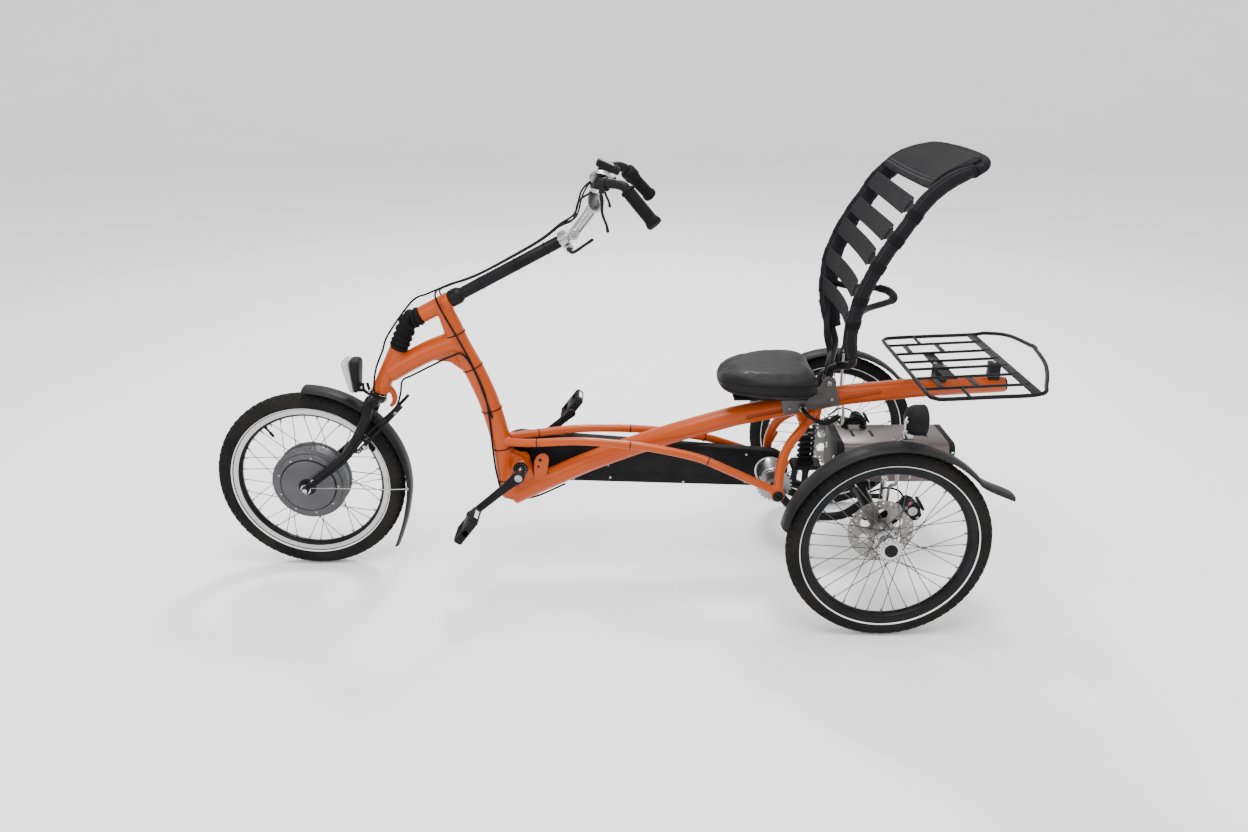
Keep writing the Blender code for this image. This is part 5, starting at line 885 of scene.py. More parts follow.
# ---------------------------------------------------------------- frame
@dataclass
class FrameAssembly:
    """Welded frame of the tricycle with its boot, chain case, ties and caps."""
    main_radius: float = 0.0265
    side_radius: float = 0.011
    stay_radius: float = 0.0125
    head_radius: float = 0.0215
    lug_spread: float = 0.1115
    lug_width: float = 0.022
    voxel: float = 0.0027

    def tower_path(self) -> list[Vector]:
        """Middle line of the upright front tube."""
        return smooth([fore(0.389, 0.722), fore(0.403, 0.682), fore(0.421, 0.631), fore(0.456, 0.556),
                       fore(0.485, 0.48), fore(0.505, 0.402), fore(0.518, 0.335), fore(0.525, 0.267),
                       fore(0.537, 0.205)])

    def main_path(self) -> list[Vector]:
        """Middle line of the long main tube."""
        return smooth([fore(0.537, 0.205), fore(0.6, 0.236), fore(0.66, 0.263), fore(0.74, 0.3),
                       fore(0.839, 0.339), aft(-0.545, 0.366), aft(-0.47, 0.391), aft(-0.37, 0.421), RAIL_START,
                       (RAIL_START + RAIL_END) / 2, RAIL_END, aft(0.096, 0.506), aft(0.163, 0.511),
                       aft(0.36, 0.519)])

    def side_path(self, side: Side) -> list[Vector]:
        """Middle line of a thin side tube."""
        points = [fore(0.518, 0.366, 0.012), fore(0.56, 0.368, 0.026), fore(0.611, 0.371, 0.034),
                  fore(0.713, 0.379, 0.043), fore(0.819, 0.376, 0.053),
                  fore(0.925, 0.3655, 0.063), aft(-0.433, 0.3455, 0.0735),
                  aft(-0.38, 0.329, 0.0875), aft(-0.318, 0.304, 0.0985), aft(-0.237, 0.27, self.lug_spread)]
        return smooth([mirrored(point, side) for point in points])

    def stay_path(self, side: Side) -> list[Vector]:
        """Middle line of the curved stay down to the pivot."""
        points = [aft(-0.128, 0.455, 0.004), aft(-0.139, 0.441, 0.03), aft(-0.166, 0.42, 0.062),
                  aft(-0.201, 0.385, 0.087), aft(-0.221, 0.335, 0.103), aft(-0.225, 0.268, self.lug_spread)]
        return smooth([mirrored(point, side) for point in points])

    def build_tubes(self) -> None:
        """Melts the painted tubes into one welded skin and cuts the rail's channels."""
        paint = Finishes.PAINT
        skin = Shape("frame_tubes")
        skin.rod(on_steerer(-0.13), on_steerer(0), self.head_radius, paint, 40)
        skin.rod(on_column(-0.085), on_column(0), self.head_radius, paint, 40)
        link = [fore(0.236, 0.553), fore(0.29, 0.585), fore(0.344, 0.613), fore(0.412, 0.638)]
        skin.tube(smooth(link), (0.025, 0.029), paint, 36)
        skin.tube(self.tower_path(), (0.021, 0.0255, 0.0265, 0.0265, 0.0265, 0.0275, 0.029), paint, 40)
        skin.tube(self.main_path(), [0.029, 0.028] + [self.main_radius] * 9 + [0.0255, 0.0245, 0.0205], paint, 40)
        skin.drum(BRACKET, 0.021, -0.034, 0.034, paint)
        x = SHIFT
        skin.plate([(0.52 + x, 0.345), (0.585 + x, 0.312), (0.6 + x, 0.262), (0.53 + x, 0.22)],
                   -0.0165, 0.0165, paint, 0.002)
        skin.plate([(0.352 + x, 0.59), (0.395 + x, 0.585), (0.428 + x, 0.56), (0.44 + x, 0.6),
                    (0.4 + x, 0.64)], -0.013, 0.013, paint, 0.002)
        stop = [fore(0.222, 0.524), fore(0.24, 0.499), fore(0.241, 0.475), fore(0.229, 0.461)]
        skin.tube(smooth(stop), (0.0085, 0.0075, 0.005), paint, 16)
        base = WHEELBASE + SHIFT
        skin.plate([(base - 0.172, 0.452), (base - 0.108, 0.462), (base - 0.112, 0.419), (base - 0.168, 0.419)],
                   -0.02, 0.02, paint, 0.002)
        for side in Side:
            skin.tube(self.side_path(side), self.side_radius, paint, 24)
            skin.tube(self.stay_path(side), self.stay_radius, paint, 24)
            low, high = sorted((side.value * (self.lug_spread - self.lug_width / 2),
                                side.value * (self.lug_spread + self.lug_width / 2)))
            skin.drum(PIVOT, 0.018, low, high, paint)
            brace = [(base - 0.226, 0.33), (base - 0.215, 0.352), (base - 0.196, 0.345), (base - 0.212, 0.312)]
            y = side.value * 0.099
            skin.plate(brace, y - 0.0035, y + 0.0035, paint, 0.001)
        channel = Shape("channel")
        for side in Side:
            for low, high, reach in ((0.006, 0.352, 0.0052),):
                outline = [on_rail(low, -reach), on_rail(high - 0.004, -reach)]
                outline += [on_rail(high + reach * math.cos(turn), reach * math.sin(turn)) for turn in
                            (-1.2, -0.6, 0.0, 0.6, 1.2)]
                outline += [on_rail(high - 0.004, reach), on_rail(low, reach)]
                rows = [[point + ACROSS * side.value * y for point in outline] for y in (0.0228, 0.034)]
                channel.loft(rows, paint)
        mesh = cut(fused(skin, self.voxel, 6), channel)
        piece = Shape("frame_tubes").graft(mesh, paint)
        piece.place("frame", ("front_frame", "main_tube", "side_rail_left", "side_rail_right"), "frame_paint")

    def build_fittings(self) -> None:
        """Cups, ears, tie bands, cable guides, pivot caps and the plug of the main tube."""
        ear = Shape("frame_ear")
        x = SHIFT
        outline = [(0.598 + x, 0.25), (0.6 + x, 0.312), (0.607 + x, 0.326), (0.617 + x, 0.333),
                   (0.63 + x, 0.334), (0.638 + x, 0.326), (0.639 + x, 0.314), (0.63 + x, 0.262)]
        ear.plate(outline, -0.0225, -0.018, Finishes.PAINT, 0.0014)
        for spot, size in ((fore(0.616, 0.316), 0.0048), (fore(0.611, 0.297), 0.0036)):
            ear.drum(spot, size, -0.0232, -0.017, Finishes.BLACK, 20)
        ear.place("frame", (), "frame_paint")
        cups = Shape("bracket_cups")
        for side in Side:
            low, high = sorted((side.value * 0.0338, side.value * 0.0385))
            cups.drum(BRACKET, 0.0195, low, high, Finishes.BLACK, 40)
            cups.ring(BRACKET, Finishes.STEEL, Item.ROUND, 12, 0.015, side.value * 0.0386, (0.0022, 0.0022, 0.0008),
                      math.pi / 2)
        cups.place("frame", (), "black_metal")
        ties = Shape("cable_ties")
        path = self.tower_path()
        for place in (0.2, 0.37, 0.56, 0.74, 0.9):
            index = int(place * (len(path) - 1))
            ties.band(path[index], path[index + 1] - path[index], at_each((0.0262, 0.027, 0.0275, 0.0288), 100)[
                int(place * 99)], 0.0028, 0.0011, Finishes.CABLE)
        for side in Side:
            path = self.side_path(side)
            for place in (0.235, 0.485, 0.74):
                index = int(place * (len(path) - 1))
                ties.band(path[index], path[index + 1] - path[index], self.side_radius + 0.0002, 0.0026, 0.001,
                          Finishes.CABLE)
        path = self.main_path()
        for place in (0.2, 0.27):
            index = int(place * (len(path) - 1))
            ties.block(path[index] + Vector((0.006, 0.004, -0.0285)), (0.014, 0.012, 0.006), Finishes.PLASTIC)
            ties.bolt(path[index] + Vector((0.006, -0.003, -0.029)), -ACROSS, 0.0022, 0.001, Finishes.STEEL)
        ties.place("frame", (), "black_plastic")
        caps = Shape("pivot_caps")
        reach = self.lug_spread + self.lug_width / 2 + 0.0003
        caps.drum(PIVOT, 0.0075, -reach, reach, Finishes.STEEL)
        for side in Side:
            spot = PIVOT + ACROSS * side.value * reach
            caps.lathe(spot, ACROSS * side.value, [(0, 0), (0.0145, 0), (0.0145, 0.002), (0.0128, 0.0045),
                                                   (0.01, 0.006), (0.0045, 0.006), (0.0042, 0.003), (0, 0.003)],
                       Finishes.BLACK, 36)
            inward = PIVOT + ACROSS * side.value * (self.lug_spread - self.lug_width / 2)
            caps.lathe(inward, ACROSS * -side.value, [(0.0076, 0), (0.0165, 0), (0.0165, 0.0014), (0.0076, 0.0014)],
                       Finishes.PLASTIC)
        end = aft(0.36, 0.519)
        caps.rod(end - Vector((0.001, 0, 0)), end + Vector((0.0035, 0, 0.0001)), 0.0185, Finishes.PLASTIC, 36)
        caps.place("frame", ("pivot_axle",), "black_metal")

    def build_boot(self) -> None:
        """Ribbed rubber boot over the steering joint, with its two clamping bands."""
        boot = Shape("steering_boot")
        path = smooth([on_steerer(0.0012), on_steerer(0.02), on_steerer(0.046, 0.001),
                       JOINT_CENTRE + Vector((-0.001, 0, 0.0015)), on_column(-0.107, 0.001), on_column(-0.0862)], 18)
        count = len(path)
        radii = []
        for index in range(count):
            share = index / (count - 1)
            wave = 0.5 + 0.5 * math.cos(share * 2 * math.pi * 8)
            fade = min(1.0, min(share, 1 - share) * 12)
            radii.append(0.0215 + fade * (0.0045 * (1 - wave) ** 0.8 - 0.0005))
        boot.tube(path, radii, Finishes.SOFT, 36)
        for index in (4, count - 5):
            boot.band(path[index], path[index] - path[index - 1], 0.0222, 0.005, 0.0012, Finishes.CABLE)
        boot.place("frame", ("steering_boot",), "soft_rubber")

    def build_case(self) -> None:
        """Chain case with a raised panel, a lip round it and its screws."""
        case = Shape("chain_case")
        spread = []
        for inset, low, high in ((0.0, 0.0465, 0.0735), (0.009, 0.0735, 0.075), (0.009, 0.045, 0.0465)):
            outline = arc(BRACKET, 0.07 - inset, 95, 262, 28) + arc(PIVOT, 0.0525 - inset, -94, 82, 24)
            spread.append((outline, low, high))
            case.plate(outline, low, high, Finishes.PLASTIC, 0.0012)
        for low, high in ((0.044, 0.0452), (0.0748, 0.076)):
            panel = [(fore(0.64, 0).x, 0.33), (aft(-0.33, 0).x, 0.283), (aft(-0.33, 0).x, 0.243),
                     (fore(0.64, 0).x, 0.262)]
            case.plate(panel, low, high, Finishes.PLASTIC, 0.0006)
        for spot in (fore(0.628, 0.343), fore(0.628, 0.25), fore(0.8, 0.324), fore(0.8, 0.233),
                     fore(1.0, 0.312), fore(1.0, 0.219), fore(1.17, 0.301), fore(1.17, 0.219)):
            for y, out in ((0.0448, -1), (0.0752, 1)):
                case.bolt(Vector((spot.x, y, spot.z)), ACROSS * out, 0.0036, 0.0016, Finishes.STEEL)
        case.place("frame", ("chain_case_inner", "chain_case_outer"), "black_plastic")
        chain = Shape("front_chain")
        loop = arc(BRACKET, 0.061, 93, 266, 40) + arc(PIVOT, 0.041, -92, 86, 30)
        path = [Vector((x, 0.06, z)) for x, z in loop + loop[:1]]
        length = sum((b - a).length for a, b in zip(path, path[1:]))
        for shift, finish, size, gap in ((0.0, Finishes.STEEL, (0.0078, 0.006, 0.0044), 0.0127),
                                         (0.0022, Finishes.SPOKE, (0.0112, 0.001, 0.007), 0.0127),
                                         (-0.0022, Finishes.SPOKE, (0.0112, 0.001, 0.007), 0.0127)):
            chain.trail([point + ACROSS * shift for point in path], finish, Item.BLOCK, gap, size)
        LOG.info("chain run %.3f m", length)
        chain.place("frame", ("front_chain",), "steel")


# ---------------------------------------------------------------- wheels
@dataclass
class WheelAssembly:
    """One wheel: tyre with tread, rim, crossed spokes and its hub."""
    name: str
    body: str
    centre: Vector
    radius: float
    width: float
    rim_radius: float = 0.206
    rim_inner: float = 0.186
    rim_half: float = 0.0125

    def build_tyre(self, node: str) -> None:
        """Tyre carcass with tread blocks in rows and a reflective line on each side."""
        tyre = Shape(self.name + "_tyre")
        section = self.width / 2 - 0.0012
        middle = self.radius - self.width / 2 - 0.001
        profile = [(self.rim_radius + 0.0004, -0.0108)]
        profile += [(middle + section * math.cos(math.radians(angle)), section * math.sin(math.radians(angle)))
                    for angle in range(-128, 129, 8)]
        profile += [(self.rim_radius + 0.0004, 0.0108)]
        tyre.lathe(self.centre, ACROSS, profile, Finishes.RUBBER, 120)
        rows = ((0.0, 68, (0.007, 0.01, 0.0042), 0.0), (0.42, 68, (0.0062, 0.011, 0.0042), 0.5),
                (-0.42, 68, (0.0062, 0.011, 0.0042), 0.5), (0.84, 68, (0.0075, 0.0095, 0.005), 0.0),
                (-0.84, 68, (0.0075, 0.0095, 0.005), 0.0))
        for lean, count, size, offset in rows:
            reach = middle + (section - 0.0008) * math.cos(lean)
            tyre.ring(self.centre, Finishes.RUBBER, Item.BLOCK, count, reach, (section - 0.0008) * math.sin(lean),
                      (size[1], size[0], size[2]), -lean, offset * 2 * math.pi / count)
        for side in Side:
            low, high = self.rim_radius + 0.003, self.rim_radius + 0.0054
            line = []
            for reach in (low, high):
                angle = math.acos(max(-1.0, min(1.0, (reach - middle) / section)))
                line.append((reach, section * math.sin(angle)))
            out = 0.0006
            profile = [(line[0][0], side.value * (line[0][1] - 0.002)), (line[0][0], side.value * (line[0][1] + out)),
                       (line[1][0], side.value * (line[1][1] + out)), (line[1][0], side.value * (line[1][1] - 0.002))]
            tyre.lathe(self.centre, ACROSS, profile, Finishes.TAPE, 120)
        tyre.place(self.body, (node,), "tyre_rubber")

    def build_rim(self, shape: Shape, track: Finish) -> None:
        """Rim hoop with its side walls, spoke nipples and valve."""
        half, outer, inner = self.rim_half, self.rim_radius, self.rim_inner
        shape.lathe(self.centre, ACROSS, [(outer, -half * 0.86), (outer - 0.001, 0), (outer, half * 0.86),
                                          (outer - 0.001, half), (outer - 0.0125, half),
                                          (outer - 0.0145, half * 0.95), (inner + 0.004, half * 0.78),
                                          (inner, half * 0.42), (inner - 0.0004, 0), (inner, -half * 0.42),
                                          (inner + 0.004, -half * 0.78), (outer - 0.0145, -half * 0.95),
                                          (outer - 0.0125, -half), (outer - 0.001, -half)], Finishes.BLACK, 120)
        for side in Side:
            y = half * side.value
            profile = [(outer - 0.0122, y - 0.001 * side.value), (outer - 0.012, y + 0.0004 * side.value),
                       (outer + 0.0006, y + 0.0004 * side.value), (outer + 0.001, y - 0.001 * side.value)]
            shape.lathe(self.centre, ACROSS, profile, track, 120)
        shape.ring(self.centre, Finishes.STEEL, Item.ROUND, 36, inner - 0.004, 0.0, (0.0034, 0.0034, 0.011))
        turn = math.radians(-35)
        out = Vector((math.sin(turn), 0, math.cos(turn)))
        foot = self.centre + out * inner
        shape.lathe(foot, -out, [(0, 0), (0.0042, 0), (0.0042, 0.004), (0.003, 0.006), (0.003, 0.018),
                                 (0.004, 0.019), (0.004, 0.03), (0.0028, 0.034), (0, 0.034)], Finishes.PLASTIC, 16)

    def lace(self, shape: Shape, hub_radius: float, half_width: float, lead: float) -> None:
        """Adds the crossed spokes."""
        values = {"Count": 36, "Hub Radius": hub_radius, "Hub Half Width": half_width, "Rim Radius": self.rim_inner,
                  "Lead": math.radians(lead), "Thickness": 0.0022}
        mesh = PATTERNS.grow("lacing", Item.HEX, Finishes.SPOKE, values)
        shape.graft(mesh, Finishes.SPOKE, Matrix.Translation(self.centre))

    def build_motor_wheel(self) -> None:
        """Front wheel's rim and spokes, and the hub motor."""
        self.build_tyre("front_tyre")
        rim = Shape("front_rim")
        self.build_rim(rim, Finishes.SILVER)
        self.lace(rim, 0.0985, 0.0215, 15)
        rim.place(self.body, ("spoked_rim_front",), "black_metal")
        motor = Shape("front_hub_motor")
        half = [(0.0092, 0.045), (0.03, 0.045), (0.033, 0.0436), (0.069, 0.0408), (0.0712, 0.0396),
                (0.0718, 0.0372), (0.0735, 0.0364), (0.076, 0.0374), (0.085, 0.0362), (0.0868, 0.0345),
                (0.0885, 0.0345), (0.0895, 0.03), (0.096, 0.0262), (0.0998, 0.025), (0.1004, 0.0238),
                (0.1, 0.0205), (0.0965, 0.019), (0.0945, 0.015), (0.0945, 0.006), (0.0955, 0.005)]
        profile = [(radius, -y) for radius, y in half] + [(radius, y) for radius, y in half[::-1]]
        motor.lathe(self.centre, ACROSS, profile, Finishes.MOTOR, 96)
        for side in Side:
            motor.lathe(self.centre + ACROSS * side.value * 0.0448, ACROSS * side.value,
                        [(0.0092, 0), (0.0235, 0), (0.0235, 0.0012), (0.0205, 0.003), (0.0092, 0.003)],
                        Finishes.BLACK, 48)
            motor.ring(self.centre, Finishes.STEEL, Item.HEX, 9, 0.08, side.value * 0.0375,
                       (0.0052, 0.0052, 0.0028), math.pi / 2, 0.2)
            motor.ring(self.centre, Finishes.SPOKE, Item.ROUND, 18, 0.0965, side.value * 0.0258,
                       (0.003, 0.003, 0.0026), math.pi / 2)
            motor.lathe(self.centre, ACROSS, [(0.0712, side.value * 0.0385), (0.0712, side.value * 0.0376),
                                              (0.0745, side.value * 0.0376), (0.0745, side.value * 0.0368)],
                        Finishes.BLACK, 96)
        motor.place(self.body, ("hub_motor",), "motor_grey")

    def build_rear_wheel(self, side: Side) -> None:
        """Rear wheel with its hub, reflective rim line and brake disc."""
        word = side.word
        self.build_tyre("tyre_" + word)
        wheel = Shape(self.name + "_rim_and_hub")
        self.build_rim(wheel, Finishes.BLACK)
        self.lace(wheel, 0.0272, 0.0225, 62)
        outward = ACROSS * side.value
        hub = [(0.0085, -0.335), (0.0085, -0.076), (0.022, -0.076), (0.022, -0.068), (0.018, -0.06),
               (0.016, -0.034), (0.0215, -0.0305), (0.03, -0.03), (0.0304, -0.0285), (0.03, -0.0265),
               (0.02, -0.0255), (0.016, -0.022), (0.015, 0.0), (0.016, 0.017), (0.02, 0.02),
               (0.03, 0.0205), (0.0304, 0.0225), (0.03, 0.024), (0.0222, 0.025), (0.0215, 0.029),
               (0.012, 0.0292)]
        wheel.lathe(self.centre, outward, [(0.0, -0.335)] + hub + [(0.0, 0.0292)], Finishes.TURNED, 56)
        wheel.lathe(self.centre, outward, [(0, 0.0288), (0.0155, 0.0288), (0.0155, 0.0312), (0.014, 0.0326),
                                           (0.01, 0.033), (0, 0.0328)], Finishes.PLASTIC, 40)
        for y in (0.0225, -0.0283):
            wheel.ring(self.centre, Finishes.SPOKE, Item.ROUND, 18, 0.0268, side.value * y, (0.0032, 0.0032, 0.0046),
                       math.pi / 2, math.radians(5))
        wheel.ring(self.centre, Finishes.STEEL, Item.HEX, 6, 0.018, side.value * 0.0292, (0.0026, 0.0026, 0.0012),
                   math.pi / 2)
        wheel.place(self.body, ("spoked_wheel_" + word,), "silver_metal")
        disc = Shape(self.name + "_brake_disc")
        low, high = -0.073, -0.071
        disc.lathe(self.centre, outward, [(0.0223, low), (0.0798, low), (0.08, low + 0.0004), (0.08, high - 0.0004),
                                          (0.0798, high), (0.0223, high)], Finishes.ROTOR, 96)
        mesh = disc.mesh()
        holes = Shape("holes")
        y = -0.072 * side.value
        holes.ring(self.centre, Finishes.ROTOR, Item.ROUND, 6, 0.0445, y, (0.027, 0.027, 0.012), math.pi / 2)
        for count, radius, size, start in ((24, 0.0735, 0.0052, 0.0), (24, 0.0665, 0.0044, 0.13)):
            holes.ring(self.centre, Finishes.ROTOR, Item.ROUND, count, radius, y, (size, size, 0.012), math.pi / 2,
                       start)
        rotor = Shape(self.name + "_brake_disc").graft(cut(mesh, holes), Finishes.ROTOR)
        rotor.ring(self.centre, Finishes.STEEL, Item.HEX, 6, 0.0265, y + 0.0018 * side.value, (0.005, 0.005, 0.002),
                   math.pi / 2, 0.5)
        rotor.place(self.body, ("brake_disc_" + word,), "steel")


def guard_rings(centre: Vector, radius: float, stations: list[tuple[float, float, float]],
                width: float = 0.06) -> list[list[Vector]]:
    """Cross-sections of a curved mudguard with rolled edges.

    Args:
        centre: the wheel's centre.
        radius: inner radius of the guard.
        stations: (angle in degrees, extra radius, extra half width) along it.
        width: its width.

    Returns:
        Rings of points.
    """
    rings = []
    for angle, lift, widen in stations:
        out = Vector((math.cos(math.radians(angle)), 0, math.sin(math.radians(angle))))
        half = width / 2 + widen
        under, over = [], []
        for step in range(15):
            place = -1 + 2 * step / 14
            drop = 0.0075 * abs(place) ** 3
            under.append((half * place, radius + lift - drop))
            over.append((half * place, radius + lift - drop + 0.0024))
        rings.append([centre + out * reach + ACROSS * y for y, reach in under + over[::-1]])
    return rings


# ---------------------------------------------------------------- fork and front brake
@dataclass
class ForkAssembly:
    """Fork with its mudguard, headlamp, dropouts and rim brake."""
    crown_radius: float = 0.0225
    plate_at: float = 0.0545

    def leg(self, side: Side) -> list[Vector]:
        """Middle line of a fork leg."""
        points = [fore(0.19, 0.492, 0.03), fore(0.184, 0.483, 0.046), fore(0.174, 0.443, 0.052),
                  fore(0.148, 0.394, 0.054), fore(0.118, 0.349, 0.055), fore(0.076, 0.311, 0.056),
                  fore(0.036, 0.281, 0.0565), fore(0.014, 0.264, 0.0565)]
        return smooth([mirrored(point, side) for point in points])

    def build_fork(self) -> None:
        """Fork legs melted to the crown, with bearing rings, brake bosses and dropouts."""
        black = Finishes.BLACK
        skin = Shape("fork")
        skin.rod(on_steerer(-0.156), on_steerer(-0.1315), self.crown_radius, black, 36)
        skin.tube(smooth([on_steerer(-0.149, y=-0.05), on_steerer(-0.148), on_steerer(-0.149, y=0.05)]),
                  (0.0135, 0.0165, 0.0135), black, 24)
        for side in Side:
            skin.tube(self.leg(side), (0.014, 0.013, 0.0118, 0.0095), black, 24)
            skin.tube([fore(0.126, 0.36, side.value * 0.0545), fore(0.152, 0.354, side.value * 0.054)], 0.006,
                      black, 16)
            low, high = sorted((side.value * self.plate_at, side.value * (self.plate_at + 0.006)))
            outline = arc(FRONT_AXLE, 0.0165, 60, 330, 24)
            outline += [(0.03 + SHIFT, 0.262), (0.022 + SHIFT, 0.276)]
            skin.plate(outline, low, high, black, 0.001)
        fork = Shape("fork").graft(fused(skin, 0.0022, 5), black)
        fork.rod(on_steerer(-0.131), on_steerer(0.06), 0.0138, Finishes.STEEL, 24)
        fork.band(on_steerer(-0.1335), STEER_AXIS, 0.015, 0.004, 0.0072, Finishes.SILVER)
        fork.tube(smooth([on_steerer(-0.142, 0.01), fore(0.18, 0.504), fore(0.1745, 0.526)]), 0.004, black, 14)
        fork.bolt(on_steerer(-0.146, -0.021), STEER_AXIS.cross(ACROSS) * -1, 0.006, 0.004, Finishes.STEEL)
        fork.bolt(on_steerer(-0.142, 0.0205), STEER_AXIS.cross(ACROSS), 0.007, 0.005, Finishes.SILVER)
        for side in Side:
            spot = fore(0.15, 0.356, side.value * 0.057)
            fork.bolt(spot, ACROSS * side.value, 0.0052, 0.0035, Finishes.SILVER)
            guard = [fore(0.012, 0.254, side.value * 0.0615), fore(0.12, 0.2465, side.value * 0.05),
                     fore(0.2, 0.24, side.value * 0.042), fore(0.2605, 0.236, side.value * 0.0315)]
            fork.tube(smooth(guard), 0.0014, Finishes.STEEL, 10)
        fork.place("fork", ("fork",), "black_metal")
        axle = Shape("motor_axle")
        axle.drum(FRONT_AXLE, 0.008, -0.062, 0.062, Finishes.STEEL, 28)
        for side in Side:
            out = ACROSS * side.value
            face = FRONT_AXLE + out * 0.0608
            axle.lathe(face, out, [(0.0082, 0), (0.0135, 0), (0.0135, 0.0014), (0.0082, 0.0014)], Finishes.SILVER, 36)
            axle.lathe(face, out, [(0.0082, 0.0014), (0.0112, 0.0014), (0.0112, 0.007), (0.0095, 0.0082),
                                   (0.0, 0.0082)], Finishes.BLACK, 6)
            axle.lathe(face, out, [(0, 0.008), (0.0062, 0.008), (0.0062, 0.011), (0.004, 0.0118), (0, 0.0118)],
                       Finishes.SILVER, 24)
            axle.block(face + Vector((0.01, side.value * 0.001, 0.012)), (0.04, 0.0024, 0.014), Finishes.BLACK,
                       Matrix.Rotation(math.radians(-52), 3, "Y"))
            axle.bolt(face + Vector((0.021, side.value * 0.0022, 0.0262)), out, 0.004, 0.0022, Finishes.SILVER)
        axle.place("fork", ("motor_axle",), "black_metal")

    def build_mudguard(self) -> None:
        """Front mudguard with its flared flap, stays' clips and crown bracket."""
        guard = Shape("front_mudguard")
        stations = [(88.0 - 100.0 * step / 40, 0.0, 0.0) for step in range(41)]
        stations += [(-17.0, 0.0012, 0.001), (-22.0, 0.004, 0.0022), (-27.0, 0.0075, 0.0036),
                     (-32.0, 0.012, 0.0052), (-37.0, 0.018, 0.0068), (-41.0, 0.024, 0.008)]
        guard.loft(guard_rings(FRONT_AXLE, 0.2655, stations), Finishes.GUARD)
        for side in Side:
            spot = fore(0.2585, 0.236, side.value * 0.0305)
            guard.bolt(spot, ACROSS * side.value, 0.0044, 0.003, Finishes.STEEL)
        turn = math.radians(52)
        out = Vector((math.cos(turn), 0, math.sin(turn)))
        guard.block(FRONT_AXLE + out * 0.2705, (0.004, 0.024, 0.02), Finishes.STEEL,
                    Matrix.Rotation(-turn, 3, "Y"))
        guard.place("fork", ("front_mudguard",), "black_plastic")

    def build_headlamp(self) -> None:
        """Headlamp of tapered halves: a ribbed bright front and a black back."""
        levels = ((0.0, 0.3, 0.62), (0.05, 0.52, 0.72), (0.18, 0.62, 0.8), (0.4, 0.74, 0.9), (0.65, 0.9, 0.98),
                  (0.84, 1.0, 1.0), (0.93, 0.97, 0.97), (0.98, 0.86, 0.88), (1.0, 0.62, 0.7))
        low, high = 0.5045, 0.5915
        for name, finish, start, deep, slot in (("headlamp_lens", Finishes.LENS, -0.024, 0.0232, "lamp_clear"),
                                                ("headlamp_body", Finishes.PLASTIC, -0.0006, 0.0244,
                                                 "black_plastic")):
            lamp = Shape(name)
            rings = []
            for share, depth, wide in levels:
                z = low + (high - low) * share
                half, back = 0.0275 * wide, deep * depth
                x0 = start + (deep - back if start < -0.01 else 0.0)
                ring = []
                for step in range(24):
                    turn = 2 * math.pi * step / 24
                    c, s = math.cos(turn), math.sin(turn)
                    ring.append(fore(0.14 + x0 + back * (0.5 + 0.5 * math.copysign(abs(c) ** 0.45, c))
                                     + 0.004 * (1 - share), z, half * math.copysign(abs(s) ** 0.55, s)))
                rings.append(ring)
            lamp.loft(rings, finish, bevel=0.0)
            if slot == "black_plastic":
                lamp.block(fore(0.159, 0.514), (0.014, 0.012, 0.022), Finishes.PLASTIC)
                for side in Side:
                    lamp.bolt(fore(0.16, 0.516, side.value * 0.0062), ACROSS * side.value, 0.0042, 0.003,
                              Finishes.STEEL)
            lamp.place("headlamp", (name,), slot)
        bracket = Shape("headlamp_bracket")
        bracket.tube(smooth([fore(0.16, 0.512), fore(0.169, 0.501), fore(0.183, 0.493), fore(0.202, 0.49)]),
                     0.0042, Finishes.BLACK, 14)
        bracket.bolt(fore(0.186, 0.496), Vector((0, 0, 1)), 0.005, 0.0035, Finishes.STEEL)
        bracket.place("fork", (), "black_metal")

    def build_brake(self, side: Side) -> None:
        """Rim brake arm with its shoe, cable clamp and spring."""
        foot = fore(0.15, 0.356, side.value * 0.04)
        tip = fore(0.268, 0.476, side.value * 0.042)
        arm = Shape("brake_arm_" + side.word)
        arm.tube(smooth([foot - (tip - foot) * 0.06, foot, foot.lerp(tip, 0.5), tip], 8),
                 (0.007, 0.0084, 0.007, 0.0062, 0.0056), Finishes.BLACK, 16, 0.75)
        away = ((foot - FRONT_AXLE) * Vector((1, 0, 1))).normalized()
        spot = FRONT_AXLE + away * 0.1985
        along = away.cross(ACROSS)
        y = side.value * 0.019
        arm.tube([spot + along * -0.028 + ACROSS * y, spot + along * 0.028 + ACROSS * y], 0.0046, Finishes.SOFT, 12)
        arm.block(spot + ACROSS * (y + side.value * 0.003), (0.01, 0.003, 0.03), Finishes.STEEL)
        arm.rod(spot + ACROSS * y, spot + ACROSS * side.value * 0.047, 0.0034, Finishes.STEEL, 14)
        arm.lathe(spot + ACROSS * side.value * 0.044, ACROSS * side.value, [(0, 0), (0.0056, 0), (0.0056, 0.004),
                                                                            (0, 0.0045)], Finishes.SILVER, 6)
        arm.rod(spot + ACROSS * side.value * 0.04, foot, 0.0045, Finishes.BLACK, 14)
        arm.bolt(foot + ACROSS * side.value * 0.006, ACROSS * side.value, 0.0064, 0.004, Finishes.SILVER)
        arm.bolt(foot.lerp(tip, 0.86) + ACROSS * side.value * 0.004, ACROSS * side.value, 0.0046, 0.003,
                 Finishes.SILVER)
        arm.place("brake_arm_" + side.word, ("brake_arm_" + side.word,), "black_metal")


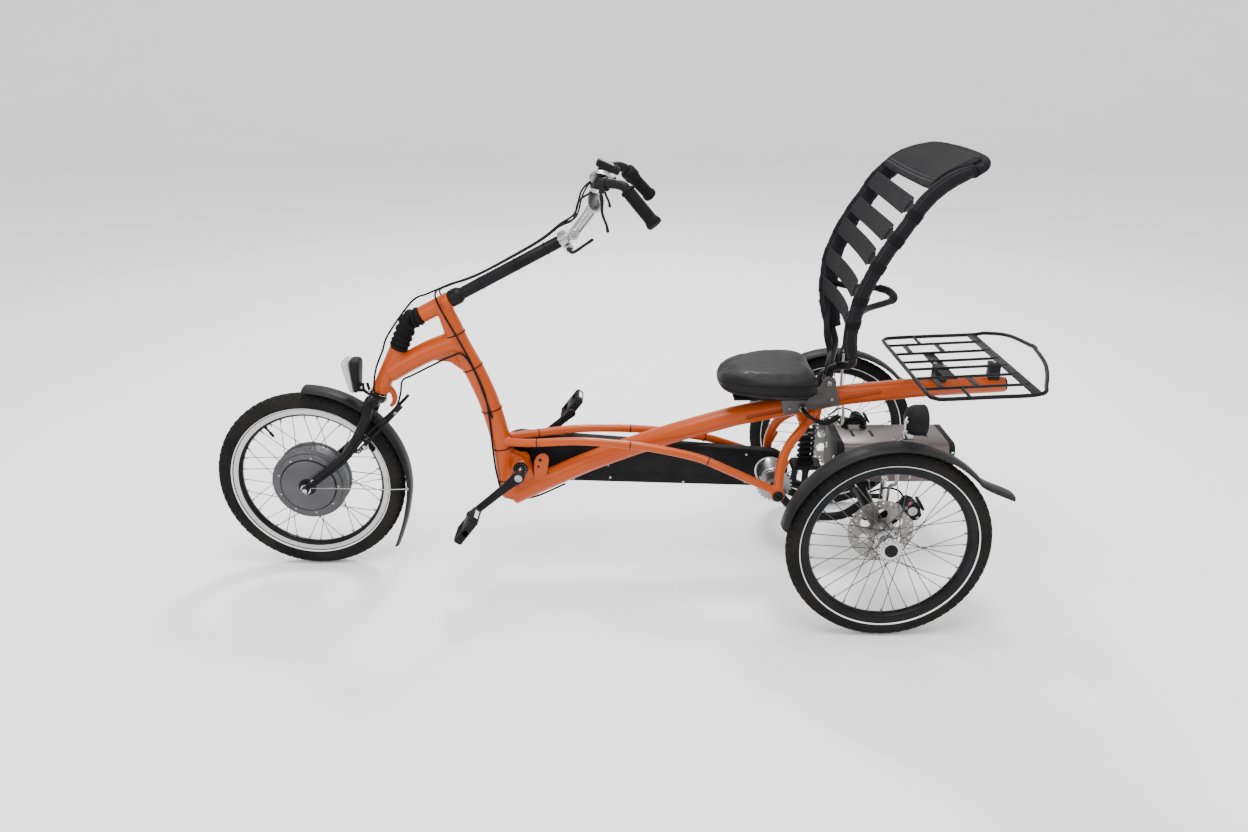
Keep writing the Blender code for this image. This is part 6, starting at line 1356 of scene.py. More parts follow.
# ---------------------------------------------------------------- steering
@dataclass
class SteeringAssembly:
    """Sliding column, stem, handlebar and everything on it."""
    bar_radius: float = 0.0111
    grip_length: float = 0.103

    def bar_path(self) -> list[Vector]:
        """Middle line of the handlebar."""
        bends = ((0, 0, 0), (0, 0.012, 0), (0, 0.025, 0), (-0.001, 0.036, 0.003), (-0.005, 0.056, 0.016),
                 (0, 0.1, 0.043), (0.02, 0.135, 0.066), (0.05, 0.155, 0.07))
        half = [BAR_CENTRE + Vector(bend) for bend in bends]
        start, axis = self.grip(Side.RIGHT)
        half += [start + axis * reach for reach in (-0.01, 0, 0.014, self.grip_length - 0.012)]
        return smooth([mirrored(point, Side.LEFT) for point in half[:0:-1]] + half, 5)

    def grip(self, side: Side) -> tuple[Vector, Vector]:
        """Start and direction of a grip."""
        start = BAR_CENTRE + Vector((0.0752, 0.166, 0.0583))
        return mirrored(start, side), mirrored(Vector((0.621, 0.355, -0.699)).normalized(), side)

    def build_column(self) -> None:
        """Column tube with its collar, the sliding inner tube with its clamp, and the clamp's lever."""
        column = Shape("column_tube")
        column.lathe(FOOT, COLUMN_AXIS, [(0.0, -0.075), (0.0145, -0.075), (0.0145, 0.002), (0.0205, 0.002),
                                         (0.0215, 0.004), (0.0215, 0.022), (0.0205, 0.026), (0.0178, 0.031),
                                         (0.0152, 0.034), (0.015, 0.311), (0.0143, 0.312), (0.012, 0.312),
                                         (0.012, 0.11), (0, 0.11)], Finishes.BLACK, 48)
        column.bolt(on_column(0.014, 0.0208), COLUMN_AXIS.cross(ACROSS), 0.0036, 0.002, Finishes.STEEL)
        for reach in (0.09, 0.19, 0.275):
            column.band(on_column(reach), COLUMN_AXIS, 0.0151, 0.0028, 0.0011, Finishes.CABLE)
        column.place("column", ("column_tube",), "black_metal")
        inner = Shape("column_inner_tube")
        inner.lathe(FOOT, COLUMN_AXIS, [(0, 0.17), (0.0115, 0.17), (0.0115, 0.337), (0.011, 0.338), (0, 0.338)],
                    Finishes.SILVER, 40)
        inner.lathe(FOOT, COLUMN_AXIS, [(0.011, 0.3155), (0.0195, 0.3155), (0.0205, 0.3165), (0.0205, 0.334),
                                        (0.0195, 0.335), (0.011, 0.335)], Finishes.SILVER, 40)
        turn = Matrix.Rotation(-math.radians(27.7), 3, "Y")
        inner.block(on_column(0.3252, -0.024), (0.0185, 0.022, 0.016), Finishes.SILVER, turn)
        inner.drum(on_column(0.3252, -0.024), 0.004, -0.0165, 0.015, Finishes.STEEL, 20)
        inner.place("column_slide", ("column_inner_tube",), "silver_metal")
        root = on_column(0.325, -0.024, -0.0185)
        lever = Shape("clamp_lever")
        lever.tube(smooth([root, root + Vector((0.012, -0.008, -0.006)), root + Vector((0.04, -0.01, 0.012)),
                           root + Vector((0.058, -0.008, 0.024))], 8), (0.0062, 0.0052, 0.0044, 0.005),
                   Finishes.BLACK, 16, 0.8, 0.004)
        lever.place("clamp_lever", ("clamp_lever",), "black_metal")

    def build_stem(self) -> None:
        """Bright stem with its hinge and four-bolt bar clamp."""
        along = (BAR_CENTRE - STEM_PIVOT).normalized()
        skin = Shape("stem")
        skin.tube([STEM_PIVOT + along * 0.003, STEM_PIVOT + along * 0.03, STEM_PIVOT + along * 0.062, BAR_CENTRE],
                  (0.0122, 0.0128, 0.0132, 0.0155), Finishes.SILVER, 28)
        skin.drum(STEM_PIVOT, 0.0135, -0.015, 0.015, Finishes.SILVER, 36)
        skin.drum(BAR_CENTRE, 0.0185, -0.022, 0.022, Finishes.SILVER, 36)
        stem = Shape("stem").graft(fused(skin, 0.0014, 4), Finishes.SILVER)
        for side in Side:
            stem.bolt(STEM_PIVOT + ACROSS * side.value * 0.0152, ACROSS * side.value, 0.007, 0.0035, Finishes.STEEL)
            for shift in (-0.0145, 0.0145):
                spot = BAR_CENTRE + along * 0.015 + ACROSS * side.value * 0.0155 + along.cross(ACROSS) * shift * 0.72
                stem.bolt(spot, along, 0.003, 0.0028, Finishes.BLACK)
        stem.place("handlebar", ("stem",), "silver_metal")

    def build_bar(self) -> None:
        """Handlebar with the lever clamps, grips and twist shifter."""
        bar = Shape("handlebar")
        bar.tube(self.bar_path(), self.bar_radius, Finishes.BLACK, 28)
        for side in Side:
            spot = mirrored(BAR_CENTRE + Vector((0.024, 0.1385, 0.0668)), side)
            along = mirrored(Vector((0.82, 0.56, 0.11)), side).normalized()
            bar.lathe(spot - along * 0.009, along, [(0.0112, 0), (0.015, 0), (0.0158, 0.0015), (0.0158, 0.0165),
                                                    (0.015, 0.018), (0.0112, 0.018)], Finishes.BLACK, 32)
            root = mirrored(BAR_CENTRE + Vector((0.016, 0.141, 0.046)), side)
            toward = root - spot
            bar.tube([spot + toward * 0.3, spot + toward * 0.9], (0.0085, 0.0066), Finishes.BLACK, 16)
            bar.rod(root - ACROSS * 0.006, root + ACROSS * 0.006, 0.0046, Finishes.STEEL, 18)
            bar.lathe(spot + toward * 0.7 + Vector((-0.016, 0, 0.001)), Vector((-1, -0.35 * side.value, 0.2)),
                      [(0, -0.012), (0.0048, -0.012), (0.0048, 0.004), (0.0034, 0.006), (0.0034, 0.012),
                       (0, 0.012)], Finishes.SILVER, 18)
        bar.place("handlebar", ("handlebar",), "black_metal")
        length = self.grip_length
        for side in Side:
            start, axis = self.grip(side)
            low = 0.0315 if side is Side.RIGHT else 0.0005
            grip = Shape("grip_" + side.word)
            profile = [(0.0116, low), (0.0158, low), (0.0168, low + 0.002), (0.0168, low + 0.006),
                       (0.0146, low + 0.0085)]
            ribs = 14
            for step in range(ribs):
                reach = low + 0.012 + (length - 0.034 - low) * step / (ribs - 1)
                profile += [(0.0146, reach - 0.0014), (0.0156, reach), (0.0146, reach + 0.0014)]
            profile += [(0.016, length - 0.016), (0.0182, length - 0.01), (0.0182, length - 0.005),
                        (0.0165, length - 0.001), (0.008, length), (0, length)]
            grip.lathe(start, axis, profile, Finishes.GRIP, 40)
            grip.place("handlebar", ("grip_" + side.word,), "soft_rubber")
        start, axis = self.grip(Side.RIGHT)
        shifter = Shape("twist_shifter")
        shifter.lathe(start, axis, [(0.0116, 0.0005), (0.018, 0.0005), (0.0198, 0.004), (0.02, 0.012),
                                    (0.019, 0.014), (0.0192, 0.016), (0.0185, 0.028), (0.017, 0.0302),
                                    (0.0116, 0.0302)], Finishes.PLASTIC, 44)
        for turn in range(18):
            out = axis.cross(Vector((0, 0, 1))).normalized()
            out.rotate(Matrix.Rotation(2 * math.pi * turn / 18, 3, axis))
            shifter.tube([start + axis * 0.0165 + out * 0.019, start + axis * 0.0275 + out * 0.0186], 0.0013,
                         Finishes.SOFT, 6)
        shifter.block(start + axis * 0.009 + Vector((-0.01, 0, 0.0165)), (0.02, 0.022, 0.01), Finishes.PLASTIC,
                      Matrix.Rotation(math.radians(24), 3, "Y"), 0.002)
        shifter.block(start + axis * 0.009 + Vector((-0.01, 0, 0.022)), (0.014, 0.015, 0.002), Finishes.TAPE,
                      Matrix.Rotation(math.radians(24), 3, "Y"), 0.0006)
        shifter.place("twist_shifter", ("twist_shifter",), "black_plastic")

    def build_levers(self) -> None:
        """Brake levers with a curved blade and a ball end."""
        for side in Side:
            root = mirrored(BAR_CENTRE + Vector((0.016, 0.141, 0.046)), side)
            tip = root + mirrored(Vector((0.016, 0.026, -0.078)), side)
            middle = root.lerp(tip, 0.5) + Vector((-0.004, 0, -0.002))
            lever = Shape("brake_lever_" + side.word)
            path = smooth([root + Vector((0, 0, 0.003)), root.lerp(tip, 0.2), middle, root.lerp(tip, 0.85), tip], 8)
            lever.tube(path, (0.0064, 0.0066, 0.005, 0.0044, 0.0044, 0.0058), Finishes.BLACK, 16, 0.7, 0.005)
            lever.place("brake_lever_" + side.word, ("brake_lever_" + side.word,), "black_metal")

    def build_bell(self) -> None:
        """Bright domed bell on its clamp, with its striker."""
        seat = BAR_CENTRE + Vector((0.0125, -0.123, 0.058))
        axis = Vector((0.25, 0.62, 0.74)).normalized()
        bell = Shape("bell")
        dome = [(0.001, 0.018)] + [(0.029 * math.cos(turn), 0.0185 + 0.0205 * math.sin(turn))
                                     for turn in (0.0, 0.15, 0.35, 0.6, 0.85, 1.1, 1.3, 1.45)]
        bell.lathe(seat, axis, dome + [(0, 0.0392)], Finishes.SILVER, 56)
        bell.lathe(seat, axis, [(0, 0.0388), (0.004, 0.0388), (0.0036, 0.0405), (0, 0.041)], Finishes.STEEL, 20)
        bell.rod(seat + axis * 0.002, seat + axis * 0.019, 0.0075, Finishes.PLASTIC, 20)
        path = self.bar_path()
        near = min(range(len(path) - 1), key=lambda index: (path[index] - seat).length)
        bell.band(path[near], path[near + 1] - path[near], 0.0112, 0.01, 0.002, Finishes.PLASTIC)
        bell.tube(smooth([seat + axis * 0.014, seat + axis * 0.016 + Vector((0.018, 0.006, 0)),
                          seat + axis * 0.022 + Vector((0.031, 0.0, 0.002))], 5), (0.003, 0.0022, 0.0034),
                  Finishes.PLASTIC, 12, 1.0, 0.003)
        bell.place("handlebar", ("bell",), "silver_metal")

    def build_display(self) -> None:
        """Display unit of the motor with a dark screen and two keys."""
        seat = BAR_CENTRE + Vector((-0.002, 0.088, 0.036))
        tilt = Matrix.Rotation(math.radians(24), 3, "Y")
        centre = seat + Vector((0.032, 0, 0.041))
        unit = Shape("display_unit")
        unit.block(centre, (0.062, 0.042, 0.018), Finishes.PLASTIC, tilt, 0.005)
        unit.block(centre + tilt @ Vector((-0.008, 0, 0.0089)), (0.038, 0.034, 0.0016), Finishes.SCREEN, tilt, 0.0006)
        for y in (-0.01, 0.01):
            unit.block(centre + tilt @ Vector((0.021, y, 0.0092)), (0.009, 0.012, 0.0026), Finishes.SOFT, tilt, 0.001)
        unit.rod(seat + Vector((0.002, 0, 0.004)), seat + Vector((0.016, 0, 0.038)), 0.008, Finishes.PLASTIC, 24)
        path = self.bar_path()
        near = min(range(len(path) - 1), key=lambda index: (path[index] - seat).length)
        unit.band(path[near], path[near + 1] - path[near], 0.0112, 0.014, 0.0026, Finishes.PLASTIC)
        unit.place("handlebar", ("display_unit",), "black_plastic")


# ---------------------------------------------------------------- cranks and gear hub
@dataclass
class DriveAssembly:
    """Cranks, pedals and the geared hub on the pivot axle."""
    crank_length: float = 0.165
    crank_angle: float = math.radians(219)
    inset: float = 0.079
    pedal_width: float = 0.086
    pedal_length: float = 0.082
    pedal_tilt: float = math.radians(52)

    def crank_end(self, side: Side) -> Vector:
        """Middle of the pedal axle on the crank's plane."""
        angle = self.crank_angle + (math.pi if side is Side.RIGHT else 0)
        return BRACKET + Vector((math.cos(angle), 0, math.sin(angle))) * self.crank_length

    def build_crank(self, side: Side) -> None:
        """Forged crank with its bolt; the right one carries the chainring."""
        end = self.crank_end(side)
        along = (end - BRACKET).normalized()
        rings = []
        for distance, half, shift, thick in ((-0.016, 0.006, 0.0, 0.012), (-0.012, 0.0115, 0.0, 0.0148),
                                             (-0.005, 0.0155, 0.0, 0.016), (0.01, 0.016, 0.0, 0.016),
                                             (0.022, 0.0138, 0.08, 0.015), (0.04, 0.0118, 0.25, 0.0138),
                                             (0.09, 0.0106, 0.62, 0.0122), (0.145, 0.01, 1.0, 0.0112),
                                             (0.158, 0.011, 1.0, 0.012), (0.169, 0.0118, 1.0, 0.012),
                                             (0.175, 0.0085, 1.0, 0.0115), (0.178, 0.0045, 1.0, 0.01)):
            near = (self.inset + 0.012 * shift) * side.value
            point = BRACKET + along * distance + ACROSS * near
            wide, out = along.cross(ACROSS) * half, ACROSS * thick * side.value
            ring = []
            for step in range(16):
                turn = 2 * math.pi * (step + 0.5) / 16
                c, s = math.cos(turn), math.sin(turn)
                ring.append(point + wide * math.copysign(abs(c) ** 0.6, c)
                            + out * (0.5 + 0.5 * math.copysign(abs(s) ** 0.6, s)))
            rings.append(ring)
        crank = Shape("crank_" + side.word)
        crank.loft(rings, Finishes.BLACK)
        face = BRACKET + ACROSS * side.value * (self.inset + 0.0158)
        crank.lathe(face, ACROSS * side.value, [(0, 0), (0.01, 0), (0.01, 0.0012), (0.0085, 0.0022),
                                                (0.005, 0.0022), (0.0046, 0.0006), (0, 0.0006)], Finishes.STEEL, 28)
        if side is Side.RIGHT:
            reach = self.inset + 0.008
            crank.drum(BRACKET, 0.0085, -reach, reach, Finishes.STEEL, 24)
            crank.drum(BRACKET, 0.05, 0.0585, 0.0615, Finishes.BLACK, 48)
            crank.ring(BRACKET, Finishes.STEEL, Item.BLOCK, 28, 0.053, 0.06, (0.0055, 0.0026, 0.0065))
        crank.place("cranks", ("crank_" + side.word,), "black_metal")

    def build_pedal(self, side: Side) -> None:
        """Caged platform pedal with grip teeth, reflectors and an axle."""
        centre = self.crank_end(side)
        inner = (self.inset + 0.0243) * side.value
        start = inner + 0.01 * side.value
        turn = Matrix.Rotation(-self.pedal_tilt, 3, "Y")
        middle = Vector((centre.x, start + self.pedal_width * side.value / 2, centre.z))
        pedal = Shape("pedal_" + side.word)
        wide, length = self.pedal_width, self.pedal_length
        for y in (-1, 1):
            pedal.block(middle + turn @ Vector((0, y * (wide / 2 - 0.0065), 0)), (length * 0.86, 0.013, 0.0215),
                        Finishes.PLASTIC, turn, 0.004)
        for x in (-1, 1):
            pedal.block(middle + turn @ Vector((x * (length / 2 - 0.006), 0, 0)), (0.012, wide * 0.86, 0.0205),
                        Finishes.PLASTIC, turn, 0.004)
            pedal.block(middle + turn @ Vector((x * (length / 2 - 0.0008), 0, 0)), (0.0028, wide * 0.44, 0.0105),
                        Finishes.TAPE, turn, 0.0008)
            for z in (-1, 1):
                for step in range(7):
                    spot = Vector((x * (length / 2 - 0.007), (step - 3) * wide * 0.12, z * 0.0108))
                    pedal.block(middle + turn @ spot, (0.005, 0.005, 0.003), Finishes.PLASTIC, turn, 0.0008)
        pedal.block(middle, (0.024, wide * 0.9, 0.02), Finishes.PLASTIC, turn, 0.005)
        pedal.rod(Vector((centre.x, inner, centre.z)), Vector((centre.x, start + 0.002 * side.value, centre.z)),
                  0.0072, Finishes.STEEL, 24)
        pedal.rod(middle + ACROSS * side.value * (wide / 2 - 0.002), middle + ACROSS * side.value * wide / 2, 0.009,
                  Finishes.PLASTIC, 24)
        pedal.place("pedal_" + side.word, ("pedal_" + side.word,), "black_plastic")

    def build_hub(self) -> None:
        """Geared hub: shell, flanges and both sprockets."""
        hub = Shape("gear_hub")
        half = [(0.0085, 0.066), (0.015, 0.066), (0.015, 0.05), (0.021, 0.049), (0.0225, 0.0445),
                (0.029, 0.0438), (0.03, 0.0415), (0.0395, 0.04), (0.04, 0.036), (0.0372, 0.0345),
                (0.036, 0.03)]
        hub.lathe(PIVOT, ACROSS, [(r, -y) for r, y in half] + [(r, y) for r, y in half[::-1]], Finishes.TURNED, 64)
        for y, reach, teeth in ((0.06, 0.033, 18), (-0.054, 0.044, 24)):
            hub.drum(PIVOT, reach - 0.002, y - 0.0018, y + 0.0018, Finishes.STEEL, 48)
            hub.ring(PIVOT, Finishes.STEEL, Item.BLOCK, teeth, reach, y, (0.005, 0.0024, 0.0055))
        for side in Side:
            hub.ring(PIVOT, Finishes.SPOKE, Item.ROUND, 18, 0.035, side.value * 0.0403, (0.0034, 0.0034, 0.001),
                     math.pi / 2)
        hub.place("gear_hub", ("gear_hub",), "silver_metal")


# ---------------------------------------------------------------- rear unit
@dataclass
class RearAssembly:
    """Sprung rear unit: axle tube, swing arms, battery, spring, calipers, mudguards and tail light."""
    axle_half: float = 0.262
    axle_radius: float = 0.0175
    arm_radius: float = 0.0115
    arm_y: float = 0.088

    def build_carrier(self) -> None:
        """Axle tube melted to its swing arms, brake plates, stays and cradle."""
        black = Finishes.BLACK
        skin = Shape("axle_carrier")
        skin.drum(REAR_AXLE, self.axle_radius, -self.axle_half, self.axle_half, black, 40)
        skin.drum(REAR_AXLE, 0.0245, -0.034, 0.034, black, 40)
        base = WHEELBASE + SHIFT
        for side in Side:
            s = side.value
            arm = smooth([PIVOT + ACROSS * s * self.arm_y, aft(-0.18, 0.208, s * self.arm_y),
                          aft(-0.12, 0.184, s * self.arm_y), aft(-0.05, 0.186, s * self.arm_y),
                          aft(0.0, 0.22, s * self.arm_y)])
            skin.tube(arm, self.arm_radius, black, 24)
            low, high = sorted((s * (self.arm_y - 0.0085), s * (self.arm_y + 0.0085)))
            skin.drum(PIVOT, 0.019, low, high, black)
            edge = s * self.axle_half
            low, high = sorted((edge - s * 0.0095, edge - s * 0.0035))
            skin.plate([(base - 0.02, 0.236), (base + 0.02, 0.23), (base + 0.074, 0.29), (base + 0.046, 0.318),
                        (base - 0.012, 0.27)], low, high, black)
            skin.block(aft(0.0, 0.264, s * 0.06), (0.08, 0.014, 0.015), black)
            skin.tube(smooth([aft(-0.15, 0.195, s * self.arm_y), aft(-0.15, 0.25, s * 0.066),
                              aft(-0.14, 0.293, s * 0.02)]), 0.009, black, 18)
        skin.plate([(base - 0.18, 0.288), (base - 0.104, 0.288), (base - 0.096, 0.294), (base - 0.104, 0.3),
                    (base - 0.172, 0.3)], -0.03, 0.03, black)
        carrier = Shape("axle_carrier").graft(fused(skin, 0.0024, 5), black)
        for side in Side:
            s = side.value
            guard_y = s * (TRACK / 2 - 0.0353)
            edge = s * self.axle_half
            stay = [aft(0.014, 0.275, edge - s * 0.0085), aft(0.014, 0.33, edge - s * 0.0085),
                    aft(0.014, 0.356, edge + s * 0.002), aft(0.014, 0.384, guard_y - s * 0.006),
                    aft(0.014, 0.42, guard_y), aft(0.014, 0.4996, guard_y)]
            carrier.tube(smooth(stay, 5), 0.0042, Finishes.STEEL, 14)
            carrier.rod(aft(0.05, 0.233, s * 0.092), aft(0.05, 0.33, s * 0.092), 0.0062, Finishes.SILVER, 24)
            carrier.rod(aft(0.006, 0.245, s * 0.092), aft(0.05, 0.242, s * 0.092), 0.007, black, 20)
            carrier.bolt(aft(0.05, 0.298, s * 0.0985), ACROSS * s, 0.0075, 0.004, Finishes.SILVER)
            carrier.tube(smooth([aft(-0.06, 0.199, s * 0.105), aft(0.01, 0.212, s * 0.17),
                                 aft(0.018, 0.233, s * 0.232)], 6), 0.003, Finishes.CABLE, 10)
            for x, z in ((0.0, 0.25), (0.04, 0.27)):
                carrier.bolt(aft(x, z, s * (self.axle_half - 0.0035)), ACROSS * s, 0.005, 0.003, Finishes.STEEL)
        carrier.place("rear_unit", ("axle_carrier",), "black_metal")

    def build_spring(self) -> None:
        """Coil spring between the two seats, with its damper and dished ends."""
        low, high = 0.3003, 0.4182
        spring = Shape("coil_spring")
        points, coils = [], 6.5
        steps = int(coils * 22)
        for step in range(steps + 1):
            share = step / steps
            turn = 2 * math.pi * coils * share
            height = low + 0.01 + (high - low - 0.02) * share
            points.append(aft(-0.14 + 0.019 * math.cos(turn), height, 0.019 * math.sin(turn)))
        spring.tube(points, 0.0038, Finishes.BLACK, 12, 1.0, 0.003)
        foot = aft(-0.14, low)
        up = Vector((0, 0, 1))
        tall = high - low
        spring.lathe(foot, up, [(0, 0.0), (0.0225, 0.0), (0.023, 0.001), (0.023, 0.0045), (0.0195, 0.006),
                                (0.013, 0.007), (0.0125, 0.07), (0.011, 0.072), (0, 0.072)], Finishes.PLASTIC, 40)
        spring.lathe(foot, up, [(0, 0.06), (0.0055, 0.06), (0.0055, tall - 0.008), (0.014, tall - 0.007),
                                (0.022, tall - 0.005), (0.023, tall - 0.0035), (0.0225, tall), (0, tall)],
                     Finishes.STEEL, 40)
        item = spring.item()
        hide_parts("coil_spring")
        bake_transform(item)
        LOG.info("coil_spring between rear_unit and frame")

    def build_battery(self) -> None:
        """Battery of drawn alloy with grooved sides, dark end caps, a handle, keys and a charge light."""
        battery = Shape("battery")
        x0, x1, floor, tall, half = -0.074, 0.23, 0.272, 0.11, 0.078

        def section(shrink: float) -> list[tuple[float, float]]:
            """Half-rounded outline (y, z) with two shallow grooves on each side."""
            spots = [(half - 0.012, 0.0), (half - 0.003, 0.004), (half, 0.014), (half, 0.03), (half - 0.0014, 0.032),
                     (half - 0.0014, 0.036), (half, 0.038), (half, 0.07), (half - 0.0014, 0.072),
                     (half - 0.0014, 0.076), (half, 0.078), (half, 0.092), (half - 0.004, 0.1045),
                     (half - 0.016, tall)]
            outline = spots + [(-y, z) for y, z in spots[::-1]]
            return [(y * shrink, tall / 2 + (z - tall / 2) * shrink) for y, z in outline]

        for low, high, shrink, finish in ((x0 + 0.018, x1 - 0.014, 0.985, Finishes.CASE),
                                          (x0, x0 + 0.019, 1.0, Finishes.PLASTIC),
                                          (x1 - 0.015, x1, 1.0, Finishes.PLASTIC)):
            rings = [[aft(x, floor + z, y) for y, z in section(shrink)] for x in (low, high)]
            battery.loft(rings, finish, bevel=0.0012)
        battery.bolt(aft(x0, 0.33, -0.045), Vector((-1, 0, 0)), 0.008, 0.0012, Finishes.SILVER)
        battery.bolt(aft(x0, 0.33, 0.045), Vector((-1, 0, 0)), 0.008, 0.0012, Finishes.SILVER)
        battery.bolt(aft(x0 + 0.009, 0.34, -half), -ACROSS, 0.006, 0.0004, Finishes.SILVER)
        battery.block(aft(x1 - 0.0065, 0.36, -half), (0.006, 0.0014, 0.004), Finishes.LED, None, 0.0004)
        battery.drum(aft(x1 - 0.0068, 0.34, 0), 0.0034, -half - 0.0005, -half + 0.001, Finishes.STEEL, 20)
        for x in (-0.02, 0.03, 0.17):
            battery.block(aft(x, floor + tall - 0.0006, 0), (0.008, 0.04, 0.0016), Finishes.PLASTIC)
        knob = smooth([aft(-0.03, 0.3795, 0.045), aft(-0.026, 0.398, 0.045), aft(-0.006, 0.406, 0.045),
                       aft(0.014, 0.398, 0.045), aft(0.018, 0.3795, 0.045)], 6)
        battery.tube(knob, 0.0058, Finishes.SOFT, 16)
        for x in (-0.03, 0.018):
            battery.lathe(aft(x, 0.38, 0.045), Vector((0, 0, 1)), [(0, 0), (0.01, 0), (0.01, 0.004), (0.006, 0.008),
                                                                    (0, 0.008)], Finishes.PLASTIC, 24)
        battery.place("rear_unit", ("battery",), "battery_case")

    def build_caliper(self, side: Side) -> None:
        """Disc caliper: two halves over the disc, its arm, adjuster and bolts."""
        s = side.value
        inner = s * (self.axle_half - 0.0032)
        centre_y = s * (TRACK / 2 - 0.072)
        outer = 2 * centre_y - inner
        outline = [(0.041, 0.313), (0.049, 0.299), (0.058, 0.2895), (0.07, 0.277), (0.082, 0.2785),
                   (0.09, 0.29), (0.085, 0.311), (0.07, 0.327), (0.056, 0.332), (0.045, 0.325)]
        outline = [(WHEELBASE + SHIFT + x, z) for x, z in outline]
        caliper = Shape("brake_caliper_" + side.word)
        for low, high, finish in ((inner, centre_y - s * 0.0024, Finishes.BLACK),
                                  (centre_y + s * 0.0024, outer, Finishes.BLACK)):
            caliper.plate(outline, *sorted((low, high)), finish, 0.0016)
        bridge = [(0.0775, 0.324), (0.09, 0.303), (0.0965, 0.306), (0.084, 0.329)]
        caliper.plate([(WHEELBASE + SHIFT + x, z) for x, z in bridge], *sorted((inner, outer)), Finishes.BLACK, 0.001)
        out = ACROSS * s
        caliper.lathe(Vector((aft(0.066, 0).x, outer, 0.304)), out, [(0, 0), (0.0115, 0), (0.0115, 0.003),
                                                                      (0.0095, 0.0045), (0.005, 0.0045),
                                                                      (0.0045, 0.0025), (0, 0.0025)],
                      Finishes.SILVER, 36)
        caliper.block(Vector((aft(0.058, 0).x, outer + s * 0.0008, 0.3245)), (0.012, 0.002, 0.005), Finishes.RED,
                      Matrix.Rotation(math.radians(-30), 3, "Y"), 0.0006)
        for x, z in ((0.05, 0.313), (0.08, 0.286)):
            caliper.bolt(Vector((aft(x, 0).x, outer, z)), out, 0.0042, 0.003, Finishes.STEEL)
        caliper.tube(smooth([Vector((aft(0.05, 0).x, inner + s * 0.004, 0.328)),
                             Vector((aft(0.034, 0).x, inner + s * 0.003, 0.345)),
                             Vector((aft(0.004, 0).x, inner + s * 0.002, 0.35)),
                             Vector((aft(-0.03, 0).x, inner - s * 0.01, 0.333))], 6), 0.0024, Finishes.CABLE, 10)
        caliper.place("rear_unit", ("brake_caliper_" + side.word,), "black_metal")

    def build_mudguard(self, side: Side) -> None:
        """Rear mudguard with its spoon-shaped tail."""
        centre = REAR_AXLE + ACROSS * side.value * TRACK / 2
        stations = [(168.5 - 127.5 * step / 46, 0.0, 0.0) for step in range(47)]
        stations += [(38.5, 0.004, 0.0003), (36.0, 0.0095, 0.001), (33.0, 0.018, 0.002), (30.0, 0.029, 0.0032),
                     (28.0, 0.037, 0.0038), (26.0, 0.045, 0.002)]
        guard = Shape("mudguard_" + side.word)
        guard.loft(guard_rings(centre, 0.2585, stations), Finishes.GUARD)
        for angle in (87.0, 92.0):
            out = Vector((math.cos(math.radians(angle)), 0, math.sin(math.radians(angle))))
            guard.bolt(centre + out * 0.2606 + ACROSS * side.value * -0.02, out, 0.0045, 0.003, Finishes.STEEL)
        guard.place("rear_unit", ("mudguard_" + side.word,), "black_plastic")

    def build_tail_light(self) -> None:
        """Round tail light with a red lens behind, on a bright bracket."""
        centre = aft(0.033, 0.556, -TRACK / 2 + 0.012)
        lamp = Shape("tail_light")
        back = Vector((1, 0, 0))
        lamp.lathe(centre, back, [(0, -0.024), (0.01, -0.0236), (0.02, -0.0215), (0.028, -0.017),
                                  (0.033, -0.01), (0.0353, -0.001), (0.0355, 0.019), (0.0335, 0.0215),
                                  (0.0325, 0.02), (0.0, 0.02)], Finishes.PLASTIC, 56)
        lamp.lathe(centre, back, [(0, 0.0195), (0.0322, 0.0195), (0.0318, 0.0215), (0.029, 0.0235), (0.02, 0.025),
                                  (0, 0.0258)], Finishes.RED, 56)
        lamp.block(centre + Vector((-0.014, 0, -0.038)), (0.024, 0.016, 0.016), Finishes.SILVER, None, 0.002)
        lamp.tube(smooth([centre + Vector((-0.016, -0.007, -0.044)), centre + Vector((-0.024, -0.013, -0.024)),
                          centre + Vector((-0.026, -0.014, 0.004)), centre + Vector((-0.02, -0.01, 0.01))], 6),
                  0.0034, Finishes.SILVER, 12)
        for z in (-0.02, 0.004):
            lamp.bolt(centre + Vector((-0.026, -0.016, z)), -ACROSS, 0.0052, 0.004, Finishes.SILVER)
        lamp.place("rear_unit", ("tail_light",), "black_plastic")


# ---------------------------------------------------------------- seat
def puffed(cage: Shape, voxel: float, pressure: float, reach: float) -> bpy.types.Mesh:
    """Padded form: the cage remeshed, filled with air as cloth, and held within a reach.

    Args:
        cage: closed form, a little smaller than the pad.
        voxel: size of the cloth's mesh.
        pressure: air pressure of the cloth.
        reach: how far a point may move.

    Returns:
        A smooth mesh.
    """
    start = fused(cage, voxel, 3)
    holder = bpy.data.objects.new("pad", start)
    bpy.context.scene.collection.objects.link(holder)
    cloth = holder.modifiers.new("air", "CLOTH")
    cloth.settings.use_pressure = True
    cloth.settings.uniform_pressure_force = pressure
    cloth.settings.effector_weights.gravity = 0
    cloth.settings.quality = 5
    rest = [vertex.co.copy() for vertex in start.vertices]
    for step in range(1, 21):
        bpy.context.scene.frame_set(step)
        bpy.context.view_layer.update()
    swollen = evaluated(holder)
    holder.modifiers.clear()
    bpy.context.scene.frame_set(1)
    for vertex, before, after in zip(start.vertices, rest, swollen.vertices):
        moved = after.co - before
        vertex.co = before + moved * min(1.0, reach / max(moved.length, 1e-9))
    soften = holder.modifiers.new("soften", "SMOOTH")
    soften.iterations = 2
    finer = holder.modifiers.new("finer", "SUBSURF")
    finer.levels = finer.render_levels = 1
    mesh = evaluated(holder)
    bpy.data.objects.remove(holder)
    return mesh


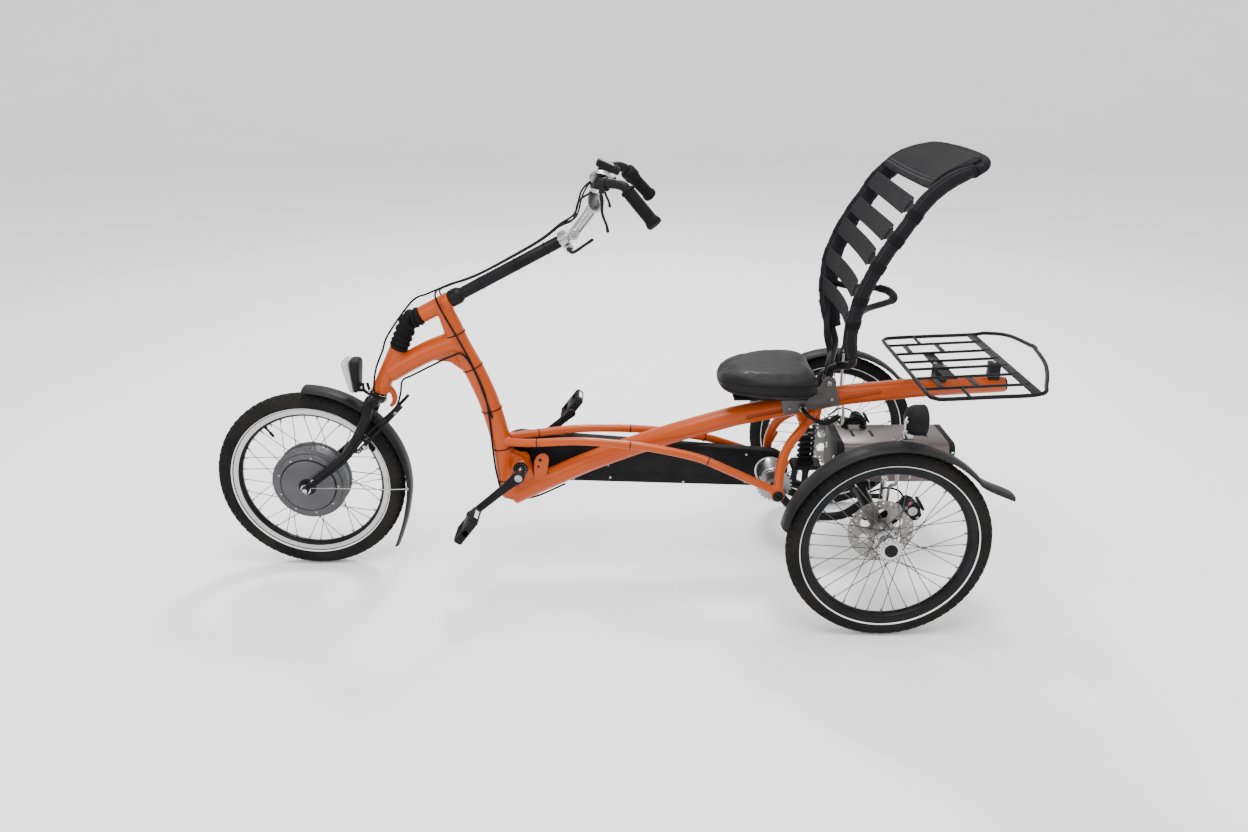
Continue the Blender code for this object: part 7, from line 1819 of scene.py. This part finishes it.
@dataclass
class SeatAssembly:
    """Sliding seat: sheet metal bracket, moulded cushion and clamp lever."""
    half_width: float = 0.135
    floor: float = 0.509
    tube: float = 0.0265

    def build_bracket(self) -> None:
        """Folded grey bracket over the rail, with its pan, recline bolt and clamp bolts."""
        inner, outer = self.tube + 0.001, self.tube + 0.0045
        corner = [on_rail(0.1, -0.012), on_rail(0.246, -0.012)]
        outline = [(point.x, point.z) for point in corner]
        outline += arc(RECLINE, 0.018, -10, 165, 20)
        top = on_rail(0.1, outer)
        outline += [(RECLINE.x - 0.034, 0.5045), (top.x, top.z)]
        bracket = Shape("seat_bracket")
        for side in Side:
            s = side.value
            bracket.plate(outline, *sorted((s * inner, s * outer)), Finishes.BRACKET, 0.0007)
            bracket.bolt(Vector((RECLINE.x, s * outer, RECLINE.z)), ACROSS * s, 0.0072, 0.0048, Finishes.STEEL)
            for reach, above in ((0.118, 0.004), (0.228, 0.006)):
                bracket.bolt(on_rail(reach, above, s * outer), ACROSS * s, 0.0042, 0.0028, Finishes.STEEL)
        slope = Matrix.Rotation(-math.atan2(RAIL_AXIS.z, RAIL_AXIS.x), 3, "Y")
        bracket.block(on_rail(0.1525, self.tube + 0.00275), (0.105, 2 * outer, 0.0035), Finishes.BRACKET, slope)
        bracket.block(aft(-0.195, 0.491), (0.03, 0.046, 0.034), Finishes.BRACKET, None, 0.002)
        bracket.block(aft(-0.2515, self.floor - 0.0033), (0.187, 0.15, 0.006), Finishes.PLASTIC, None, 0.002)
        bracket.drum(RECLINE, 0.004, -outer, outer, Finishes.STEEL, 20)
        bracket.place("seat_slide", ("seat_bracket",), "motor_grey")

    def stations(self) -> list[tuple[float, float, float, float]]:
        """Cross-sections of the cushion: (from the rear axle, half width, floor, top)."""
        given = ((-0.38, 0.27, 0.016, 0.045), (-0.372, 0.46, 0.006, 0.057), (-0.34, 0.7, 0, 0.069),
                 (-0.285, 0.92, 0, 0.075), (-0.225, 1.0, 0, 0.077), (-0.175, 0.98, 0, 0.076),
                 (-0.148, 0.86, 0.003, 0.07), (-0.138, 0.66, 0.012, 0.058))
        path = smooth([Vector((x, width, high)) for x, width, _, high in given], 4)
        lows = at_each([low for _, _, low, _ in given], len(path))
        return [(point.x, point.y * self.half_width, self.floor + low, self.floor + point.z)
                for point, low in zip(path, lows)]

    def build_cushion(self) -> None:
        """Moulded cushion with a crowned top, drawn-in sides, a welt line and its base."""
        cage = Shape("cushion_cage")
        rings, lines = [], {0.3: [], 0.66: []}
        shrink = 0.003
        for x, half, low, high in self.stations():
            middle, tall, ring = (low + high) / 2, (high - low) / 2 - shrink, []
            for step in range(36):
                turn = 2 * math.pi * step / 36
                c, s = math.cos(turn), math.sin(turn)
                pull = 1.0 - 0.1 * max(0.0, -s) - 0.05 * max(0.0, s) ** 2
                lift = math.copysign(abs(s) ** 0.48, s)
                ring.append(aft(x, middle + tall * lift, (half - shrink) * math.copysign(abs(c) ** 0.4, c) * pull))
            rings.append(ring)
        cage.loft(rings, Finishes.VINYL)
        mesh = puffed(cage, 0.005, 4.0, 0.003)
        cushion = Shape("seat_cushion").graft(mesh, Finishes.VINYL)
        cushion.build.verts.ensure_lookup_table()
        limit = self.floor + 0.0004
        for vertex in cushion.build.verts:
            vertex.co.z = max(limit, vertex.co.z)
        item = cushion.place("seat_slide", ("seat_cushion",), "seat_vinyl")
        for share in lines:
            loop = {1: [], -1: []}
            for x, half, low, high in self.stations():
                z = low + (high - low) * share
                side = (z - (low + high) / 2) / ((high - low) / 2)
                wide = half * (1 - abs(side) ** 4.2) ** 0.22 * (1.0 - 0.1 * max(0.0, -side))
                for s in loop:
                    loop[s].append(aft(x, z, s * wide))
            lines[share] = loop[1] + loop[-1][::-1]
        welt = Shape("seat_welt")
        from_tree = self.onto(item, lines[0.66] + lines[0.66][:1])
        welt.tube(from_tree, 0.0013, Finishes.PIPING, 10)
        low_line = self.onto(item, lines[0.3] + lines[0.3][:1])
        welt.tube(low_line, 0.0016, Finishes.PIPING, 10)
        welt.place("seat_slide", (), "seat_vinyl")

    def onto(self, item: bpy.types.Object, line: list[Vector]) -> list[Vector]:
        """Points of a line moved to the nearest spots of a mesh, and smoothed."""
        found = []
        for point in smooth(line, 3):
            hit, spot, normal, _ = item.closest_point_on_mesh(item.matrix_world.inverted() @ point)
            found.append(item.matrix_world @ spot if hit else point)
        return found

    def build_lever(self) -> None:
        """Bent clamp lever with a flattened rubber handle and its bolt."""
        base = on_rail(0.15) - ACROSS * (self.tube + 0.0105)
        path = smooth([base, base + Vector((0, -0.02, 0)), base + Vector((0.006, -0.034, -0.004)),
                       base + Vector((0.022, -0.038, -0.014)), base + Vector((0.045, -0.038, -0.024)),
                       base + Vector((0.068, -0.038, -0.019)), base + Vector((0.084, -0.038, -0.007))])
        lever = Shape("seat_lock_lever")
        lever.tube(path, (0.006, 0.0052, 0.0045, 0.005, 0.0062), Finishes.BLACK, 18)
        lever.tube(path[-17:], (0.006, 0.0072, 0.007), Finishes.SOFT, 18, 1.0, 0.004)
        lever.lathe(base, -ACROSS, [(0, 0), (0.0095, 0), (0.0095, 0.006), (0.0075, 0.008), (0, 0.008)],
                    Finishes.STEEL, 6)
        lever.place("seat_lock_lever", ("seat_lock_lever",), "black_metal")


# ---------------------------------------------------------------- backrest
@dataclass
class BackrestAssembly:
    """Reclining backrest: bent tube, cloth sleeves, webbing ladder and headrest."""
    half_width: float = 0.21
    tube_radius: float = 0.01
    strap_half: float = 0.0225
    strap_count: int = 5
    shape_points: tuple = (
        (-0.096, 0.055, 0.545), (-0.092, 0.065, 0.567), (-0.08, 0.22, 0.586), (-0.064, 0.45, 0.606),
        (-0.068, 0.6, 0.635), (-0.08, 0.67, 0.684), (-0.082, 0.82, 0.748), (-0.069, 0.94, 0.822),
        (-0.035, 0.985, 0.9), (-0.002, 1.0, 0.953), (0.042, 1.0, 1.02), (0.088, 0.98, 1.06),
        (0.142, 0.92, 1.083), (0.178, 0.72, 1.094), (0.189, 0.36, 1.098))

    def half(self, side: Side, start: int = 0, end: int = 15) -> list[Vector]:
        """Points of one side of the bent tube."""
        return [aft(x, z, side.value * share * self.half_width) for x, share, z in self.shape_points[start:end]]

    def surface(self, height: float, across: float, offset: float = 0.0, sag: float = 0.015,
                last: int = 13) -> Vector:
        """Point on the rider's side: height is 0 at the lap and 1 at the last point, across is -1 to 1."""
        curve = smooth(self.half(Side.RIGHT, 5, last), 8)
        place = max(0.0, min(1.0, height)) * (len(curve) - 1)
        low = min(int(place), len(curve) - 2)
        edge = curve[low].lerp(curve[low + 1], place - low)
        tangent = (curve[low + 1] - curve[low]) * Vector((1, 0, 1))
        ahead = Vector((-tangent.z, 0, tangent.x)).normalized()
        depth = self.tube_radius + offset - sag * (1 - across * across)
        return Vector((edge.x, edge.y * across, edge.z)) + ahead * depth

    def build_frame(self) -> None:
        """Bent tube with its knuckle, push handle and braces."""
        black = Finishes.BLACK
        tube = Shape("backrest_frame")
        loop = self.half(Side.LEFT) + [aft(0.191, 1.099)] + self.half(Side.RIGHT)[::-1]
        tube.tube(smooth(loop, 5), self.tube_radius, black, 24)
        tube.drum(RECLINE, 0.013, -0.026, 0.026, black, 36)
        y, z = self.half_width * 0.84, 0.752
        handle = smooth([aft(-0.082, z, -y), aft(-0.04, z, -0.11), aft(0.03, z + 0.006, -0.06),
                         aft(0.045, z + 0.008, 0), aft(0.03, z + 0.006, 0.06), aft(-0.04, z, 0.11),
                         aft(-0.082, z, y)])
        tube.tube(handle, 0.008, black, 20)
        tube.tube(handle[12:-12], 0.0098, Finishes.SOFT, 20, 1.0, 0.003)
        for side in Side:
            tube.lathe(Vector((RECLINE.x, side.value * 0.0135, RECLINE.z)), ACROSS * side.value,
                       [(0.0042, 0), (0.0125, 0), (0.0125, 0.0125), (0.0042, 0.0125)], Finishes.STEEL, 36)
        tube.place("backrest", ("backrest_frame",), "black_metal")

    def build_sleeves(self) -> None:
        """Cloth sleeve on each side tube, with puckered seams and stitching."""
        for side in Side:
            sleeve = Shape("sleeve_" + side.word)
            path = smooth(self.half(side, 4, 13), 12)
            count = len(path)
            rings = []
            for index, (point, normal, other) in enumerate(frames(path)):
                share = index / (count - 1)
                pinch = 1.0 - 0.05 * math.exp(-((share * 16) % 1.0 - 0.5) ** 2 / 0.006)
                fade = min(1.0, 0.8 + 2.2 * min(share, 1 - share))
                tangent = (path[min(index + 1, count - 1)] - path[max(index - 1, 0)]).normalized()
                ahead = Vector((-tangent.z, 0, tangent.x)).normalized()
                sideways = tangent.cross(ahead)
                ring = []
                deep = 0.0172 if side is Side.LEFT else 0.025
                for step in range(28):
                    turn = 2 * math.pi * step / 28
                    c, s = math.cos(turn), math.sin(turn)
                    ring.append(point + ahead * (0.0196 - deep + deep * c) * pinch * fade
                                + sideways * 0.0132 * math.copysign(abs(s) ** 0.85, s) * pinch * fade)
                rings.append(ring)
            sleeve.loft(rings, Finishes.SLEEVE)
            for row in (4, 10):
                line = [ring[row] + (ring[row] - point) * 0.02 for ring, point in zip(rings[2:-2], path[2:-2])]
                sleeve.trail(line, Finishes.THREAD, Item.BLOCK, 0.0055, (0.0034, 0.0007, 0.0007))
            for end in (1, count - 2):
                sleeve.tube([rings[end][k] + (rings[end][k] - path[end]) * 0.01 for k in
                             list(range(0, 28, 2)) + [0, 2]], 0.0011, Finishes.PIPING, 8)
            sleeve.place("backrest", (), "net_fabric")

    def strap(self, shape: Shape, centre: list[Vector], along: list[Vector], halves: list[float],
              thick: float = 0.0018) -> None:
        """Flat woven strap with rounded edges and two rows of stitches.

        Args:
            shape: the piece it joins.
            centre: its middle line.
            along: direction of its width at each point.
            halves: its half width at each point.
            thick: its thickness.
        """
        rings = []
        for index, point in enumerate(centre):
            run = (centre[min(index + 1, len(centre) - 1)] - centre[max(index - 1, 0)]).normalized()
            wide = along[index].normalized()
            up = run.cross(wide).normalized()
            ring = []
            for place, lift in ((-1, -0.6), (-0.97, -1), (-0.5, -1), (0, -1), (0.5, -1), (0.97, -1), (1, -0.6),
                                (1, 0.6), (0.97, 1), (0.5, 1), (0, 1), (-0.5, 1), (-0.97, 1), (-1, 0.6)):
                ring.append(point + wide * halves[index] * place + up * thick / 2 * lift)
            rings.append(ring)
        shape.loft(rings, Finishes.WEBBING)

    def build_straps(self) -> None:
        """Ladder of wide straps, their buckles near one tube, and the slanting lap strap."""
        net = Shape("backrest_straps")
        samples = [-1.0 + 2 * step / 24 for step in range(25)]
        for number in range(self.strap_count):
            height = 0.135 + 0.137 * number
            centre = [self.surface(height - 0.012 * (1 - across), across, 0.0042) for across in samples]
            along = [self.surface(height + 0.03, across, 0.0042) - self.surface(height - 0.03, across, 0.0042)
                     for across in samples]
            halves = [self.strap_half * (0.52 if across < -0.7 else 1.0) for across in samples]
            self.strap(net, centre, along, halves)
            spot = self.surface(height - 0.012 * 1.72, -0.7, 0.0046)
            wide = along[3].normalized()
            run = (centre[5] - centre[2]).normalized()
            turn = Matrix((run, wide, run.cross(wide))).transposed()
            for shift in (-0.0105, 0.0, 0.0105):
                net.block(spot + run * shift, (0.003, 0.03, 0.0044), Finishes.PLASTIC, turn, 0.0008)
            for shift in (-0.014, 0.014):
                net.block(spot + wide * shift, (0.024, 0.003, 0.0044), Finishes.PLASTIC, turn, 0.0008)
            for place in (-0.93, 0.9, 0.945):
                line = [self.surface(height + step * 0.02, place, 0.0056) for step in (-0.8, -0.4, 0, 0.4, 0.8)]
                net.trail(line, Finishes.THREAD, Item.BLOCK, 0.0046, (0.003, 0.0008, 0.0008))
            for side in Side:
                path = smooth(self.half(side, 5, 13), 8)
                index = int((height - 0.012 * (1 - side.value)) * (len(path) - 1))
                point, tangent = path[index], (path[index + 1] - path[index]).normalized()
                ahead = Vector((-tangent.z, 0, tangent.x)).normalized()
                sideways = tangent.cross(ahead)
                half = 0.0105 if side is Side.LEFT else 0.0185
                ring = [point + ahead * (0.0018 + 0.018 * math.cos(turn)) + sideways * 0.0142 * math.sin(turn)
                        for turn in [2 * math.pi * step / 28 for step in range(28)]]
                self.strap(net, ring + ring[:1], [tangent] * 29, [half] * 29, 0.0014)
        for s in (-1, 1):
            start = self.surface(0.1, s * 0.96, 0.003)
            middle = aft(-0.09, 0.64, s * 0.085)
            end = aft(-0.085, 0.596, s * 0.052)
            path = smooth([start, start.lerp(middle, 0.5) + Vector((0.006, 0, -0.004)), middle, end], 5)
            self.strap(net, path, [Vector((0.25, 0, 0.95))] * len(path), at_each((0.03, 0.026, 0.014), len(path)))
        net.place("backrest", ("backrest_sling",), "net_fabric")

    def build_headrest(self) -> None:
        """Padded headrest cloth over the top bend, with a hem and stitching."""
        cage = Shape("headrest_cage")
        rings = []
        for step in range(17):
            height = 0.585 + 0.405 * step / 16
            rim = 1.0 - 0.35 * abs(2 * step / 16 - 1) ** 6
            face = [self.surface(height, -1 + 2 * k / 20, 0.0085 * rim + 0.004, 0.01, 15) for k in range(21)]
            back = [self.surface(height, 1 - 2 * k / 20, 0.001, 0.01, 15) for k in range(21)]
            rings.append(face + back)
        cage.loft(rings, Finishes.HEAD_CLOTH)
        pad = Shape("headrest_pad")
        mesh = puffed(cage, 0.0045, 3.0, 0.003)
        pad.graft(mesh, Finishes.HEAD_CLOTH)
        layer = pad.build.loops.layers.uv.verify()
        for face in pad.build.faces:
            for loop in face.loops:
                loop[layer].uv = (loop.vert.co.y, loop.vert.co.x + loop.vert.co.z)
        item = pad.place("backrest", ("headrest_pad",), "net_fabric")
        hem = Shape("headrest_hem")
        for inset in (0.03, 0.045):
            line = [self.surface(0.585 + inset, across, 0.0155, 0.01, 15) for across in
                    [-0.95 + 1.9 * k / 30 for k in range(31)]]
            line = [item.matrix_world @ item.closest_point_on_mesh(item.matrix_world.inverted() @ point)[1]
                    for point in line]
            hem.trail(line, Finishes.THREAD, Item.BLOCK, 0.0052, (0.0032, 0.0008, 0.0012))
        edge = [aft(x, z - 0.002, s * share * self.half_width * 1.0) for s, x, share, z in [(-1,
            *self.shape_points[k]) for k in (12, 13, 14)] + [(1, *self.shape_points[k]) for k in (14, 13, 12)]]
        hem.tube(smooth(edge, 8), 0.0135, Finishes.HEAD_CLOTH, 24, 1.0, 0.006)
        hem.place("backrest", (), "net_fabric")


# ---------------------------------------------------------------- carrier
@dataclass
class CarrierAssembly:
    """Luggage rack of black wire with a hoop behind."""
    front: float = 0.098
    rear: float = 0.348
    half: float = 0.24
    height: float = 0.568
    wire: float = 0.005

    def deck(self, x: float, y: float, lift: float = 0.0) -> Vector:
        """Point on the deck, which rises slightly to the rear."""
        return aft(x, self.height + 0.012 * (x - self.front) / (self.rear - self.front) + lift, y)

    def build(self) -> None:
        """Outer wire, long rails, flat crosspieces, feet, bolts and rubber ends."""
        rack = Shape("carrier")
        black = Finishes.BLACK
        front, rear, half, corner = self.front, self.rear, self.half, 0.03
        outline = [self.deck(front, 0.0), self.deck(front, half * 0.5), self.deck(front, half - corner),
                   self.deck(front + 0.009, half - 0.009), self.deck(front + corner, half),
                   self.deck((front + rear) / 2, half), self.deck(rear, half * 0.985),
                   self.deck(rear + 0.026, half * 0.86, 0.012), self.deck(rear + 0.056, half * 0.5, 0.03),
                   aft(0.422, self.height + 0.052, 0.0)]
        loop = [mirrored(point, Side.LEFT) for point in outline[::-1]] + outline[1:]
        rack.tube(smooth(loop, 7), self.wire, black, 18)
        rack.rod(aft(0.422, self.height + 0.052, -0.012), aft(0.422, self.height + 0.052, 0.012), 0.0056, black, 20)
        for y in (0.028, 0.095, 0.17):
            for s in (-1, 1):
                rack.tube([self.deck(front, s * y, 0.0006), self.deck(rear, s * y, 0.0006)], 0.0037, black, 14)
        for side in Side:
            for x in (front + 0.045, front + 0.13):
                rack.block(self.deck(x, side.value * 0.1325, 0.0004), (0.014, 0.075, 0.003), black)
            rack.rod(self.deck(front + 0.09, side.value * (half + 0.0005)),
                     self.deck(front + 0.09, side.value * (half - 0.06)), 0.004, black, 16)
        rack.block(self.deck(rear - 0.003, 0.0, 0.0002), (0.0255, 2 * half * 0.96, 0.0041), black)
        rack.block(self.deck(front + 0.09, 0.0, -0.0031), (0.03, 0.194, 0.004), black)
        rack.block(aft(front + 0.091, 0.5505), (0.028, 0.04, 0.0374), black)
        rack.block(aft(rear - 0.02, 0.5565), (0.028, 0.026, 0.0466), black)
        for x, y in ((front + 0.082, 0.012), (front + 0.1, -0.012), (rear - 0.02, 0.0)):
            rack.bolt(self.deck(x, y, -0.001), Vector((0, 0, 1)), 0.0056, 0.0036, Finishes.STEEL)
        for side in Side:
            for x in (front, rear):
                rack.band(self.deck(x + (0.004 if x == front else -0.004), side.value * 0.17),
                          Vector((1, 0, 0)), 0.004, 0.006, 0.001, black)
        rack.place("frame", ("carrier",), "black_metal")


# ---------------------------------------------------------------- cables
@dataclass
class CableRuns:
    """Bowden cables and the motor's lead, in stretches that ride with one body or are left unattached between two."""
    thick: float = 0.0026

    def run(self, name: str, points: list[Vector], radius: float, stretches: list[tuple[int, int, str, str]],
            replaces: tuple[str, ...] = ()) -> None:
        """Builds one run.

        Args:
            name: name of the run.
            points: points it passes through.
            radius: its radius.
            stretches: (first point, last point, body before, body after); equal bodies ride.
            replaces: CAD nodes it stands for.
        """
        steps = 8
        path = smooth(points, steps)
        for number, (start, end, before, after) in enumerate(stretches):
            part = path[start * steps:end * steps + 1]
            piece = Shape(f"{name}_{number + 1}")
            piece.tube(part, radius, Finishes.CABLE, 12, 1.0, 0.0 if number else radius)
            if before == after:
                piece.place(before, replaces if number == 0 else (), "black_plastic")
                continue
            item = piece.item()
            if number == 0 and replaces:
                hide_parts(*replaces)
            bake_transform(item)
            LOG.info("%s between %s and %s", item.name, before, after)

    def build(self) -> None:
        """The front brake's, rear brake's and shifter's cables, and the motor's lead."""
        for name, y, last in (("front_brake_cable", -1, "fork"), ("rear_brake_cable", 1, "frame")):
            lever = mirrored(BAR_CENTRE + Vector((-0.006, 0.118, 0.046)), Side.LEFT if y < 0 else Side.RIGHT)
            points = [lever, BAR_CENTRE + Vector((-0.036, y * 0.078, 0.02)),
                      BAR_CENTRE + Vector((-0.052, y * 0.04, -0.028)), on_column(0.33, 0.034, y * 0.016),
                      on_column(0.262, 0.024, y * 0.008), on_column(0.12, 0.0215, y * 0.0065),
                      on_column(0.06, 0.026, y * 0.006)]
            if last == "fork":
                points += [on_column(0.02, 0.034, -0.004), on_column(-0.04, 0.04, -0.006),
                           on_column(-0.085, 0.042, -0.012), on_steerer(0.034, 0.033, -0.028),
                           on_steerer(-0.01, 0.03, -0.034), on_steerer(-0.06, 0.028, -0.034),
                           on_steerer(-0.105, 0.018, -0.03), on_steerer(-0.13, 0.006, -0.034)]
                stretches = [(0, 2, "handlebar", "handlebar"), (2, 3, "handlebar", "column_slide"),
                             (3, 4, "column_slide", "column"), (4, 6, "column", "column"), (6, 8, "column", "frame"),
                             (8, 10, "frame", "frame"), (10, 13, "frame", "fork"), (13, 14, "fork", "fork")]
                self.run(name, points, self.thick, stretches, ("handlebar_cable", "brake_cable"))
                continue
            points += [on_column(0.01, 0.033, 0.012), fore(0.372, 0.768, -0.018), fore(0.386, 0.728, -0.031),
                       fore(0.424, 0.65, -0.03), fore(0.451, 0.59, -0.03), fore(0.48, 0.51, -0.03),
                       fore(0.49, 0.43, -0.027), fore(0.492, 0.36, -0.023), fore(0.5, 0.27, -0.021),
                       fore(0.52, 0.205, -0.016), fore(0.59, 0.1985, -0.006), fore(0.68, 0.237, -0.002)]
            stretches = [(0, 2, "handlebar", "handlebar"), (2, 3, "handlebar", "column_slide"),
                         (3, 4, "column_slide", "column"), (4, 6, "column", "column"), (6, 8, "column", "frame"),
                         (8, len(points) - 1, "frame", "frame")]
            self.run(name, points, self.thick, stretches, ("motor_cable",))
        lead = [fore(0.497, 0.44, -0.03), fore(0.462, 0.56, -0.03), fore(0.432, 0.612, -0.031),
                fore(0.4, 0.606, -0.028), fore(0.352, 0.582, -0.024), fore(0.3, 0.556, -0.025),
                fore(0.272, 0.54, -0.022), fore(0.264, 0.505, -0.024), fore(0.25, 0.47, -0.03),
                fore(0.215, 0.44, -0.048), fore(0.165, 0.392, -0.07), fore(0.12, 0.338, -0.073),
                fore(0.06, 0.29, -0.072), fore(0.016, 0.258, -0.067)]
        self.run("motor_lead", lead, 0.0026, [(0, 6, "frame", "frame"), (6, 9, "frame", "fork"),
                                              (9, 13, "fork", "fork")])
        shifter = [mirrored(BAR_CENTRE + Vector((0.062, 0.152, 0.058)), Side.RIGHT),
                   BAR_CENTRE + Vector((0.01, 0.112, 0.064)), BAR_CENTRE + Vector((-0.03, 0.066, 0.018)),
                   BAR_CENTRE + Vector((-0.048, 0.03, -0.034)), on_column(0.334, 0.03, 0.024),
                   on_column(0.262, 0.02, 0.015), on_column(0.12, 0.018, 0.014), on_column(0.06, 0.024, 0.013)]
        shifter += [on_column(0.01, 0.03, 0.016), fore(0.376, 0.764, 0.02), fore(0.388, 0.728, 0.029),
                    fore(0.424, 0.65, 0.03), fore(0.465, 0.55, 0.029), fore(0.484, 0.45, 0.026),
                    fore(0.496, 0.33, 0.024), fore(0.506, 0.24, 0.022)]
        self.run("shifter_cable", shifter, 0.0022,
                 [(0, 3, "handlebar", "handlebar"), (3, 4, "handlebar", "column_slide"),
                  (4, 5, "column_slide", "column"), (5, 7, "column", "column"), (7, 9, "column", "frame"),
                  (9, 15, "frame", "frame")])


# ---------------------------------------------------------------- studio
@dataclass
class Studio:
    """Pale floor, soft lights and the camera."""
    lens: float = 27.557
    place: tuple[float, float, float] = (0.0215, -2.322, 1.367)
    down: float = 21.926
    yaw: float = 0.049
    roll: float = -0.123

    def build(self) -> None:
        """Builds the studio."""
        self.build_floor()
        self.build_lights()
        self.build_camera()

    def build_floor(self) -> None:
        """Wide pale floor with a faint unevenness in its gloss."""
        mesh = bpy.data.meshes.new("floor")
        size, reach, bend = 34.0, 9.0, 4.0
        line = [(-size, 0.0)] + [(reach + bend * math.sin(k * math.pi / 32), bend - bend * math.cos(k * math.pi / 32))
                                 for k in range(17)] + [(reach + bend, 14.0)]
        spots = [(x, y, z) for y, z in line for x in (-size, size)]
        faces = [(2 * k, 2 * k + 1, 2 * k + 3, 2 * k + 2) for k in range(len(line) - 1)]
        mesh.from_pydata(spots, [], faces)
        mesh.shade_smooth()
        item = bpy.data.objects.new("floor", mesh)
        bpy.context.scene.collection.objects.link(item)
        material = bpy.data.materials.new("studio_floor")
        material.use_nodes = True
        nodes = Nodes(material.node_tree)
        shader = material.node_tree.nodes["Principled BSDF"]
        place = nodes.add("ShaderNodeTexCoord")
        cloud = nodes.add("ShaderNodeTexNoise", {"Vector": place.outputs["Object"], "Scale": 1.5})
        shade = nodes.mix(cloud.outputs[0], (0.9, 0.9, 0.9), (0.93, 0.93, 0.93))
        material.node_tree.links.new(shade, shader.inputs["Base Color"])
        shader.inputs["Roughness"].default_value = 0.75
        shader.inputs["Specular IOR Level"].default_value = 0.2
        mesh.materials.append(material)

    def build_lights(self) -> None:
        """White surroundings, a broad lamp overhead and behind, and softer ones in front."""
        world = bpy.data.worlds.new("studio")
        world.use_nodes = True
        world.node_tree.nodes["Background"].inputs["Color"].default_value = (1.0, 1.0, 1.0, 1.0)
        world.node_tree.nodes["Background"].inputs["Strength"].default_value = 1.35
        bpy.context.scene.world = world
        for name, spot, energy, size in (("behind", (0.1, 3.2, 4.2), 210.0, 0.9), ("above", (0.0, -0.9, 4.2), 170.0,
                2.5), ("front", (-2.4, -2.6, 1.8), 26.0, 1.6)):
            data = bpy.data.lights.new(name, "AREA")
            data.energy, data.size = energy, size
            lamp = bpy.data.objects.new(name, data)
            lamp.location = spot
            lamp.rotation_euler = (Vector((0, 0, 0.45)) - Vector(spot)).to_track_quat("-Z", "Y").to_euler()
            bpy.context.scene.collection.objects.link(lamp)

    def build_camera(self) -> None:
        """Camera at eye height on the left side."""
        data = bpy.data.cameras.new("camera")
        data.lens, data.sensor_width = self.lens, 36.0
        data.clip_end = 200.0
        camera = bpy.data.objects.new("camera", data)
        turn = (Matrix.Rotation(math.radians(self.yaw), 4, "Z") @ Matrix.Rotation(math.radians(90 - self.down), 4, "X")
                @ Matrix.Rotation(math.radians(self.roll), 4, "Z"))
        camera.matrix_world = Matrix.Translation(Vector(self.place)) @ turn
        bpy.context.scene.collection.objects.link(camera)
        bpy.context.scene.camera = camera


def main() -> None:
    """Builds every sub-assembly in order."""
    logging.basicConfig(level=logging.INFO, format="%(message)s")
    body = FrameAssembly()
    body.build_tubes()
    body.build_fittings()
    body.build_boot()
    body.build_case()
    front = WheelAssembly("front", "front_wheel", FRONT_AXLE, 0.25, 0.047)
    front.build_motor_wheel()
    fork = ForkAssembly()
    fork.build_fork()
    fork.build_mudguard()
    fork.build_headlamp()
    steering = SteeringAssembly()
    steering.build_column()
    steering.build_stem()
    steering.build_bar()
    steering.build_levers()
    steering.build_bell()
    steering.build_display()
    drive = DriveAssembly()
    drive.build_hub()
    rear = RearAssembly()
    rear.build_carrier()
    rear.build_spring()
    rear.build_battery()
    rear.build_tail_light()
    for side in Side:
        fork.build_brake(side)
        drive.build_crank(side)
        drive.build_pedal(side)
        centre = REAR_AXLE + ACROSS * side.value * TRACK / 2
        WheelAssembly("rear_" + side.word, "wheel_" + side.word, centre, 0.243, 0.04).build_rear_wheel(side)
        rear.build_caliper(side)
        rear.build_mudguard(side)
    seat = SeatAssembly()
    seat.build_bracket()
    seat.build_cushion()
    seat.build_lever()
    back = BackrestAssembly()
    back.build_frame()
    back.build_sleeves()
    back.build_straps()
    back.build_headrest()
    CarrierAssembly().build()
    CableRuns().build()
    Studio().build()


if __name__ == "__main__":
    main()
